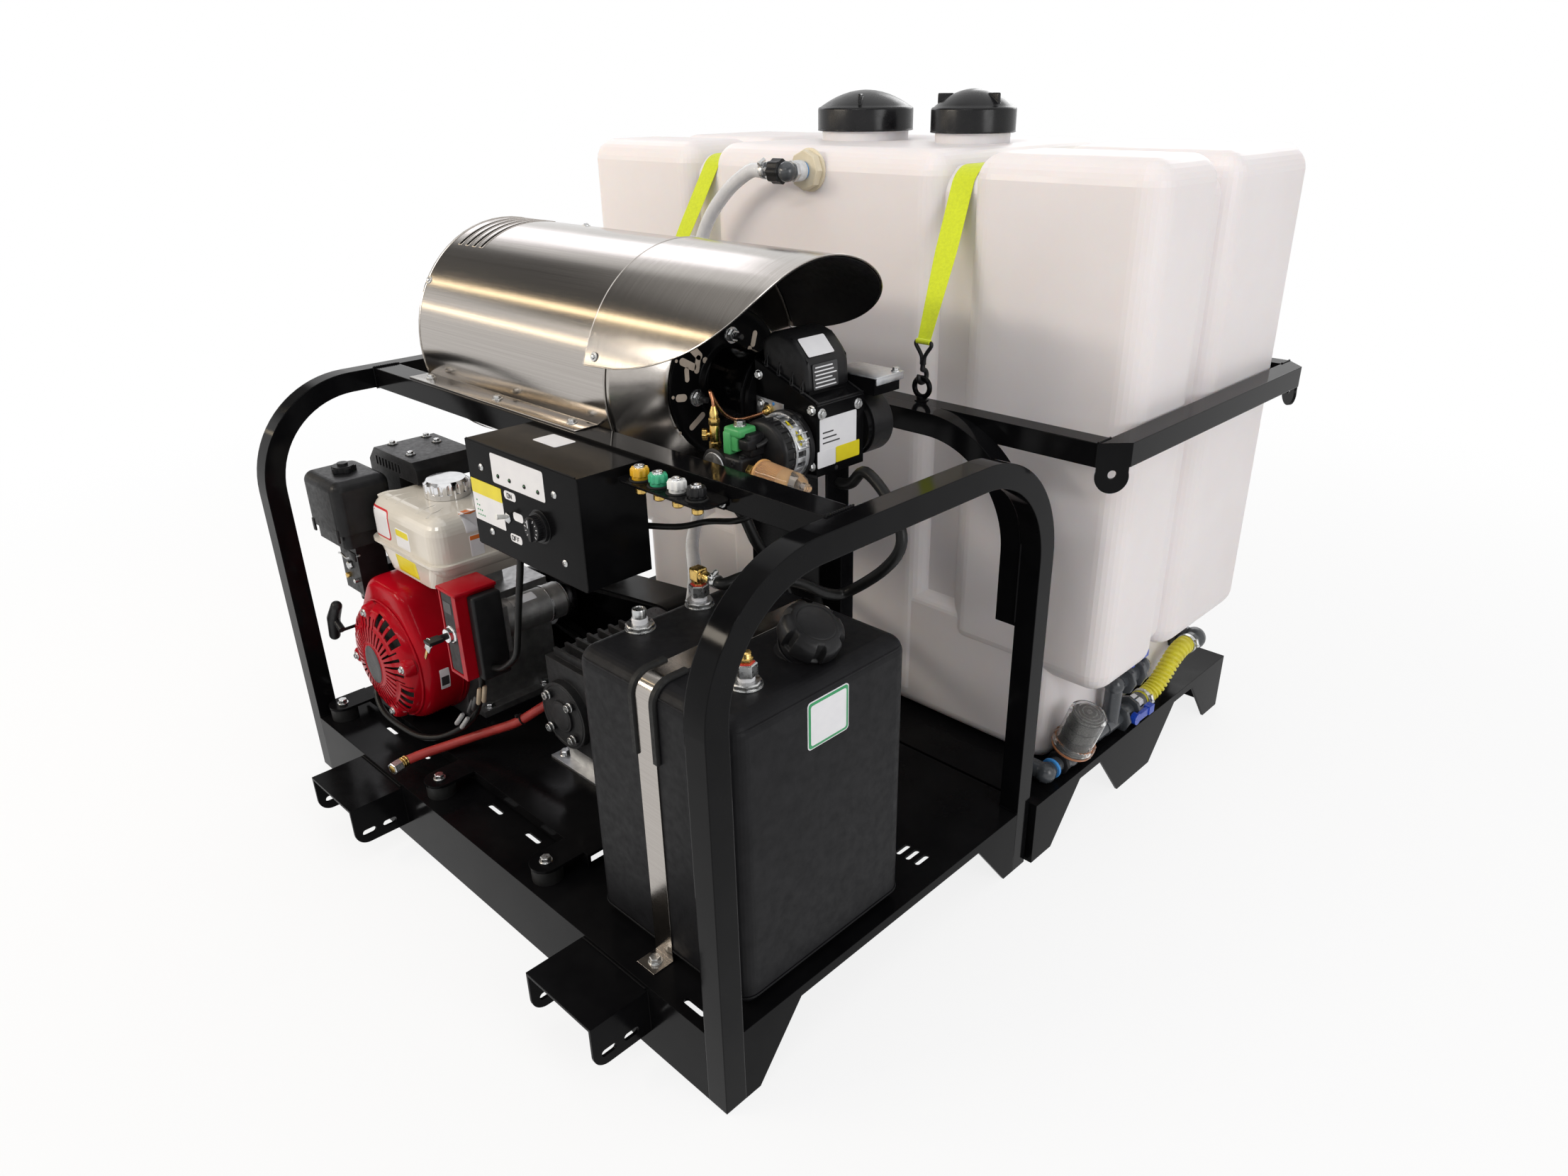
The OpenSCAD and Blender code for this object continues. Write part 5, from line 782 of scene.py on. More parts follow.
def frame_welds():
    p = Piece("frame_welds", "frame_black")
    for edge in (39.2, 1241.8):
        p.weld([(edge, 248, 778), (edge, 248, 817), (edge, 300, 817), (edge, 300, 778)])
        p.weld([(edge, 248, 777.5), (edge, 300, 777.5)])
    for x0, x1, inner_x in ((0, 38, 38), (1243, 1281, 1243)):
        for y0, y1, inner_y in ((0, 38, 38), (708, 746, 708)):
            p.weld([(x0 + 1, inner_y, 129), (x1 - 1, inner_y, 129)], 2.4)
            p.weld([(inner_x, y0 + 1, 129), (inner_x, y1 - 1, 129)], 2.4)
    for x in (38, 1243):
        p.weld([(x, 707, 640), (x, 707, 500)], 2.4)
    for x in (225, 958):
        p.weld([(x + 4, -0.6, 121), (x + 156, -0.6, 121)], 2.4)
    for y, way in ((746, 1), (1468, -1)):
        for x in (-56, 1337):
            p.weld([(x, y - 0.4 * way, 779), (x, y - 0.4 * way, 815)], 1.6)
            p.weld([(x, y + way, 816.4), (x, y + 37 * way, 816.4)], 2.0)
    for x in (200, 238, 1043, 1081):
        p.weld([(x, 1431, 129), (x, 1467, 129)], 2.4)
    p.done()


# Straps over the water tank

STRAP_LOW, STRAP_FRONT, STRAP_BACK = 916, 765, 1449
STRAP_WIDE, STRAP_NARROW = 44.0, 26.0


def strap(name, top_x, low_x):
    """One webbing strap over the tank with a coated wire hook at each end."""
    p = Piece(name, "webbing", stands_for=("tank_straps",))
    y0, y1, z, r = 938, 1356, 1135, 46.4
    taper = STRAP_WIDE - STRAP_NARROW

    def bend(y, angle):
        a = math.radians(angle)
        return Vector((top_x, y + r * math.sin(a), z + r * math.cos(a)))

    near, far = (Vector((low_x, y, STRAP_LOW)) for y in (STRAP_FRONT, STRAP_BACK))
    spine = [(near.lerp(bend(y0, -63), i / 12), STRAP_NARROW + taper * min(1.0, i / 12 * 1.8)) for i in range(12)]
    spine += [(bend(y0, -63 * (1 - i / 8)), STRAP_WIDE) for i in range(9)]
    spine += [(Vector((top_x, y0 + (y1 - y0) * i / 8, z + r)), STRAP_WIDE) for i in range(1, 8)]
    spine += [(bend(y1, 79 * i / 8), STRAP_WIDE) for i in range(9)]
    spine += [(bend(y1, 79).lerp(far, i / 12), STRAP_WIDE - taper * max(0.0, i / 12 * 1.8 - 0.8)) for i in range(1, 13)]
    rings = []
    for i, (at, width) in enumerate(spine):
        ahead = (spine[min(i + 1, len(spine) - 1)][0] - spine[max(i - 1, 0)][0]).normalized()
        across = (X_UP - ahead * ahead.x).normalized()
        rise = across.cross(ahead)
        crown = (STRAP_WIDE - width) * 0.12
        rings.append([])
        for face in (1, -1):
            for u in ((k / 3 - 1) * face for k in range(7)):
                h = (0.95 if abs(u) < 0.99 else 0.35) * face - crown * (1 - u * u)
                rings[-1].append(at + across * (width / 2) * u + rise * h)
    p.loft(rings, "webbing")
    for y in (STRAP_FRONT, STRAP_BACK):
        p.rod([(low_x + dx, y, STRAP_LOW) for dx in (-14, 14)], 4.6, "webbing", 12)
        for side in (-1, 1):
            p.rod([(low_x + side * dx, y, STRAP_LOW - dz)
                   for dx, dz in ((15, 0), (16, 6), (8, 17), (3.0, 26), (2.6, 38))], 3.4, "plastic", 10, 4)
        p.rod([(low_x + dx, y, STRAP_LOW - 0.5) for dx in (-16, 16)], 3.0, "plastic", 10)
        hook = [(low_x, y, STRAP_LOW - 30), (low_x, y, 874)]
        for a in (math.radians(95 - 300 * i / 15) for i in range(16)):
            hook.append((low_x, y + 11 * math.cos(a), 858 + 11 * math.sin(a)))
        p.rod(hook, lambda t: 4.2 if t < 0.9 else 4.2 - 14 * (t - 0.9), "plastic", 12, 3)
    p.done(50)


# Coil shell and wind hood


def shell_trim():
    p = Piece("shell_trim", "stainless")
    p.rod([on_shell(164.2, -178 + 356 * i / 60) for i in range(61)], 1.9, "stainless", 8)
    for x, angle, lift in ((170, 33, 0), (716, 15.5, 7), (387, 99, 0), (681, 99, 0)):
        p.stack(on_shell(x, angle, SHELL_R + lift), turned_up(angle),
                (-0.8, 20, "zinc", (7.5, 0), (7.5, 1.6), (6.8, 2.2)),
                (1.2, 6, "zinc", (4.6, 0), (4.4, 2.2), (2.6, 3.4)))
    for x, y in ((211, 277), (440, 277), (661, 277), (300, 728), (661, 728)):
        p.hexhead((x, y, 819), Z_UP, 6.5, 4.5, washer=9)
    p.done(40)


def shell():
    """The shell as a rolled outer wrap with open louvres, a coned burner end, and two seat strips."""
    p = Piece("coil_shell_sheet", "stainless", stands_for=("coil_shell",))
    turn = range(-180, 180, 2)
    louvres = [(SHELL_LEFT + 28 + 24 * k, SHELL_LEFT + 38 + 24 * k) for k in range(4)]
    stops = sorted([SHELL_LEFT, 350.0, 480.0, 610.0, SHELL_LAP] + [x for louvre in louvres for x in louvre])

    def band(x, r, angles=turn):
        return [on_shell(x, a, r) for a in angles]

    def wall(i, j):
        return (stops[i], stops[i + 1]) not in louvres or not 56 <= turn[j] < 102

    p.sheet([band(x, SHELL_R) for x in stops], "stainless", 1.6, wall, wrap=True)
    # Painted shade: a flat black sheet just inside the shell stands for the shade seen through the open louvres.
    p.loft([band(x, SHELL_R - 4) for x in (SHELL_LEFT + 4, SHELL_LAP - 8)], "inside", ends=False)
    cone = ((-20, 206.4), (-1, 206.4), (1.2, 205.6), (2.6, 203.8), (3.8, 201.2), (17, 177), (30, 153), (43, 128),
            (45.6, 122), (47.4, 114), (48, 104), (48, 40))
    p.loft([band(SHELL_LAP + d, r) for d, r in cone], "stainless", ends=False)
    closed = ((0.6, SHELL_R - 1), (0.2, SHELL_R - 5), (0.2, 60), (0.2, 1))
    p.loft([band(SHELL_LEFT + d, r) for d, r in closed], "stainless", ends=False)
    p.rod(band(SHELL_LAP - 0.6, SHELL_R + 0.4, range(-192, 13, 3)), 1.5, "stainless", 8)
    for x0, x1 in louvres:
        edge = band(x0, SHELL_R + 0.3, range(56, 103, 2)) + band(x1, SHELL_R + 0.3, range(102, 55, -2))
        p.rod(edge + edge[:1], 0.9, "stainless", 6)
    p.block((SHELL_LEFT + 6, RAIL_BACK - 44, 816), (699, RAIL_BACK + 3, 819), "stainless", 0.8)
    p.block((244, 699.66, 816), (699, 742, 819), "stainless", 0.8)
    p.done(40)


def hood():
    """The wind hood: a thin sheet lapped over the shell, standing off at its lower corners, with a black sheet just
    inside it that paints the shade under the hood.
    """
    p = Piece("wind_hood_sheet", "stainless", stands_for=("wind_hood",))
    x0, depth, low, high = 691.0, 322.0, 914.0, SHELL_Z + SHELL_R + 1.5
    middle, outer, shade_lining_x = SHELL_R + 1.5, 211.6, 740
    start = math.degrees(math.asin((low - SHELL_Z) / middle))
    count, steps = 120, 36
    rows, shade_lining = [], []
    for i in range(count + 1):
        angle = start + (180 - 2 * start) * i / count
        z = SHELL_Z + middle * math.sin(math.radians(angle))
        t = math.acos(min(1.0, max(0.0, (high - z) / (high - low))))
        far = x0 + max(4.0, depth * math.sin(t))
        r = outer + 5.0 * max(0.0, 1 - (z - low) / 70) ** 2
        rows.append([on_shell(x0 + (far - x0) * j / steps, angle, r) for j in range(steps + 1)])
        if rows[-1][-3].x > shade_lining_x:
            shade_lining.append([on_shell(shade_lining_x + (far - 1.5 - shade_lining_x) * j / steps, angle, 0.985 * r)
                           for j in range(steps + 1)])
    p.sheet(rows, "hood_steel", 1.6)
    # Painted shade: a black sheet just inside the hood stands for the shade under it.
    p.sheet(shade_lining, "plastic", 0.8)
    p.rod([row[-1] for row in rows], 1.1, "hood_steel", 8)
    p.rod([row[0] for row in rows], 0.9, "hood_steel", 8)
    p.done(40)


def shell_end():
    """Rolled beads and screws on the coil shell's closed end."""
    p = Piece("shell_end_trim", "stainless")
    p.torus((SHELL_LEFT, SHELL_Y, SHELL_Z), X_UP, 203, 2.4, "stainless", 96, 10)
    p.torus((SHELL_LEFT - 0.2, SHELL_Y, SHELL_Z), X_UP, 150, 2.2, "stainless", 80, 10)
    for i in range(8):
        p.stack(on_shell(SHELL_LEFT, 157.5 - 45 * i, 190), LEFT,
                (0, 20, "zinc", (7.5, 0), (7.5, 1.2), (6.8, 1.8)),
                (1, 6, "zinc", (4.6, 0), (4.4, 2.6), (2.6, 3.6)))
    p.done(40)


def coil():
    """The heating coil as one wound pipe on its three rods, inside the shell."""
    p = Piece("heating_coil_wound", "steel", stands_for=("heating_coil",))
    wraps, per, pitch = 10, 28, 48
    p.rod([on_shell(222 + pitch * i / per, 360 * i / per, 150) for i in range(wraps * per + 1)], 13, "steel", 14)
    for angle in (150, 30, -90):
        p.rod([on_shell(x, angle, 166) for x in (172, 450, 728)], 8, "steel", 14)
    p.done(40)


# Control panel

STROKES = {
    "O": [((0, 0), (0, 1)), ((0, 1), (0.7, 1)), ((0.7, 1), (0.7, 0)), ((0.7, 0), (0, 0))],
    "N": [((0, 0), (0, 1)), ((0, 1), (0.7, 0)), ((0.7, 0), (0.7, 1))],
    "F": [((0, 0), (0, 1)), ((0, 1), (0.65, 1)), ((0, 0.52), (0.5, 0.52))],
}


def letters(piece, word, x, y, z, size, finish):
    """Plain stroke letters on a face that looks to -Y."""
    for letter in word:
        for stroke in STROKES[letter]:
            piece.rod([(x + dx * size, y, z + dz * size) for dx, dz in stroke], size * 0.09, finish, 6)
        x += size * 1.05


def panel():
    p = Piece("panel_plates", "noz_white")
    face = PANEL_FACE

    def plate(x, z, w, h, finish, rise=0.5, r=4.0):
        p.plate((x, face, z), X_UP, Z_UP, (w, h), r, rise, finish, 0.15)

    plate(650, 754, 144, 50, "plastic", 0.3)
    plate(651, 755, 142, 48, "white_plate", 0.6)
    for x in (668, 700, 740, 776):
        p.lathe((x, face - 0.5, 768), FRONT, [(3.6, 0), (3.6, 0.5), (2.6, 1.6), (0.6, 2.1)], "inside", 18)
        p.lathe((x + 1.0, face - 2.0, 769.4), FRONT, [(1.2, 0), (0.9, 0.4)], "solenoid", 10)
    plate(582, 678, 88, 70, "white_plate", 0.5, 2.5)
    plate(582, 724, 88, 24, "yellow_plate", 0.8, 2.0)
    for row in range(4):
        for k in range(row + 1):
            p.lathe((592 + 6 * k, face - 0.4, 712 - 8 * row), FRONT, [(1.6, 0), (1.4, 0.5)], "green_trim", 10)
    for x, z, word, indent in ((678, 735, "ON", 9), (681, 665, "OFF", 5)):
        plate(x, z, 32, 14, "white_plate", 0.5, 5.5)
        letters(p, word, x + indent, face - 0.6, z + 3.4, 7.0, "inside")
    plate(697, 704, 27, 14, "white_plate", 0.5, 5.5)
    for x, z in ((620, 772), (818, 774), (627, 666), (827, 669)):
        p.lathe((x, face, z), FRONT, [(6.0, 0), (6.0, 0.8), (4.6, 2.4), (2.0, 3.2)], "zinc", 22)
        # Painted shade: flat black crosses stand for the shaded cross recesses of the screw heads.
        for w, h in ((3.0, 0.5), (0.5, 3.0)):
            p.block((x - w, face - 3.6, z - h), (x + w, face - 2.6, z + h), "inside", 0.1, 1)
    p.lathe((681, face, 703), FRONT, [(9.0, 0), (9.0, 2.2), (7.6, 3.0), (6.2, 3.0)], "zinc", 6)
    p.lathe((DIAL_X, face, DIAL_Z), FRONT, [(27, 0), (27, 0.3), (25, 0.35)], "plastic", 40)
    for z in (812.0, 635.5):
        p.weld([(584, face + 1, z), (874, face + 1, z)], 1.3)
    p.weld([(878.4, face + 1, 640), (878.4, face + 1, 808)], 1.3)
    p.plate((668, 196, 811), X_UP, Y_UP, (62, 40), 4, 0.5, "white_plate", 0.15)
    p.done()


def dial():
    p = Piece("dial_marks", "noz_white", body="thermostat_knob")

    def on_dial(radius, angle, y):
        return DIAL_X + radius * math.cos(angle), y, DIAL_Z + radius * math.sin(angle)

    for i in range(11):
        a = math.radians(225 - 27 * i)
        p.rod([on_dial(r, a, 113.3) for r in (13, 16 if i % 2 else 17.4)], 0.55, "white_plate", 6)
    for a in turns(30):
        p.rod([on_dial(19, a, y) for y in (128, 114.4)], 0.9, "plastic", 6)
    p.rod([(DIAL_X, 108.2, 716), (DIAL_X, 108.2, 728)], 0.7, "white_plate", 6)
    p.done()


# Nozzles


def nozzle(k, color, body):
    p = Piece(f"{body}_tip", {"plastic": "black_plastic"}.get(color, color), body=body, stands_for=(body,))
    at = Vector((RACK_X + RACK_PITCH * k, RACK_Y, 798.3))
    p.lathe(at, Z_UP, [(10.5, 0), (12, 0.8), (12, 4.8), (11, 6)], color, 30)
    p.loft([ring(at + Z_UP * h, X_UP, Y_UP, 14 * swell, 64, 9, 0.07)
            for h, swell in ((5, 0.90), (6.2, 1.0), (15.5, 1.0), (17.6, 0.92), (18, 0.80))], color)
    p.stack(at, Z_UP,
            (-22, 26, "brass", (6.4, 0), (8.0, 1.4), (8.5, 2), (8.5, 8), (7.6, 9), (7.6, 13), (8.5, 14), (8.5, 23)),
            (17, 26, "chrome", (8.0, 0), (8.0, 3.2), (7.2, 4.0), (3.6, 4.0), (2.4, 2.6), (0.4, 2.4)))
    p.done()


def rack_seats():
    p = Piece("rack_seats", "rubber")
    for k in range(4):
        p.torus((RACK_X + RACK_PITCH * k, RACK_Y, 798), Z_UP, 14.6, 2.0, "rubber", 32, 10)
    for x in (906, 1052):
        p.hexhead((x, 245.8, 789), FRONT, 5.5, 4, washer=7.5)
    p.done()


# Burner


def burner_motor():
    """The motor with its bands and clamp, and the oil pump, filter, solenoid and valve that hang on it."""
    p = Piece("burner_motor_dressed", "engine_metal", stands_for=("burner_motor",))
    x, y, z = centre = 985, 385.6, 812
    # The flat black cores under the rib rings are painted shade in the gaps between the ribs.
    p.stack(centre, Y_UP,
            (0, 48, "plastic", (20, 0), (42, 0.6), (47, 3), (49.4, 7), (49.4, 9)),
            (8, 48, "inside", (45.5, 0), (45.5, 26)),
            (24, 48, "galv", (46, 0), (50, 0.4), (50, 4.6), (46, 5)),
            (28, 48, "inside", (46.5, 0), (46.5, 16)),
            (43, 48, "galv", (46, 0), (51.6, 0.6), (51.6, 8), (49, 9)),
            (51, 48, "plastic", (49, 0), (54, 1), (54, 9), (52, 11)))
    for i in range(18):
        turn = Matrix.Rotation(math.radians(20 * i), 3, "Y")
        p.block((x - 3.4, y + 8, z + 44), (x + 3.4, y + 25, z + 49.6), "plastic", 0.8, 2, turn, centre)
        p.block((x - 4.2, y + 28, z + 45), (x + 4.2, y + 44, z + 50), "galv", 0.5, 2, turn, centre)
    turn = Matrix.Rotation(math.radians(62), 3, "Y")
    p.block((x - 17, y + 27, z + 47), (x + 17, y + 50, z + 51), "galv", 1, 2, turn, centre)
    for side in (-5, 5):
        p.block((x + side - 1, y + 29, z + 50), (x + side + 1, y + 47, z + 60), "galv", 0.6, 2, turn, centre)
    across = turn @ X_UP
    bolt = Vector((x, y + 38, z)) + turn @ Z_UP * 56
    p.lathe(bolt - across * 11, across, [(2.6, 0), (3, 0.6), (3, 26)], "zinc", 14)
    p.hexhead(bolt + across * 6, across, 6, 5, washer=7)
    oil_pump(p)
    oil_filter(p)
    solenoid(p)
    oil_valve(p)
    p.done(40)


def oil_pump(p):
    p.block((907, 341, 765), (987, 388, 812), "plastic", 6, 3)
    p.block((913, 345, 758), (960, 384, 768), "plastic", 3, 3)
    p.stack((932, 342, 791), FRONT,
            (0, 40, "plastic", (27, 0), (27, 2.2), (25.4, 3.4)),
            (3, 40, "galv", (21.6, 0), (21.6, 1.4), (20.8, 2.2)))
    socket = [(4.4, 0), (4.4, 3), (3.8, 3.6), (2.2, 3.6), (2.2, 2), (0.2, 2)]
    for x, z in ((972, 773), (972, 803), (962, 788)):
        p.lathe((x, 341.4, z), FRONT, socket, "plastic", 16)
    for y in (350, 379):
        p.hexhead((982, y, 811.6), Z_UP, 4.6, 3.4, "plastic")


def oil_filter(p):
    y, z = 360.6, 791
    p.stack((986, y, z), X_UP,
            (0, 6, "brass", (9, 0), (10.4, 1), (10.4, 10), (9, 11)),
            (10, 20, "brass", (7, 0), (7.4, 1), (6.4, 2), (7.4, 3), (7.4, 6)),
            (15, 24, "rubber", (8.4, 0), (9, 0.8), (9, 9), (7.6, 11)),
            (24, 40, "amber", (9, 0), (21, 0.8), (23, 2), (23, 5.4), (22, 6)))
    pleats = []
    for t in range(6):
        pleats.append([])
        for i, a in enumerate(turns(72)):
            r = (19.2 - 0.42 * t) + (1.1 if i % 2 else -0.5)
            pleats[-1].append((1014.5 + 8.2 * t, y + r * math.cos(a), z + r * math.sin(a)))
    p.loft(pleats, "amber")
    glass = [(22, 0), (19.8, 38), (17.2, 72), (15.4, 77), (7.4, 79), (6.4, 80), (6.4, 92), (5.6, 93)]
    p.lathe((1014, y, z), X_UP, glass, "smoke", 40)


def solenoid(p):
    p.block((952, 360, 811), (991, 387, 845), "plastic", 3, 3)
    p.block((943, 349, 839), (978, 385, 853), "solenoid", 4, 3)
    p.block((944, 347, 812), (959, 364, 846), "solenoid", 2)
    p.block((957, 350, 818), (971, 363, 847), "solenoid", 2)
    p.block((972, 352, 822), (992, 374, 838), "plastic", 2.5, 3)
    p.hexhead((960, 368, 853), Z_UP, 8.4, 6, washer=10)


def oil_valve(p):
    x, y = 917, 355.6
    p.stack((x, y, 810), Z_UP,
            (0, 6, "brass", (8.4, 0), (9.2, 1), (9.2, 12), (8.2, 13)),
            (12, 24, "brass", (6.8, 0), (7.4, 1), (7.4, 26), (6.2, 28)),
            (38, 6, "brass", (7.6, 0), (8.4, 1), (8.4, 10), (7.6, 11)),
            (48, 24, "brass", (5, 0), (6.8, 2), (6.8, 9), (5.0, 14), (3.6, 19)))
    stem, way, side = Vector((x, y, 834)), Vector((-0.72, -0.69, 0)), Z_UP
    p.lathe(stem, way, [(4, 0), (4, 11)], "brass", 16)
    p.loft([ring(stem + way * h, side, way.cross(side), 9.2 * swell, 72, 12, 0.05)
            for h, swell in ((11, 0.8), (12, 1.0), (18, 1.0), (19, 0.82))], "brass")


def burner_lines():
    p = Piece("burner_lines", "brass")
    p.rod([(917, 355.6, 875), (916, 355, 886), (913, 354.5, 896), (909.5, 358, 897), (909, 364, 885), (910, 372, 871),
           (913, 384, 856), (919, 402, 847), (933, 424, 851), (942, 438, 856)], 2.7, "copper", 14, 8)
    way = (-0.1, -1, -0.06)
    p.lathe((943.6, BURNER_SIDE, 857), way, [(8.6, 0), (9, 0.8), (9, 6), (7.6, 7)], "brass", 6)
    p.lathe((943, 441, 856.5), way, [(6.6, 0), (6.8, 3), (4.4, 7), (3.2, 8)], "brass", 20)
    p.lathe((952, 447, 868), FRONT, [(2.6, 0), (2.6, 1.4), (1.6, 2)], "tape", 12)
    p.done(40)


def burner_plate():
    """The round plate on the shell's coned end with its cut-outs and studs, and the blast tube with its flange."""
    p = Piece("burner_plate_pressed", "frame_black", stands_for=("burner_plate",))
    face = 790.0
    p.lathe((face - 6, SHELL_Y, 865), X_UP,
            [(40, 0), (118, 0), (121, 1), (122, 3), (121, 5.4), (118.6, 6), (110, 6), (108, 5.2), (66, 5.2), (62, 6.4),
             (58, 12), (54, 14)], "sheet", 96)
    tube = [(50.5, 0), (50.5, 50), (52, 52), (52, 110), (50.5, 112)]
    p.lathe((face - 4, SHELL_Y, SHELL_Z), X_UP, tube, "sheet", 64)
    flange = [(50, 0), (75, 0.2), (76, 1), (76, 4), (75, 4.9), (50, 5)]
    p.lathe((899, SHELL_Y, 866), X_UP, flange, "sheet", 72)
    for y0, z0, y1, z1, wide in (
            (427.1, 931.9, 441.4, 917.6, 13.2), (439.2, 914.4, 434.8, 895.7, 10.4), (406.3, 914.4, 428.2, 902.3, 12.1),
            (414, 900.1, 414, 884.8, 8.8), (394.3, 858.5, 405.2, 856.9, 12.1), (442.5, 821.2, 418.4, 805.8, 9.9),
            (565.2, 934.1, 559.8, 917.6, 9.9), (596, 872, 604, 858, 11), (560, 801, 580, 818, 10)):
        a, b = Vector((face - 0.4, y0, z0)), Vector((face - 0.4, y1, z1))
        along = (b - a).normalized()
        over = Vector((0, -along.z, along.y))
        p.plate(a - (along + over) * wide / 2, along, over, ((b - a).length + wide, wide), wide / 2 - 0.01, 0.9,
                "board", 0.1)
    for y, z, r in ((453.4, 908.9, 5), (552.1, 911.1, 4.6), (394.3, 917.6, 2.8), (383.3, 861.7, 2.8),
                    (393.2, 801.5, 2.8), (505, 969, 2.8), (612, 905, 2.8), (600, 815, 2.8), (500, 761, 2.8)):
        p.lathe((face - 0.4, y, z), X_UP, [(r, 0), (r, 0.8), (r - 0.2, 0.9)], "board", 20)
    for y, z in ((512.6, 939.6), (432.6, 851.9), (557, 819)):
        p.stack((face, y, z), X_UP,
                (-1, 28, "zinc", (14, 0), (14, 2.4), (13.4, 3)),
                (1.6, 6, "zinc", (10, 0), (10.7, 1), (10.7, 7.6), (9.6, 8.7)),
                (9, 16, "dark_alloy", (5.4, 0), (5.7, 1), (5, 2), (5.7, 3), (5, 4), (5.7, 5), (5.2, 15), (4.4, 16)))
    p.done(40)


def igniter():
    """The rounded cover over the igniter with its spring clips."""
    p = Piece("igniter_cover", "black_plastic")
    outline = softened([(920, 925), (1018.5, 887.5), (1014.5, 939.5), (984, 970.5), (947.5, 977), (919.5, 963)], 15)
    centre = Vector((966, 932))
    rings = []
    for y, inset in ((455.4, 9), (455.8, 5), (457.2, 2), (460, 0.5), (464, 0), (537, 0), (541, 0.5), (543.8, 2),
                     (545.2, 5), (545.6, 9)):
        edge = [centre + (q - centre) * (1 - inset / (q - centre).length) for q in outline]
        rings.append([(q.x, y, q.y) for q in edge])
    p.loft(rings, "plastic")
    back = (-0.077, 0, 1)
    p.plate((1011.6, 462, 944.2), Y_UP, (-0.7071, 0, 0.7071), (56, 33), 2.5, 0.8, "white_plate")
    p.plate((1019.2, 464, 896), Y_UP, back, (54, 38), 2.5, 0.8, "badge")
    for k in range(6):
        p.plate((1019.9 - 0.44 * k, 467 + 2 * (k % 2), 899 + 5.7 * k), Y_UP, back, (46 - 4 * (k % 3), 2.0), 0.9, 0.4,
                "white_plate", 0.1)
    for x in (932, 958, 985, 1006):
        z = 927.5 - 0.39 * (x - 915)
        for side in (-1, 1):
            clip = [(x + 3 * side, 451, z), (x + 2.2 * side, 452.4, z + 9), (x, 454.6, z + 15), (x, 456, z + 19)]
            p.rod(clip, 1.1, "plastic", 8, 3)
        p.lathe((x, 452.6, z - 1), Z_UP, [(4, 0), (4, 3), (3, 4)], "plastic", 16)
    lean = Matrix.Rotation(math.radians(21.3), 3, "Y")
    for y in (454, 551):
        p.block((914, y - 2.4, 880), (1041, y + 0.6, 883), "plastic", 0.8, 2, lean, (BURNER_END, y, 881.4))
    p.done(40)


def burner_housing_trim():
    p = Piece("burner_housing_trim", "black_plastic")
    p.slab((914, BURNER_SIDE, 845), X_UP, Z_UP, [(0, 1), (59, 0), (59, 26), (0, 30)], 1.6, "galv", 0.3)
    # Painted shade: a flat black slot plate stands for the shaded opening of the slotted hole round the bolt.
    p.plate((920, 446.1, 862), X_UP, Z_UP, (22, 6), 2.9, 0.5, "inside", 0.1)
    p.hexhead((926, 445.6, 865), FRONT, 5.5, 3.6, washer=7.5)
    for x, z in ((921, 908), (920, 832), (1030, 786), (1031, 872)):
        p.hexhead((x, BURNER_SIDE, z), FRONT, 6, 4, washer=8)
    for y in (458, 539):
        p.hexhead((BURNER_END, y, 866), X_UP, 6, 4, washer=8.5)
    p.lathe((BURNER_END, 491, 776), X_UP, [(3.6, 0), (3.6, 0.6), (2.4, 1.2)], "inside", 14)
    p.plate((BURNER_END, 454, 808), Y_UP, Z_UP, (82, 50), 2, 0.7, "white_plate")
    p.plate((BURNER_END, 449, 783), Y_UP, Z_UP, (40, 26), 2, 0.9, "white_plate")
    p.plate((BURNER_END, 489.6, 784), Y_UP, Z_UP, (54, 25), 2, 0.9, "yellow_plate")
    for k in range(3):
        p.plate((BURNER_END + 0.6, 460, 819 + 8 * k), Y_UP, Z_UP, (38 - 7 * k, 2.2), 1, 0.35, "badge", 0.1)
    for z in (882.4, 879.2):
        p.block((1037, 449, z - 1.2), (1041.4, 552, z + 1.2), "plastic", 0.6)
    p.block((912, 446.4, 768), (BURNER_END, 448.4, 773), "plastic", 0.8)
    p.block((973, 551, 903.6), (1067, 617, 906.6), "galv", 1.0)
    p.block((1063.6, 552, 894), (1067, 616, 905), "galv", 1.0)
    p.hexhead((1059, 606, 906.4), Z_UP, 5.5, 4, washer=7.5)
    p.stack((1003, BURNER_SIDE, 852), FRONT,
            (0, 6, "plastic", (12.5, 0), (13, 1), (13, 6), (12, 7)),
            (6.6, 24, "plastic", (10.5, 0), (10.5, 7), (8.6, 10), (6.4, 14), (5.6, 20)))
    p.torus((1003, 419, 850), (0, -1, -0.1), 7.4, 1.1, "yellow_plate", 28, 8)
    p.plate((1000, 419, 843.4), (0.84, 0, -0.54), (0.54, 0, 0.84), (40, 16), 2, 0.6, "yellow_plate", 0.15)
    for y in (492, 510):
        p.hexhead((1035, y, 690), X_UP, 6.5, 4.5, washer=9)
    p.done()
    rim = Piece("air_shutter_rim", "zinc", body="air_shutter")
    rim.torus((1005, 605.2, 822), Y_UP, 46.6, 1.9, "zinc", 56, 10)
    rim.done()


# Diesel tank


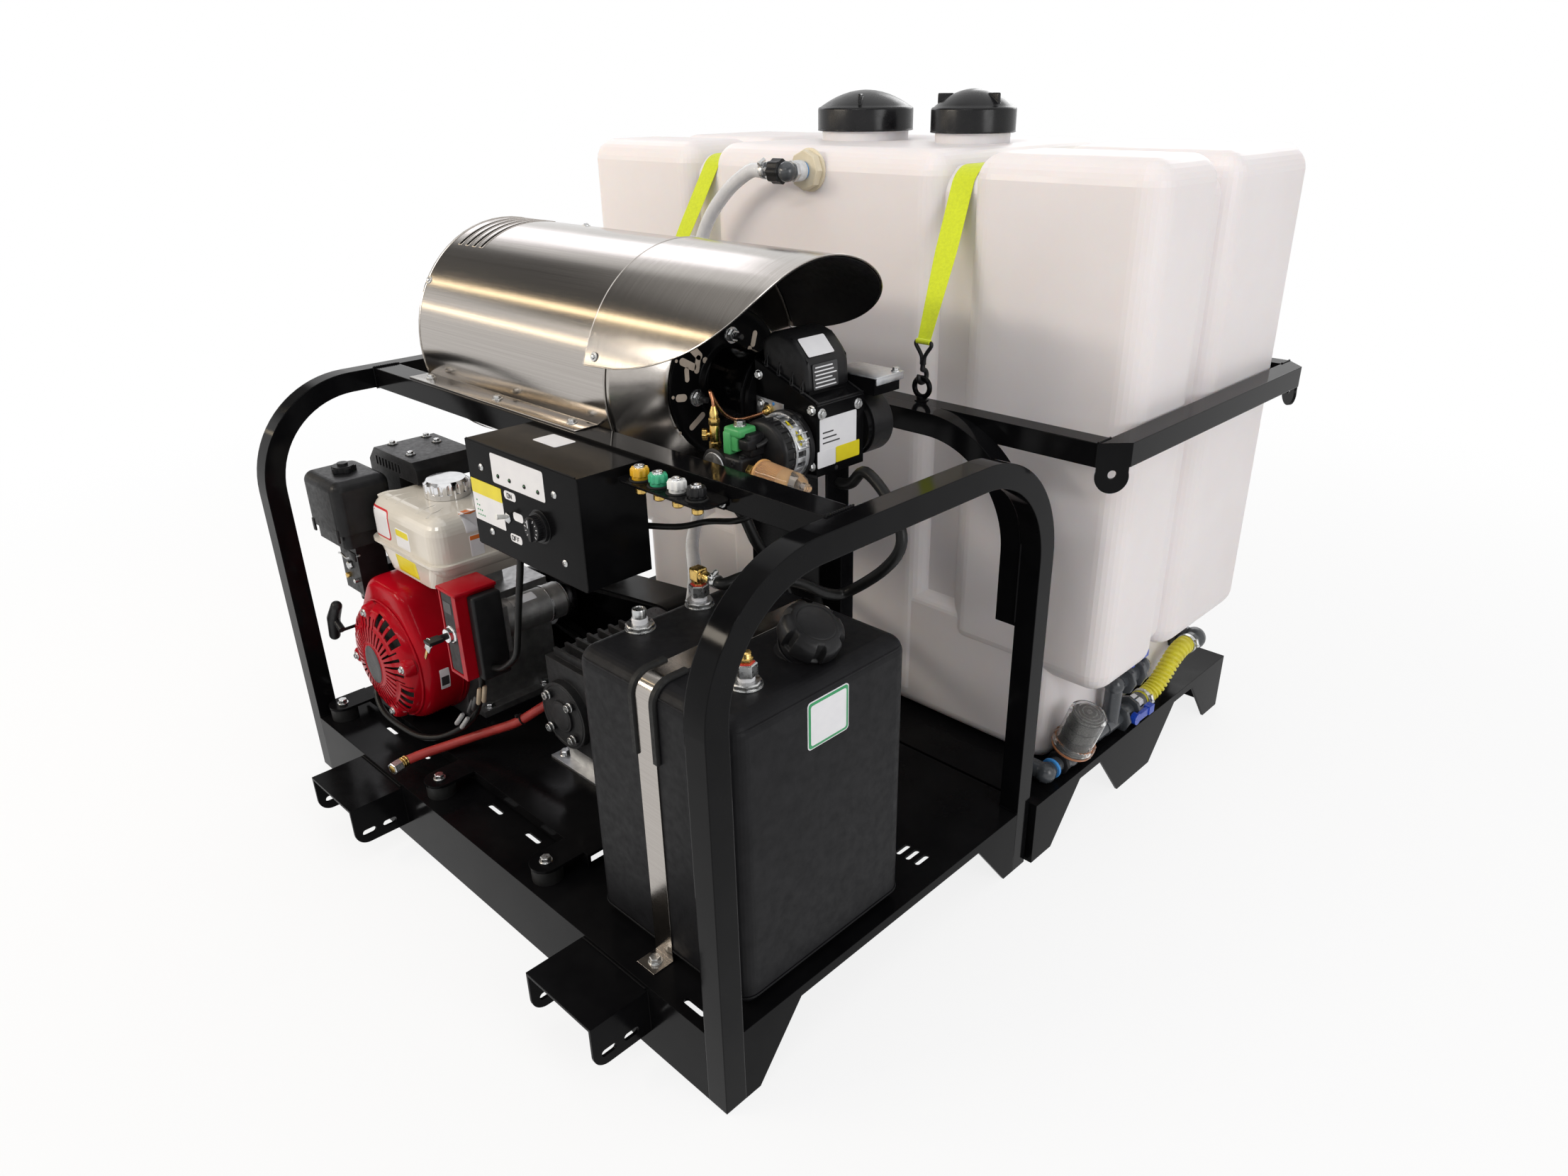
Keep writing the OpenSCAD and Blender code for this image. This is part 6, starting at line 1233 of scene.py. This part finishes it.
def diesel_trim():
    p = Piece("diesel_trim", "diesel_poly")
    for z, inset in ((584, 3.4), (150, 0)):
        edge = [(x + 931.4 + inset, y + 57.4 + inset)
                for x, y in rounded(331.2 - 2 * inset, 348.2 - 2 * inset, 28.6, 8)]
        rings = []
        for i in range(len(edge) + 1):
            a, b, c = (Vector((*edge[(i + k) % len(edge)], z)) for k in (-1, 0, 1))
            rings.append(ring(b, (c - a).normalized().cross(Z_UP), Z_UP * 1.6, 1.2, 8))
        p.loft(rings, "poly", ends=False)
        p.join()
    p.torus(NECK + NECK_WAY * 18, NECK_WAY, 35, 2.2, "poly", 48, 10)
    for step, r, finish, lift in ((0, 6, "white_plate", 0.6), (1.6, 5, "green_trim", 1.0),
                                  (5.6, 4, "white_plate", 1.4)):
        at, size = (1262, 191 + step, LABEL_Z + step), (81 - 2 * step, 73 - 2 * step)
        p.decal("diesel_tank", at, Y_UP, Z_UP, size, r, finish, lift)
    p.done(50)


def diesel_tops():
    p = Piece("diesel_tops", "zinc", stands_for=("diesel_fittings",))
    bush = ((-0.4, 36, "zinc", (22, 0), (22.6, 0.6), (22.6, 1.6), (20.6, 2)),
            (1, 8, "zinc", (20.4, 0), (21.6, 1), (21.6, 6), (20, 7.6), (13, 8)),
            (8, 24, "white_plate", (11.4, 0), (12, 1), (11.6, 4), (12.2, 6), (11.4, 9)))
    nut = ((15, 6, "zinc", (14, 0), (15.6, 1.4), (15.6, 17.6), (14, 19)),
           (34, 6, "red_trim", (12.4, 0), (12.4, 0.7), (11, 0.9)))
    p.stack((964, 155, 600), Z_UP, *bush,
            (16, 24, "zinc", (9.4, 0), (10.4, 1), (10.4, 13), (9.6, 15), (7.2, 15.4), (7.0, 14.4), (0.4, 14.2)))
    x, y = 968, 265
    p.stack((x, y, 600), Z_UP, *bush, *nut, (34, 6, "brass", (9.6, 0), (10.4, 1), (10.4, 8)))
    p.block((x - 10, y - 10, 640), (x + 11, y + 10, 661), "brass", 3, 3)
    barb = [(9.2, 0), (9.2, 5), (7.2, 6), (8.2, 8), (7.2, 10), (8.2, 12), (7.2, 14), (7.2, 20)]
    p.lathe((x + 10, y, 650), X_UP, barb, "brass", 24)
    p.worm_clamp((x + 40, y, 650), X_UP, 9.8, 9, (0, -0.4, 1))
    p.stack((1196, 146, 600), Z_UP, *bush, *nut,
            (34, 6, "brass", (9.6, 0), (10.4, 1), (10.4, 7), (9, 8)),
            (41, 24, "brass", (6.6, 0), (8.4, 1), (7.0, 3.4), (8.2, 4.2), (6.8, 6.6), (7.8, 7.4), (6, 8.6)))
    p.done(40)


def diesel_cap():
    p = Piece("diesel_cap_scooped", "black_plastic", body="diesel_cap", stands_for=("diesel_cap",))
    base = NECK + NECK_WAY * 39
    u = Y_UP
    w = NECK_WAY.cross(u)
    rings = []
    for h, radius, scoop in (
            (0, 43, 0.0), (0.8, 45, 0.5), (3, 46, 1.0), (16, 46, 1.0), (22, 45.6, 1.0), (27, 44, 0.85), (31, 40, 0.4),
            (33.4, 35, 0.05), (34.2, 31, 0), (33.6, 30, 0), (33.6, 29, 0), (34.4, 28, 0), (35.6, 18, 0), (36, 8, 0),
            (36, 0.4, 0)):
        rings.append([])
        for a in turns(144):
            dent = max(0.0, math.cos(6 * a) - 0.55) / 0.45
            r = radius - 8 * scoop * min(1.0, 2.2 * dent)
            rings[-1].append(base + NECK_WAY * h + r * (math.cos(a) * u + math.sin(a) * w))
    p.loft(rings, "plastic")
    p.done(30)


def strap_trim():
    """Black rubber edging on both sides of the strap where it rounds the tank's top front edge."""
    p = Piece("diesel_strap_edging", "rubber")
    for x0, x1 in ((1061, 1073), (1105, 1117)):
        section = ((x0, 0), (x1, 0), (x1, 3.2), (x1 - 2, 5.6), (x0 + 2, 5.6), (x0, 3.2))
        rings = []
        for k in range(15):
            out = turned_up(max(0, min(90, (k - 3) * 11.25)))
            at = Vector((0, 86 + 10 * max(0, k - 11), 572 - 30 * max(0, 3 - k))) + out * 28.4
            rings.append([at + X_UP * x + out * h for x, h in section])
        p.loft(rings, "rubber")
    p.done(40)


# Engine


def engine_trim():
    p = Piece("engine_trim", "black_plastic")
    for x, z, size, r, finish, lift in (
            (168, 538, (66, 60), 8, "red_trim", 0.6), (171.5, 541.5, (59, 53), 6, "white_plate", 0.9),
            (256, 535, (50, 38), 4, "white_plate", 0.6), (258, 558, (46, 13), 3, "yellow_plate", 0.9),
            (236, 480, (76, 34), 3, "yellow_plate", 0.6)):
        p.decal("engine_fuel_tank", (x, 135, z), X_UP, Z_UP, size, r, finish, lift)
    for y, z, h in ((200, 592, 40), (204, 545, 41)):
        p.decal("engine_fuel_tank", (402, y, z - 12), Y_UP, Z_UP, (27, h), 2, "white_plate", 0.6)
        p.decal("engine_fuel_tank", (402, y + 1, z + h - 21), Y_UP, Z_UP, (25, 8), 1.5, "orange_plate", 0.9)
    p.done(40)


def fan_shroud():
    """The pressed fan cover: the CAD outline with its corners and front edge rolled over."""
    p = Piece("fan_cover_pressed", "engine_red", stands_for=("fan_cover",))
    count = 180
    corners = [Vector(q) for q in ((-125, 0), (-125, 60), (-50, 160), (70, 160), (120, 60), (120, 0))]
    reach = []
    for a in turns(count):
        way = Vector((math.cos(a), math.sin(a)))
        far = 133.0
        for q, r in zip(corners, corners[1:]):
            side = r - q
            cross = way.x * side.y - way.y * side.x
            if abs(cross) > 1e-9:
                t = (q.x * side.y - q.y * side.x) / cross
                k = (q.x * way.y - q.y * way.x) / cross
                if t > 0 and 0 <= k <= 1:
                    far = max(far, t)
        reach.append(far)
    for _ in range(3):
        reach = [(reach[i - 2] + reach[i - 1] + 2 * r + reach[(i + 1) % count] + reach[(i + 2) % count]) / 6
                 for i, r in enumerate(reach)]

    def edge(y, inset, fixed=0.0):
        return [Vector((CRANK_X + (fixed or r - inset) * math.cos(a), y, CRANK_Z + (fixed or r - inset) * math.sin(a)))
                for r, a in zip(reach, turns(count))]

    p.loft([edge(190, 6), edge(190, 0), edge(186, 0), edge(126, 0), edge(116, 1), edge(109, 3.4), edge(104, 7.4),
            edge(101, 11.4), edge(100, 14), edge(99.8, 0, 116), edge(99.8, 0, 100), edge(104, 0, 98), edge(112, 10)],
           "red", ends=False)
    for y in (184, 176):
        bead = []
        for q in edge(y, -0.2):
            out = Vector((q.x - CRANK_X, 0, q.z - CRANK_Z)).normalized()
            bead.append([q + Y_UP * d + out * h for d, h in ((-2, 0), (-1, 1.0), (1, 1.0), (2, 0))])
        p.loft(bead + bead[:1], "red", ends=False)
    p.done(40)


def recoil():
    """The pressed starter cover: radial slots round an oval badge, four vent windows and four screw bosses."""
    p = Piece("recoil_cover_pressed", "engine_red", stands_for=("recoil_cover",))
    seat, count = 100, 180
    shape = ((0.5, 38), (20, 38), (34, 37.9), (40, 37.6), (46, 37.2), (50, 36.9), (58, 36), (66, 34.9), (72, 33.9),
             (76, 33), (79, 31), (82, 30.2), (86, 29.6), (92, 28.2), (98, 26), (104, 23), (108, 20), (111, 16.6),
             (113.5, 12.6), (115.5, 8.4), (117, 4.4), (118, 0.2))

    def oval(rx, rz, h, points):
        return [Vector((CRANK_X + rx * math.cos(a), seat - h, CRANK_Z + rz * math.sin(a))) for a in turns(points)]

    def wall(row, i):
        inner, outer = shape[row][0], shape[row + 1][0]
        degrees = (i + 0.5) * 360 / count
        off = min(abs((degrees - c + 180) % 360 - 180) for c in (57, 147, 237, 327))
        window = off < 24 and inner >= 86 and outer <= 111 and i % 6 < 4
        slot = inner >= 46 and outer <= (76 if off < 26 else 98) and i % 5 < 2
        return not window and not slot

    p.sheet([oval(r, r, h, count) for r, h in shape], "red", 2.2, wall, wrap=True, cap=True)
    # Painted shade: a flat black lining behind the cover stands for the shade seen through its slots and windows.
    shade_lining = [(0.05, 1), (106, 1), (106, 8), (98, 14), (80, 19), (0.05, 22)]
    p.lathe((CRANK_X, seat, CRANK_Z), FRONT, shade_lining, "inside", 64)
    for a in (math.radians(degrees) for degrees in (12, 102, 192, 282)):
        at = Vector((CRANK_X + 103 * math.cos(a), seat - 8, CRANK_Z + 103 * math.sin(a)))
        p.lathe(at, FRONT, [(19, 0), (17.4, 10), (15, 17), (13, 19.6), (11, 20.4)], "red", 40)
        p.hexhead(at + FRONT * 20, FRONT, 5.4, 4, washer=8)
    for finish, steps in (("red", ((1.08, 36.5), (1.08, 38.2), (1.02, 38.8), (0.98, 38.8))),
                          ("badge", ((1.0, 38), (1.0, 39.4), (0.97, 39.9), (0.5, 40.2), (0.02, 40.3)))):
        p.loft([oval(30 * k, 40 * k, h, 64) for k, h in steps], finish)
    p.torus((CRANK_X, seat - 1.6, CRANK_Z), Y_UP, 119.5, 2.4, "red", 96, 10)
    p.done(42)


def engine_left():
    """Fins, rocker cover, plug lead and drain plugs on the side of the engine that faces away from the picture."""
    p = Piece("engine_side_parts", "engine_metal")
    lean = math.radians(65)
    origin = Vector((CRANK_X, 295, CRANK_Z))
    ex, ed = Vector((math.cos(lean), 0, math.sin(lean))), Vector((-math.sin(lean), 0, math.cos(lean)))

    def spot(x, y, d):
        return origin + ex * x + Y_UP * y + ed * d

    def plate(half_x, half_y, d, thick, r, finish):
        edge = rounded(2 * half_x, 2 * half_y, r)
        p.loft([[spot((x - half_x) * k, (y - half_y) * k, d + rise) for x, y in edge]
                for k, rise in ((0.985, 0), (1, 0.6), (1, thick - 0.6), (0.985, thick))], finish)

    for k in range(5):
        plate(66, 66, 165 + 7.4 * k, 2.6, 8, "alloy")
    plate(50, 52, 202.4, 5, 12, "alloy")
    plate(46, 48, 207, 15, 14, "galv")
    plate(34, 36, 221.4, 2.4, 10, "galv")
    for x, y in ((-40, -42), (40, -42), (-40, 42), (40, 42)):
        p.hexhead(spot(x, y, 221.6), ed, 5, 4, washer=7)
    p.stack(spot(-30, -62, 188), FRONT,
            (0, 6, "zinc", (10, 0), (10, 4), (6, 5), (6, 9)),
            (8, 24, "rubber", (6.4, 0), (8, 2), (8.6, 10), (7, 17), (5, 19)))
    for y in (222, 292, 362):
        p.block((106.6, y - 3, 182), (112, y + 3, 300), "alloy", 2, 3)
    for y in (214, 374):
        p.lathe((111, y, 196), LEFT, [(11, 0), (11.6, 1), (11.6, 7), (10.4, 8)], "zinc", 6)
    filler = (-0.9, 0, 0.44)
    p.lathe((111, 206, 246), filler, [(13, 0), (13, 8), (11, 10)], "alloy", 28)
    p.lathe((103, 206, 250), filler, [(12, 0), (15, 2), (15.6, 8), (14, 11), (5, 12)], "plastic", 12)
    for y, z in ((206, 318), (206, 382), (384, 318), (384, 382)):
        p.hexhead((111.2, y, z), LEFT, 6, 5, washer=8.5)
    # Painted shade: flat black strips stand for the shaded openings of the vent slots under their lips.
    for z in range(508, 619, 22):
        p.plate((20.2, 326, z), FRONT, Z_UP, (92, 7), 3.4, 0.5, "inside", 0.1)
        p.rod([(18.6, 325, z + 8.4), (18.0, 280, z + 9), (18.6, 235, z + 8.4)], 1.4, "plastic", 8)
    for y, z in ((226, 494), (336, 494), (226, 624), (336, 624)):
        p.hexhead((20, y, z), LEFT, 5, 4, washer=7)
    p.done(38)


def recoil_rope():
    """The starter rope: it runs straight from inside the recoil cover to the grip."""
    p = Piece("recoil_rope", "rubber", body=None)
    x, z, held, grip = 97.0, 331.0, 99.0, 58.0
    p.rod([(x, held + (grip - held) * i / 16, z) for i in range(17)], 3.2, "hose_black", 14)
    rope = p.done(50)
    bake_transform(rope)


def fuel_ribs():
    """Pressed ribs on the fuel tank's top, running out from the filler."""
    p = Piece("fuel_tank_ribs", "pearl")
    for x, lean in ((186, -16), (214, -8), (242, 0), (312, 8), (340, 16)):
        path = [(x + lean * t, 196 - 44 * t, 612.6 - 3.4 * t ** 3) for t in (i / 12 for i in range(13))]
        p.rod(path, lambda t: 2.6 + 3.0 * math.sin(math.pi * min(1.0, 0.1 + 0.9 * t)) * t, "pearl", 16)
    p.done(60)


def key_trim():
    p = Piece("key_box_trim", "black_plastic")
    p.plate((442.5, 114.6, 352.5), X_UP, Z_UP, (36, 157), 5, 1.6, "plastic", 0.4)
    p.block((494.2, 132, 344), (516, 189.6, 508), "plastic", 5, 3)
    p.block((434, 108, 511), (500, 192, 518.6), "red", 3, 3)
    p.plate((446, 112.9, 470), X_UP, Z_UP, (26, 22), 2, 0.5, "badge", 0.1)
    p.stack((460, 113, 429), FRONT,
            (0, 36, "chrome", (17, 0), (17, 2), (15, 3.4), (13, 3.4)),
            (1, 36, "chrome", (13.4, 0), (13.4, 9.4), (12.6, 10.4), (11.4, 10.6)))
    p.done(35)
    key = Piece("key_ring", "chrome", body="ignition_key")
    key.torus((452, 72, 424), Y_UP, 9, 0.9, "zinc", 36, 8)
    turn = Matrix.Rotation(math.radians(32), 3, "Y")
    key.block((443, 71, 378), (449, 73, 408), "brass", 0.6, 2, turn, (446, 72, 416))
    key.block((438, 70.6, 402), (454, 73.4, 418), "zinc", 1.2, 3, turn, (446, 72, 416))
    key.done(35)


def loom_sleeves():
    """Crimp sleeves bound to the engine loom, a tie on the drain hose and a plate on the fan cover."""
    p = Piece("loom_sleeves", "rubber")
    for finish, a, b in (
            ("tan_sleeve", (486, 146, 318), (480, 142, 284)), ("tan_sleeve", (476, 140, 312), (470, 136, 278)),
            ("badge", (462, 138, 290), (450, 134, 258)), ("badge", (452, 136, 280), (438, 130, 250)),
            ("grey_sleeve", (440, 126, 240), (422, 118, 214)), ("grey_sleeve", (430, 122, 246), (412, 114, 220))):
        path = [Vector(a).lerp(Vector(b), t) for t in (0, 0.08, 0.5, 0.92, 1)]
        p.rod(path, lambda t: 3.2 if t in (0, 1) else 4.4, finish, 16)
    p.torus((510, 198, 234), (-0.66, -0.58, -0.48), 10.2, 1.6, "rubber", 32, 10)
    p.block((503, 186, 240), (510, 193, 246), "rubber", 1.5)
    p.decal("fan_cover", (349, 128, 262), Y_UP, Z_UP, (20, 44), 2, "white_plate", 0.6)
    p.decal("fan_cover", (349, 130, 270), Y_UP, Z_UP, (16, 20), 1.5, "badge", 0.9)
    p.done(40)


def starter_trim():
    p = Piece("starter_trim", "engine_metal")
    x, z = 470, 426
    for y in (222, 296):
        p.lathe((x, y, z), Y_UP, [(34, 0), (36.2, 0.6), (36.2, 5), (34, 5.6)], "steel", 40)
    p.lathe((x, 330, z), Y_UP, [(35, 0), (34, 2.5), (14, 4), (12, 6.5), (0.4, 7)], "steel", 40)
    for a in (math.radians(25), math.radians(205)):
        p.hexhead((x + 24 * math.cos(a), 331.5, z + 24 * math.sin(a)), Y_UP, 4.4, 3.6)
    p.decal("engine_block", (476, 240, 440), Y_UP, (-0.7, 0, 0.7), (34, 18), 2, "white_plate", 0.5)
    p.done(40)


def muffler_trim():
    p = Piece("muffler_trim", "black_plastic")
    for x, y in ((58, 250), (150, 240), (110, 318), (60, 322)):
        p.lathe((x, y, 664.6), Z_UP, [(11, 0), (11, 0.8), (9.6, 1.8)], "plastic", 24)
        p.hexhead((x, y, 666), Z_UP, 6.2, 4.4, washer=8)
    p.done()


def intake_trim():
    p = Piece("intake_trim", "engine_metal")
    p.lathe((77.5, 111, 452), FRONT, [(9, 0), (9, 4), (7.4, 6), (4, 6)], "zinc", 6)
    p.lathe((58, 112, 424), FRONT, [(5.5, 0), (5.5, 5), (4.6, 6)], "brass", 6)
    p.lathe((98, 112, 424), FRONT, [(4.5, 0), (4.5, 8), (3.6, 9)], "zinc", 16)
    p.rod([(44, 106, 470), (60, 104, 474), (84, 104, 470), (108, 108, 480), (128, 112, 486)], 2.0, "zinc", 10, 5)
    p.block((104, 100, 476), (132, 104, 494), "plastic", 1.6)
    p.stack((77.5, 141, 372), Z_UP,
            (0, 36, "alloy", (12, 0), (17, 2), (19.6, 6), (20.4, 8), (20.4, 12), (19.4, 13)),
            (-6, 6, "brass", (6, 0), (7, 1), (7, 6)))
    p.loft([[Vector((8 + x, 88 + y, z)) for x, y in rounded(127, 99, 20, 6)] for z in (533.0, 534.4, 536.4, 537.6)],
           "plastic", ends=False)
    for x in (20, 124):
        p.block((x - 5, 78.4, 520), (x + 5, 82.4, 546), "plastic", 1.4)
    p.done(40)


# Pump


def pump_trim():
    p = Piece("pump_trim", "zinc")
    x, z = 652, 300
    screw = [(9.4, 0), (9.4, 2), (7.6, 2.6), (7.8, 3), (7.8, 8), (7, 9), (4.6, 9), (4.6, 4.5), (0.3, 4.5)]
    for dx, dz in ((-33, -33), (-33, 33), (33, -33), (33, 33)):
        p.lathe((x + dx, 194.4, z + dz), FRONT, screw, "zinc", 24)
    p.torus((x, 200.4, z), Y_UP, 58, 1.6, "pump", 56, 8)
    p.lathe((x, 199.4, z), FRONT, [(27, 0), (27, 3), (25, 5), (23, 5.4)], "pump", 40)
    p.done()


# Water side


def plumbing_trim():
    p = Piece("plumbing_trim", "pvc")
    p.stack((OUTLET_X, 868.6, OUTLET_Z), FRONT,
            (0, 40, "cream", (37, 0), (37.6, 1), (37.6, 4), (35, 5)),
            (4.6, 8, "cream", (33, 0), (35, 1.5), (35, 15), (33, 17), (17, 17.4)),
            (20.6, 28, "tape", (15.6, 0), (16.2, 0.5), (16.4, 5), (15.4, 6)),
            (25.6, 28, "white_tape", (17.4, 0), (18.2, 1), (18.4, 9), (18, 16), (16.6, 18)),
            (42.6, 6, "galv", (17, 0), (18.6, 1), (18.6, 8), (17, 9)))
    p.loft([ring(Vector((OUTLET_X - 8 - h, 805, OUTLET_Z)), Y_UP, Z_UP, 22 * swell, 64, 8, 0.06)
            for h, swell in ((0, 0.86), (2, 1.0), (26, 1.0), (29, 0.86))], "plastic")
    p.lathe((598, 805, OUTLET_Z), LEFT, [(15, 0), (16.6, 1), (16.6, 9), (14, 10)], "galv", 6)
    p.worm_clamp((577, 805, OUTLET_Z), X_UP, 14, 10, (0, -0.5, 1))
    p.worm_clamp((800, 320, 378), Z_UP, 14, 10, (0.6, -1, 0))
    p.lathe((1230.2, 1383, 222), X_UP, [(34, 0), (34.6, 1), (34.6, 6), (33, 7)], "plastic", 8)
    p.worm_clamp((1275, 1347, 222), Y_UP, 20.6, 11, (1, 0, 0.4))
    p.worm_clamp((PIPE_X, 1190, PIPE_Z), Y_UP, 20.6, 11, (1, 0, 0.4))
    p.stack((PIPE_X, 1139, PIPE_Z), Y_UP,
            (0, 28, "tape", (20.4, 0), (21, 1), (21, 7), (20, 8)),
            (8, 6, "white_plate", (21.2, 0), (21.8, 1), (21.8, 18), (20, 20)))
    p.lathe((1230.4, 1166, 238), X_UP, [(27, 0), (27.6, 1), (27.6, 9), (26, 10.4)], "cream", 8)
    for z in (PIPE_Z, 238):
        for y in (1084, 1127):
            p.lathe((PIPE_X, y, z), Y_UP, [(29, 0), (31, 1), (31, 8), (29, 9)], "pvc", 8)
    for y in (865, 919):
        p.lathe((PIPE_X, y, PIPE_Z), Y_UP, [(21, 0), (23.6, 1), (23.6, 9), (21, 10)], "plastic", 8)
    p.lathe((PIPE_X, 842, PIPE_Z), Y_UP, [(19, 0), (19.6, 0.6), (19.6, 5), (18.6, 6)], "tape", 28)
    p.done(40)


def strainer():
    """The strainer's clear bowl with its collar and ribs, over the mesh."""
    tilt = math.radians(18)
    way = Vector((math.sin(tilt), 0, math.cos(tilt)))
    foot = Vector((PIPE_X, 897, PIPE_Z))
    bowl = Piece("strainer_glass", "clear", body="strainer_bowl", stands_for=("strainer_bowl",))
    bowl.lathe(foot + way * 31, way, [(28.6, 0), (29.4, 1), (29.4, 80), (28, 82)], "mesh", 48)
    for k in range(4):
        bowl.torus(foot + way * (36 + 24 * k), way, 29.4, 1.0, "badge", 48, 8)
    bowl.torus(foot + way * 30.4, way, 37.6, 2.6, "o_ring", 48, 10)
    u = Y_UP

    def band(radius, h, flute=0.0):
        return ring(foot + way * h, u, way.cross(u), radius, 96, 24, flute)

    wall = [band(r, h) for r, h in ((33.2, 34), (33.2, 112), (31, 116), (18, 116.6), (0.1, 116.8), (0.1, 120.2),
                                    (20, 120), (32, 119), (34.8, 116.6), (35.8, 112), (35.8, 34))]
    bowl.loft(wall + wall[:1], "clear", ends=False)
    bowl.loft([band(36.2, 31.5), band(40.4, 31.6), band(41.4, 33, 0.014), band(41.4, 46, 0.014), band(39.4, 48.4),
               band(36.2, 48.6), band(36.2, 31.5)], "clear", ends=False)
    bowl.join()
    for r in (29, 22, 14):
        bowl.torus(foot + way * 120.2, way, r, 1.0, "clear", 48, 8)
    bowl.lathe(foot + way * 119.6, way, [(5, 0), (5, 1.6), (3.6, 2.4)], "clear", 6)
    bowl.done(40)


def lid(name, x, y, radius, fins):
    """A moulded screw lid: rim, domed top and two or three standing tabs, hollow over the tank's neck."""
    p = Piece(name + "_dome", "black_plastic", body=name, stands_for=(name,))
    neck, foot = radius - 8.4, radius - 5
    profile = [(0.05, 14), (neck - 1, 14), (neck, 13), (neck, 0.6), (neck + 0.8, 0), (radius - 1.6, 0), (radius, 1.6),
               (radius, 39), (radius - 0.6, 41.6), (radius - 2.4, 43.4), (foot, 44.2)]
    profile += [(foot * (1 - t), 44.2 + 31 * (1 - (1 - t) ** 2))
                for t in (0.06, 0.14, 0.24, 0.36, 0.5, 0.64, 0.78, 0.9)]
    p.lathe((x, y, 1222), Z_UP, profile + [(0.05, 75.3)], "lid", 96)
    for angle in fins:
        turn = Matrix.Rotation(math.radians(angle), 3, "Z")
        p.block((x + radius - 42, y - 3.2, 1266), (x + radius - 12, y + 3.2, 1290), "lid", 2.4, 3, turn, (x, y, 0))
    p.torus((x, y, 1223.4), Z_UP, radius - 0.4, 1.0, "lid", 96, 8)
    p.done(38)


# The pieces in the order in which they are made

suction_hose()
cord("bypass_hose_line", BYPASS, 13, "hose_clear", "bypass_hose")
cord("drain_hose_line", DRAIN, 9, "hose_red", "drain_hose", with_pieces=[drain_end()])
cord("fuel_loop_line", FUEL_LOOP, 9, "hose_black", "fuel_hoses")
cord("fuel_return_line", FUEL_RETURN, 9, "hose_black", "fuel_hoses")
cord("control_cable", CONTROL, 6, "hose_black", "fuel_hoses")
cord("engine_loom", LOOM, 6, "hose_black", "fuel_hoses")
cord("solenoid_cable", SOLENOID, 4.6, "hose_black", None)
cord("burner_wire_line", BURNER_WIRE, 5, "hose_black", "fuel_hoses")
fasteners()
frame_welds()
strap("strap_right", 957.5, 988.5)
strap("strap_left", 323.5, 292.5)
shell_trim()
shell()
hood()
panel()
dial()
for k, (color, body) in enumerate((("noz_yellow", "nozzle_yellow"), ("noz_green", "nozzle_green"),
                                   ("noz_white", "nozzle_white"), ("plastic", "nozzle_black"))):
    nozzle(k, color, body)
for build in (rack_seats, burner_motor, burner_lines, burner_housing_trim, burner_plate, coil, igniter, diesel_trim,
              diesel_tops, diesel_cap, strap_trim, engine_trim, fan_shroud, recoil, engine_left, recoil_rope, fuel_ribs,
              shell_end, key_trim, loom_sleeves, starter_trim, muffler_trim, intake_trim, pump_trim, plumbing_trim,
              strainer):
    build()
lid("tank_lid_main", 524.5, 1147, 97, (-58, 122))
lid("tank_lid_small", 792.5, 1147, 80, (-12, 108, 214))
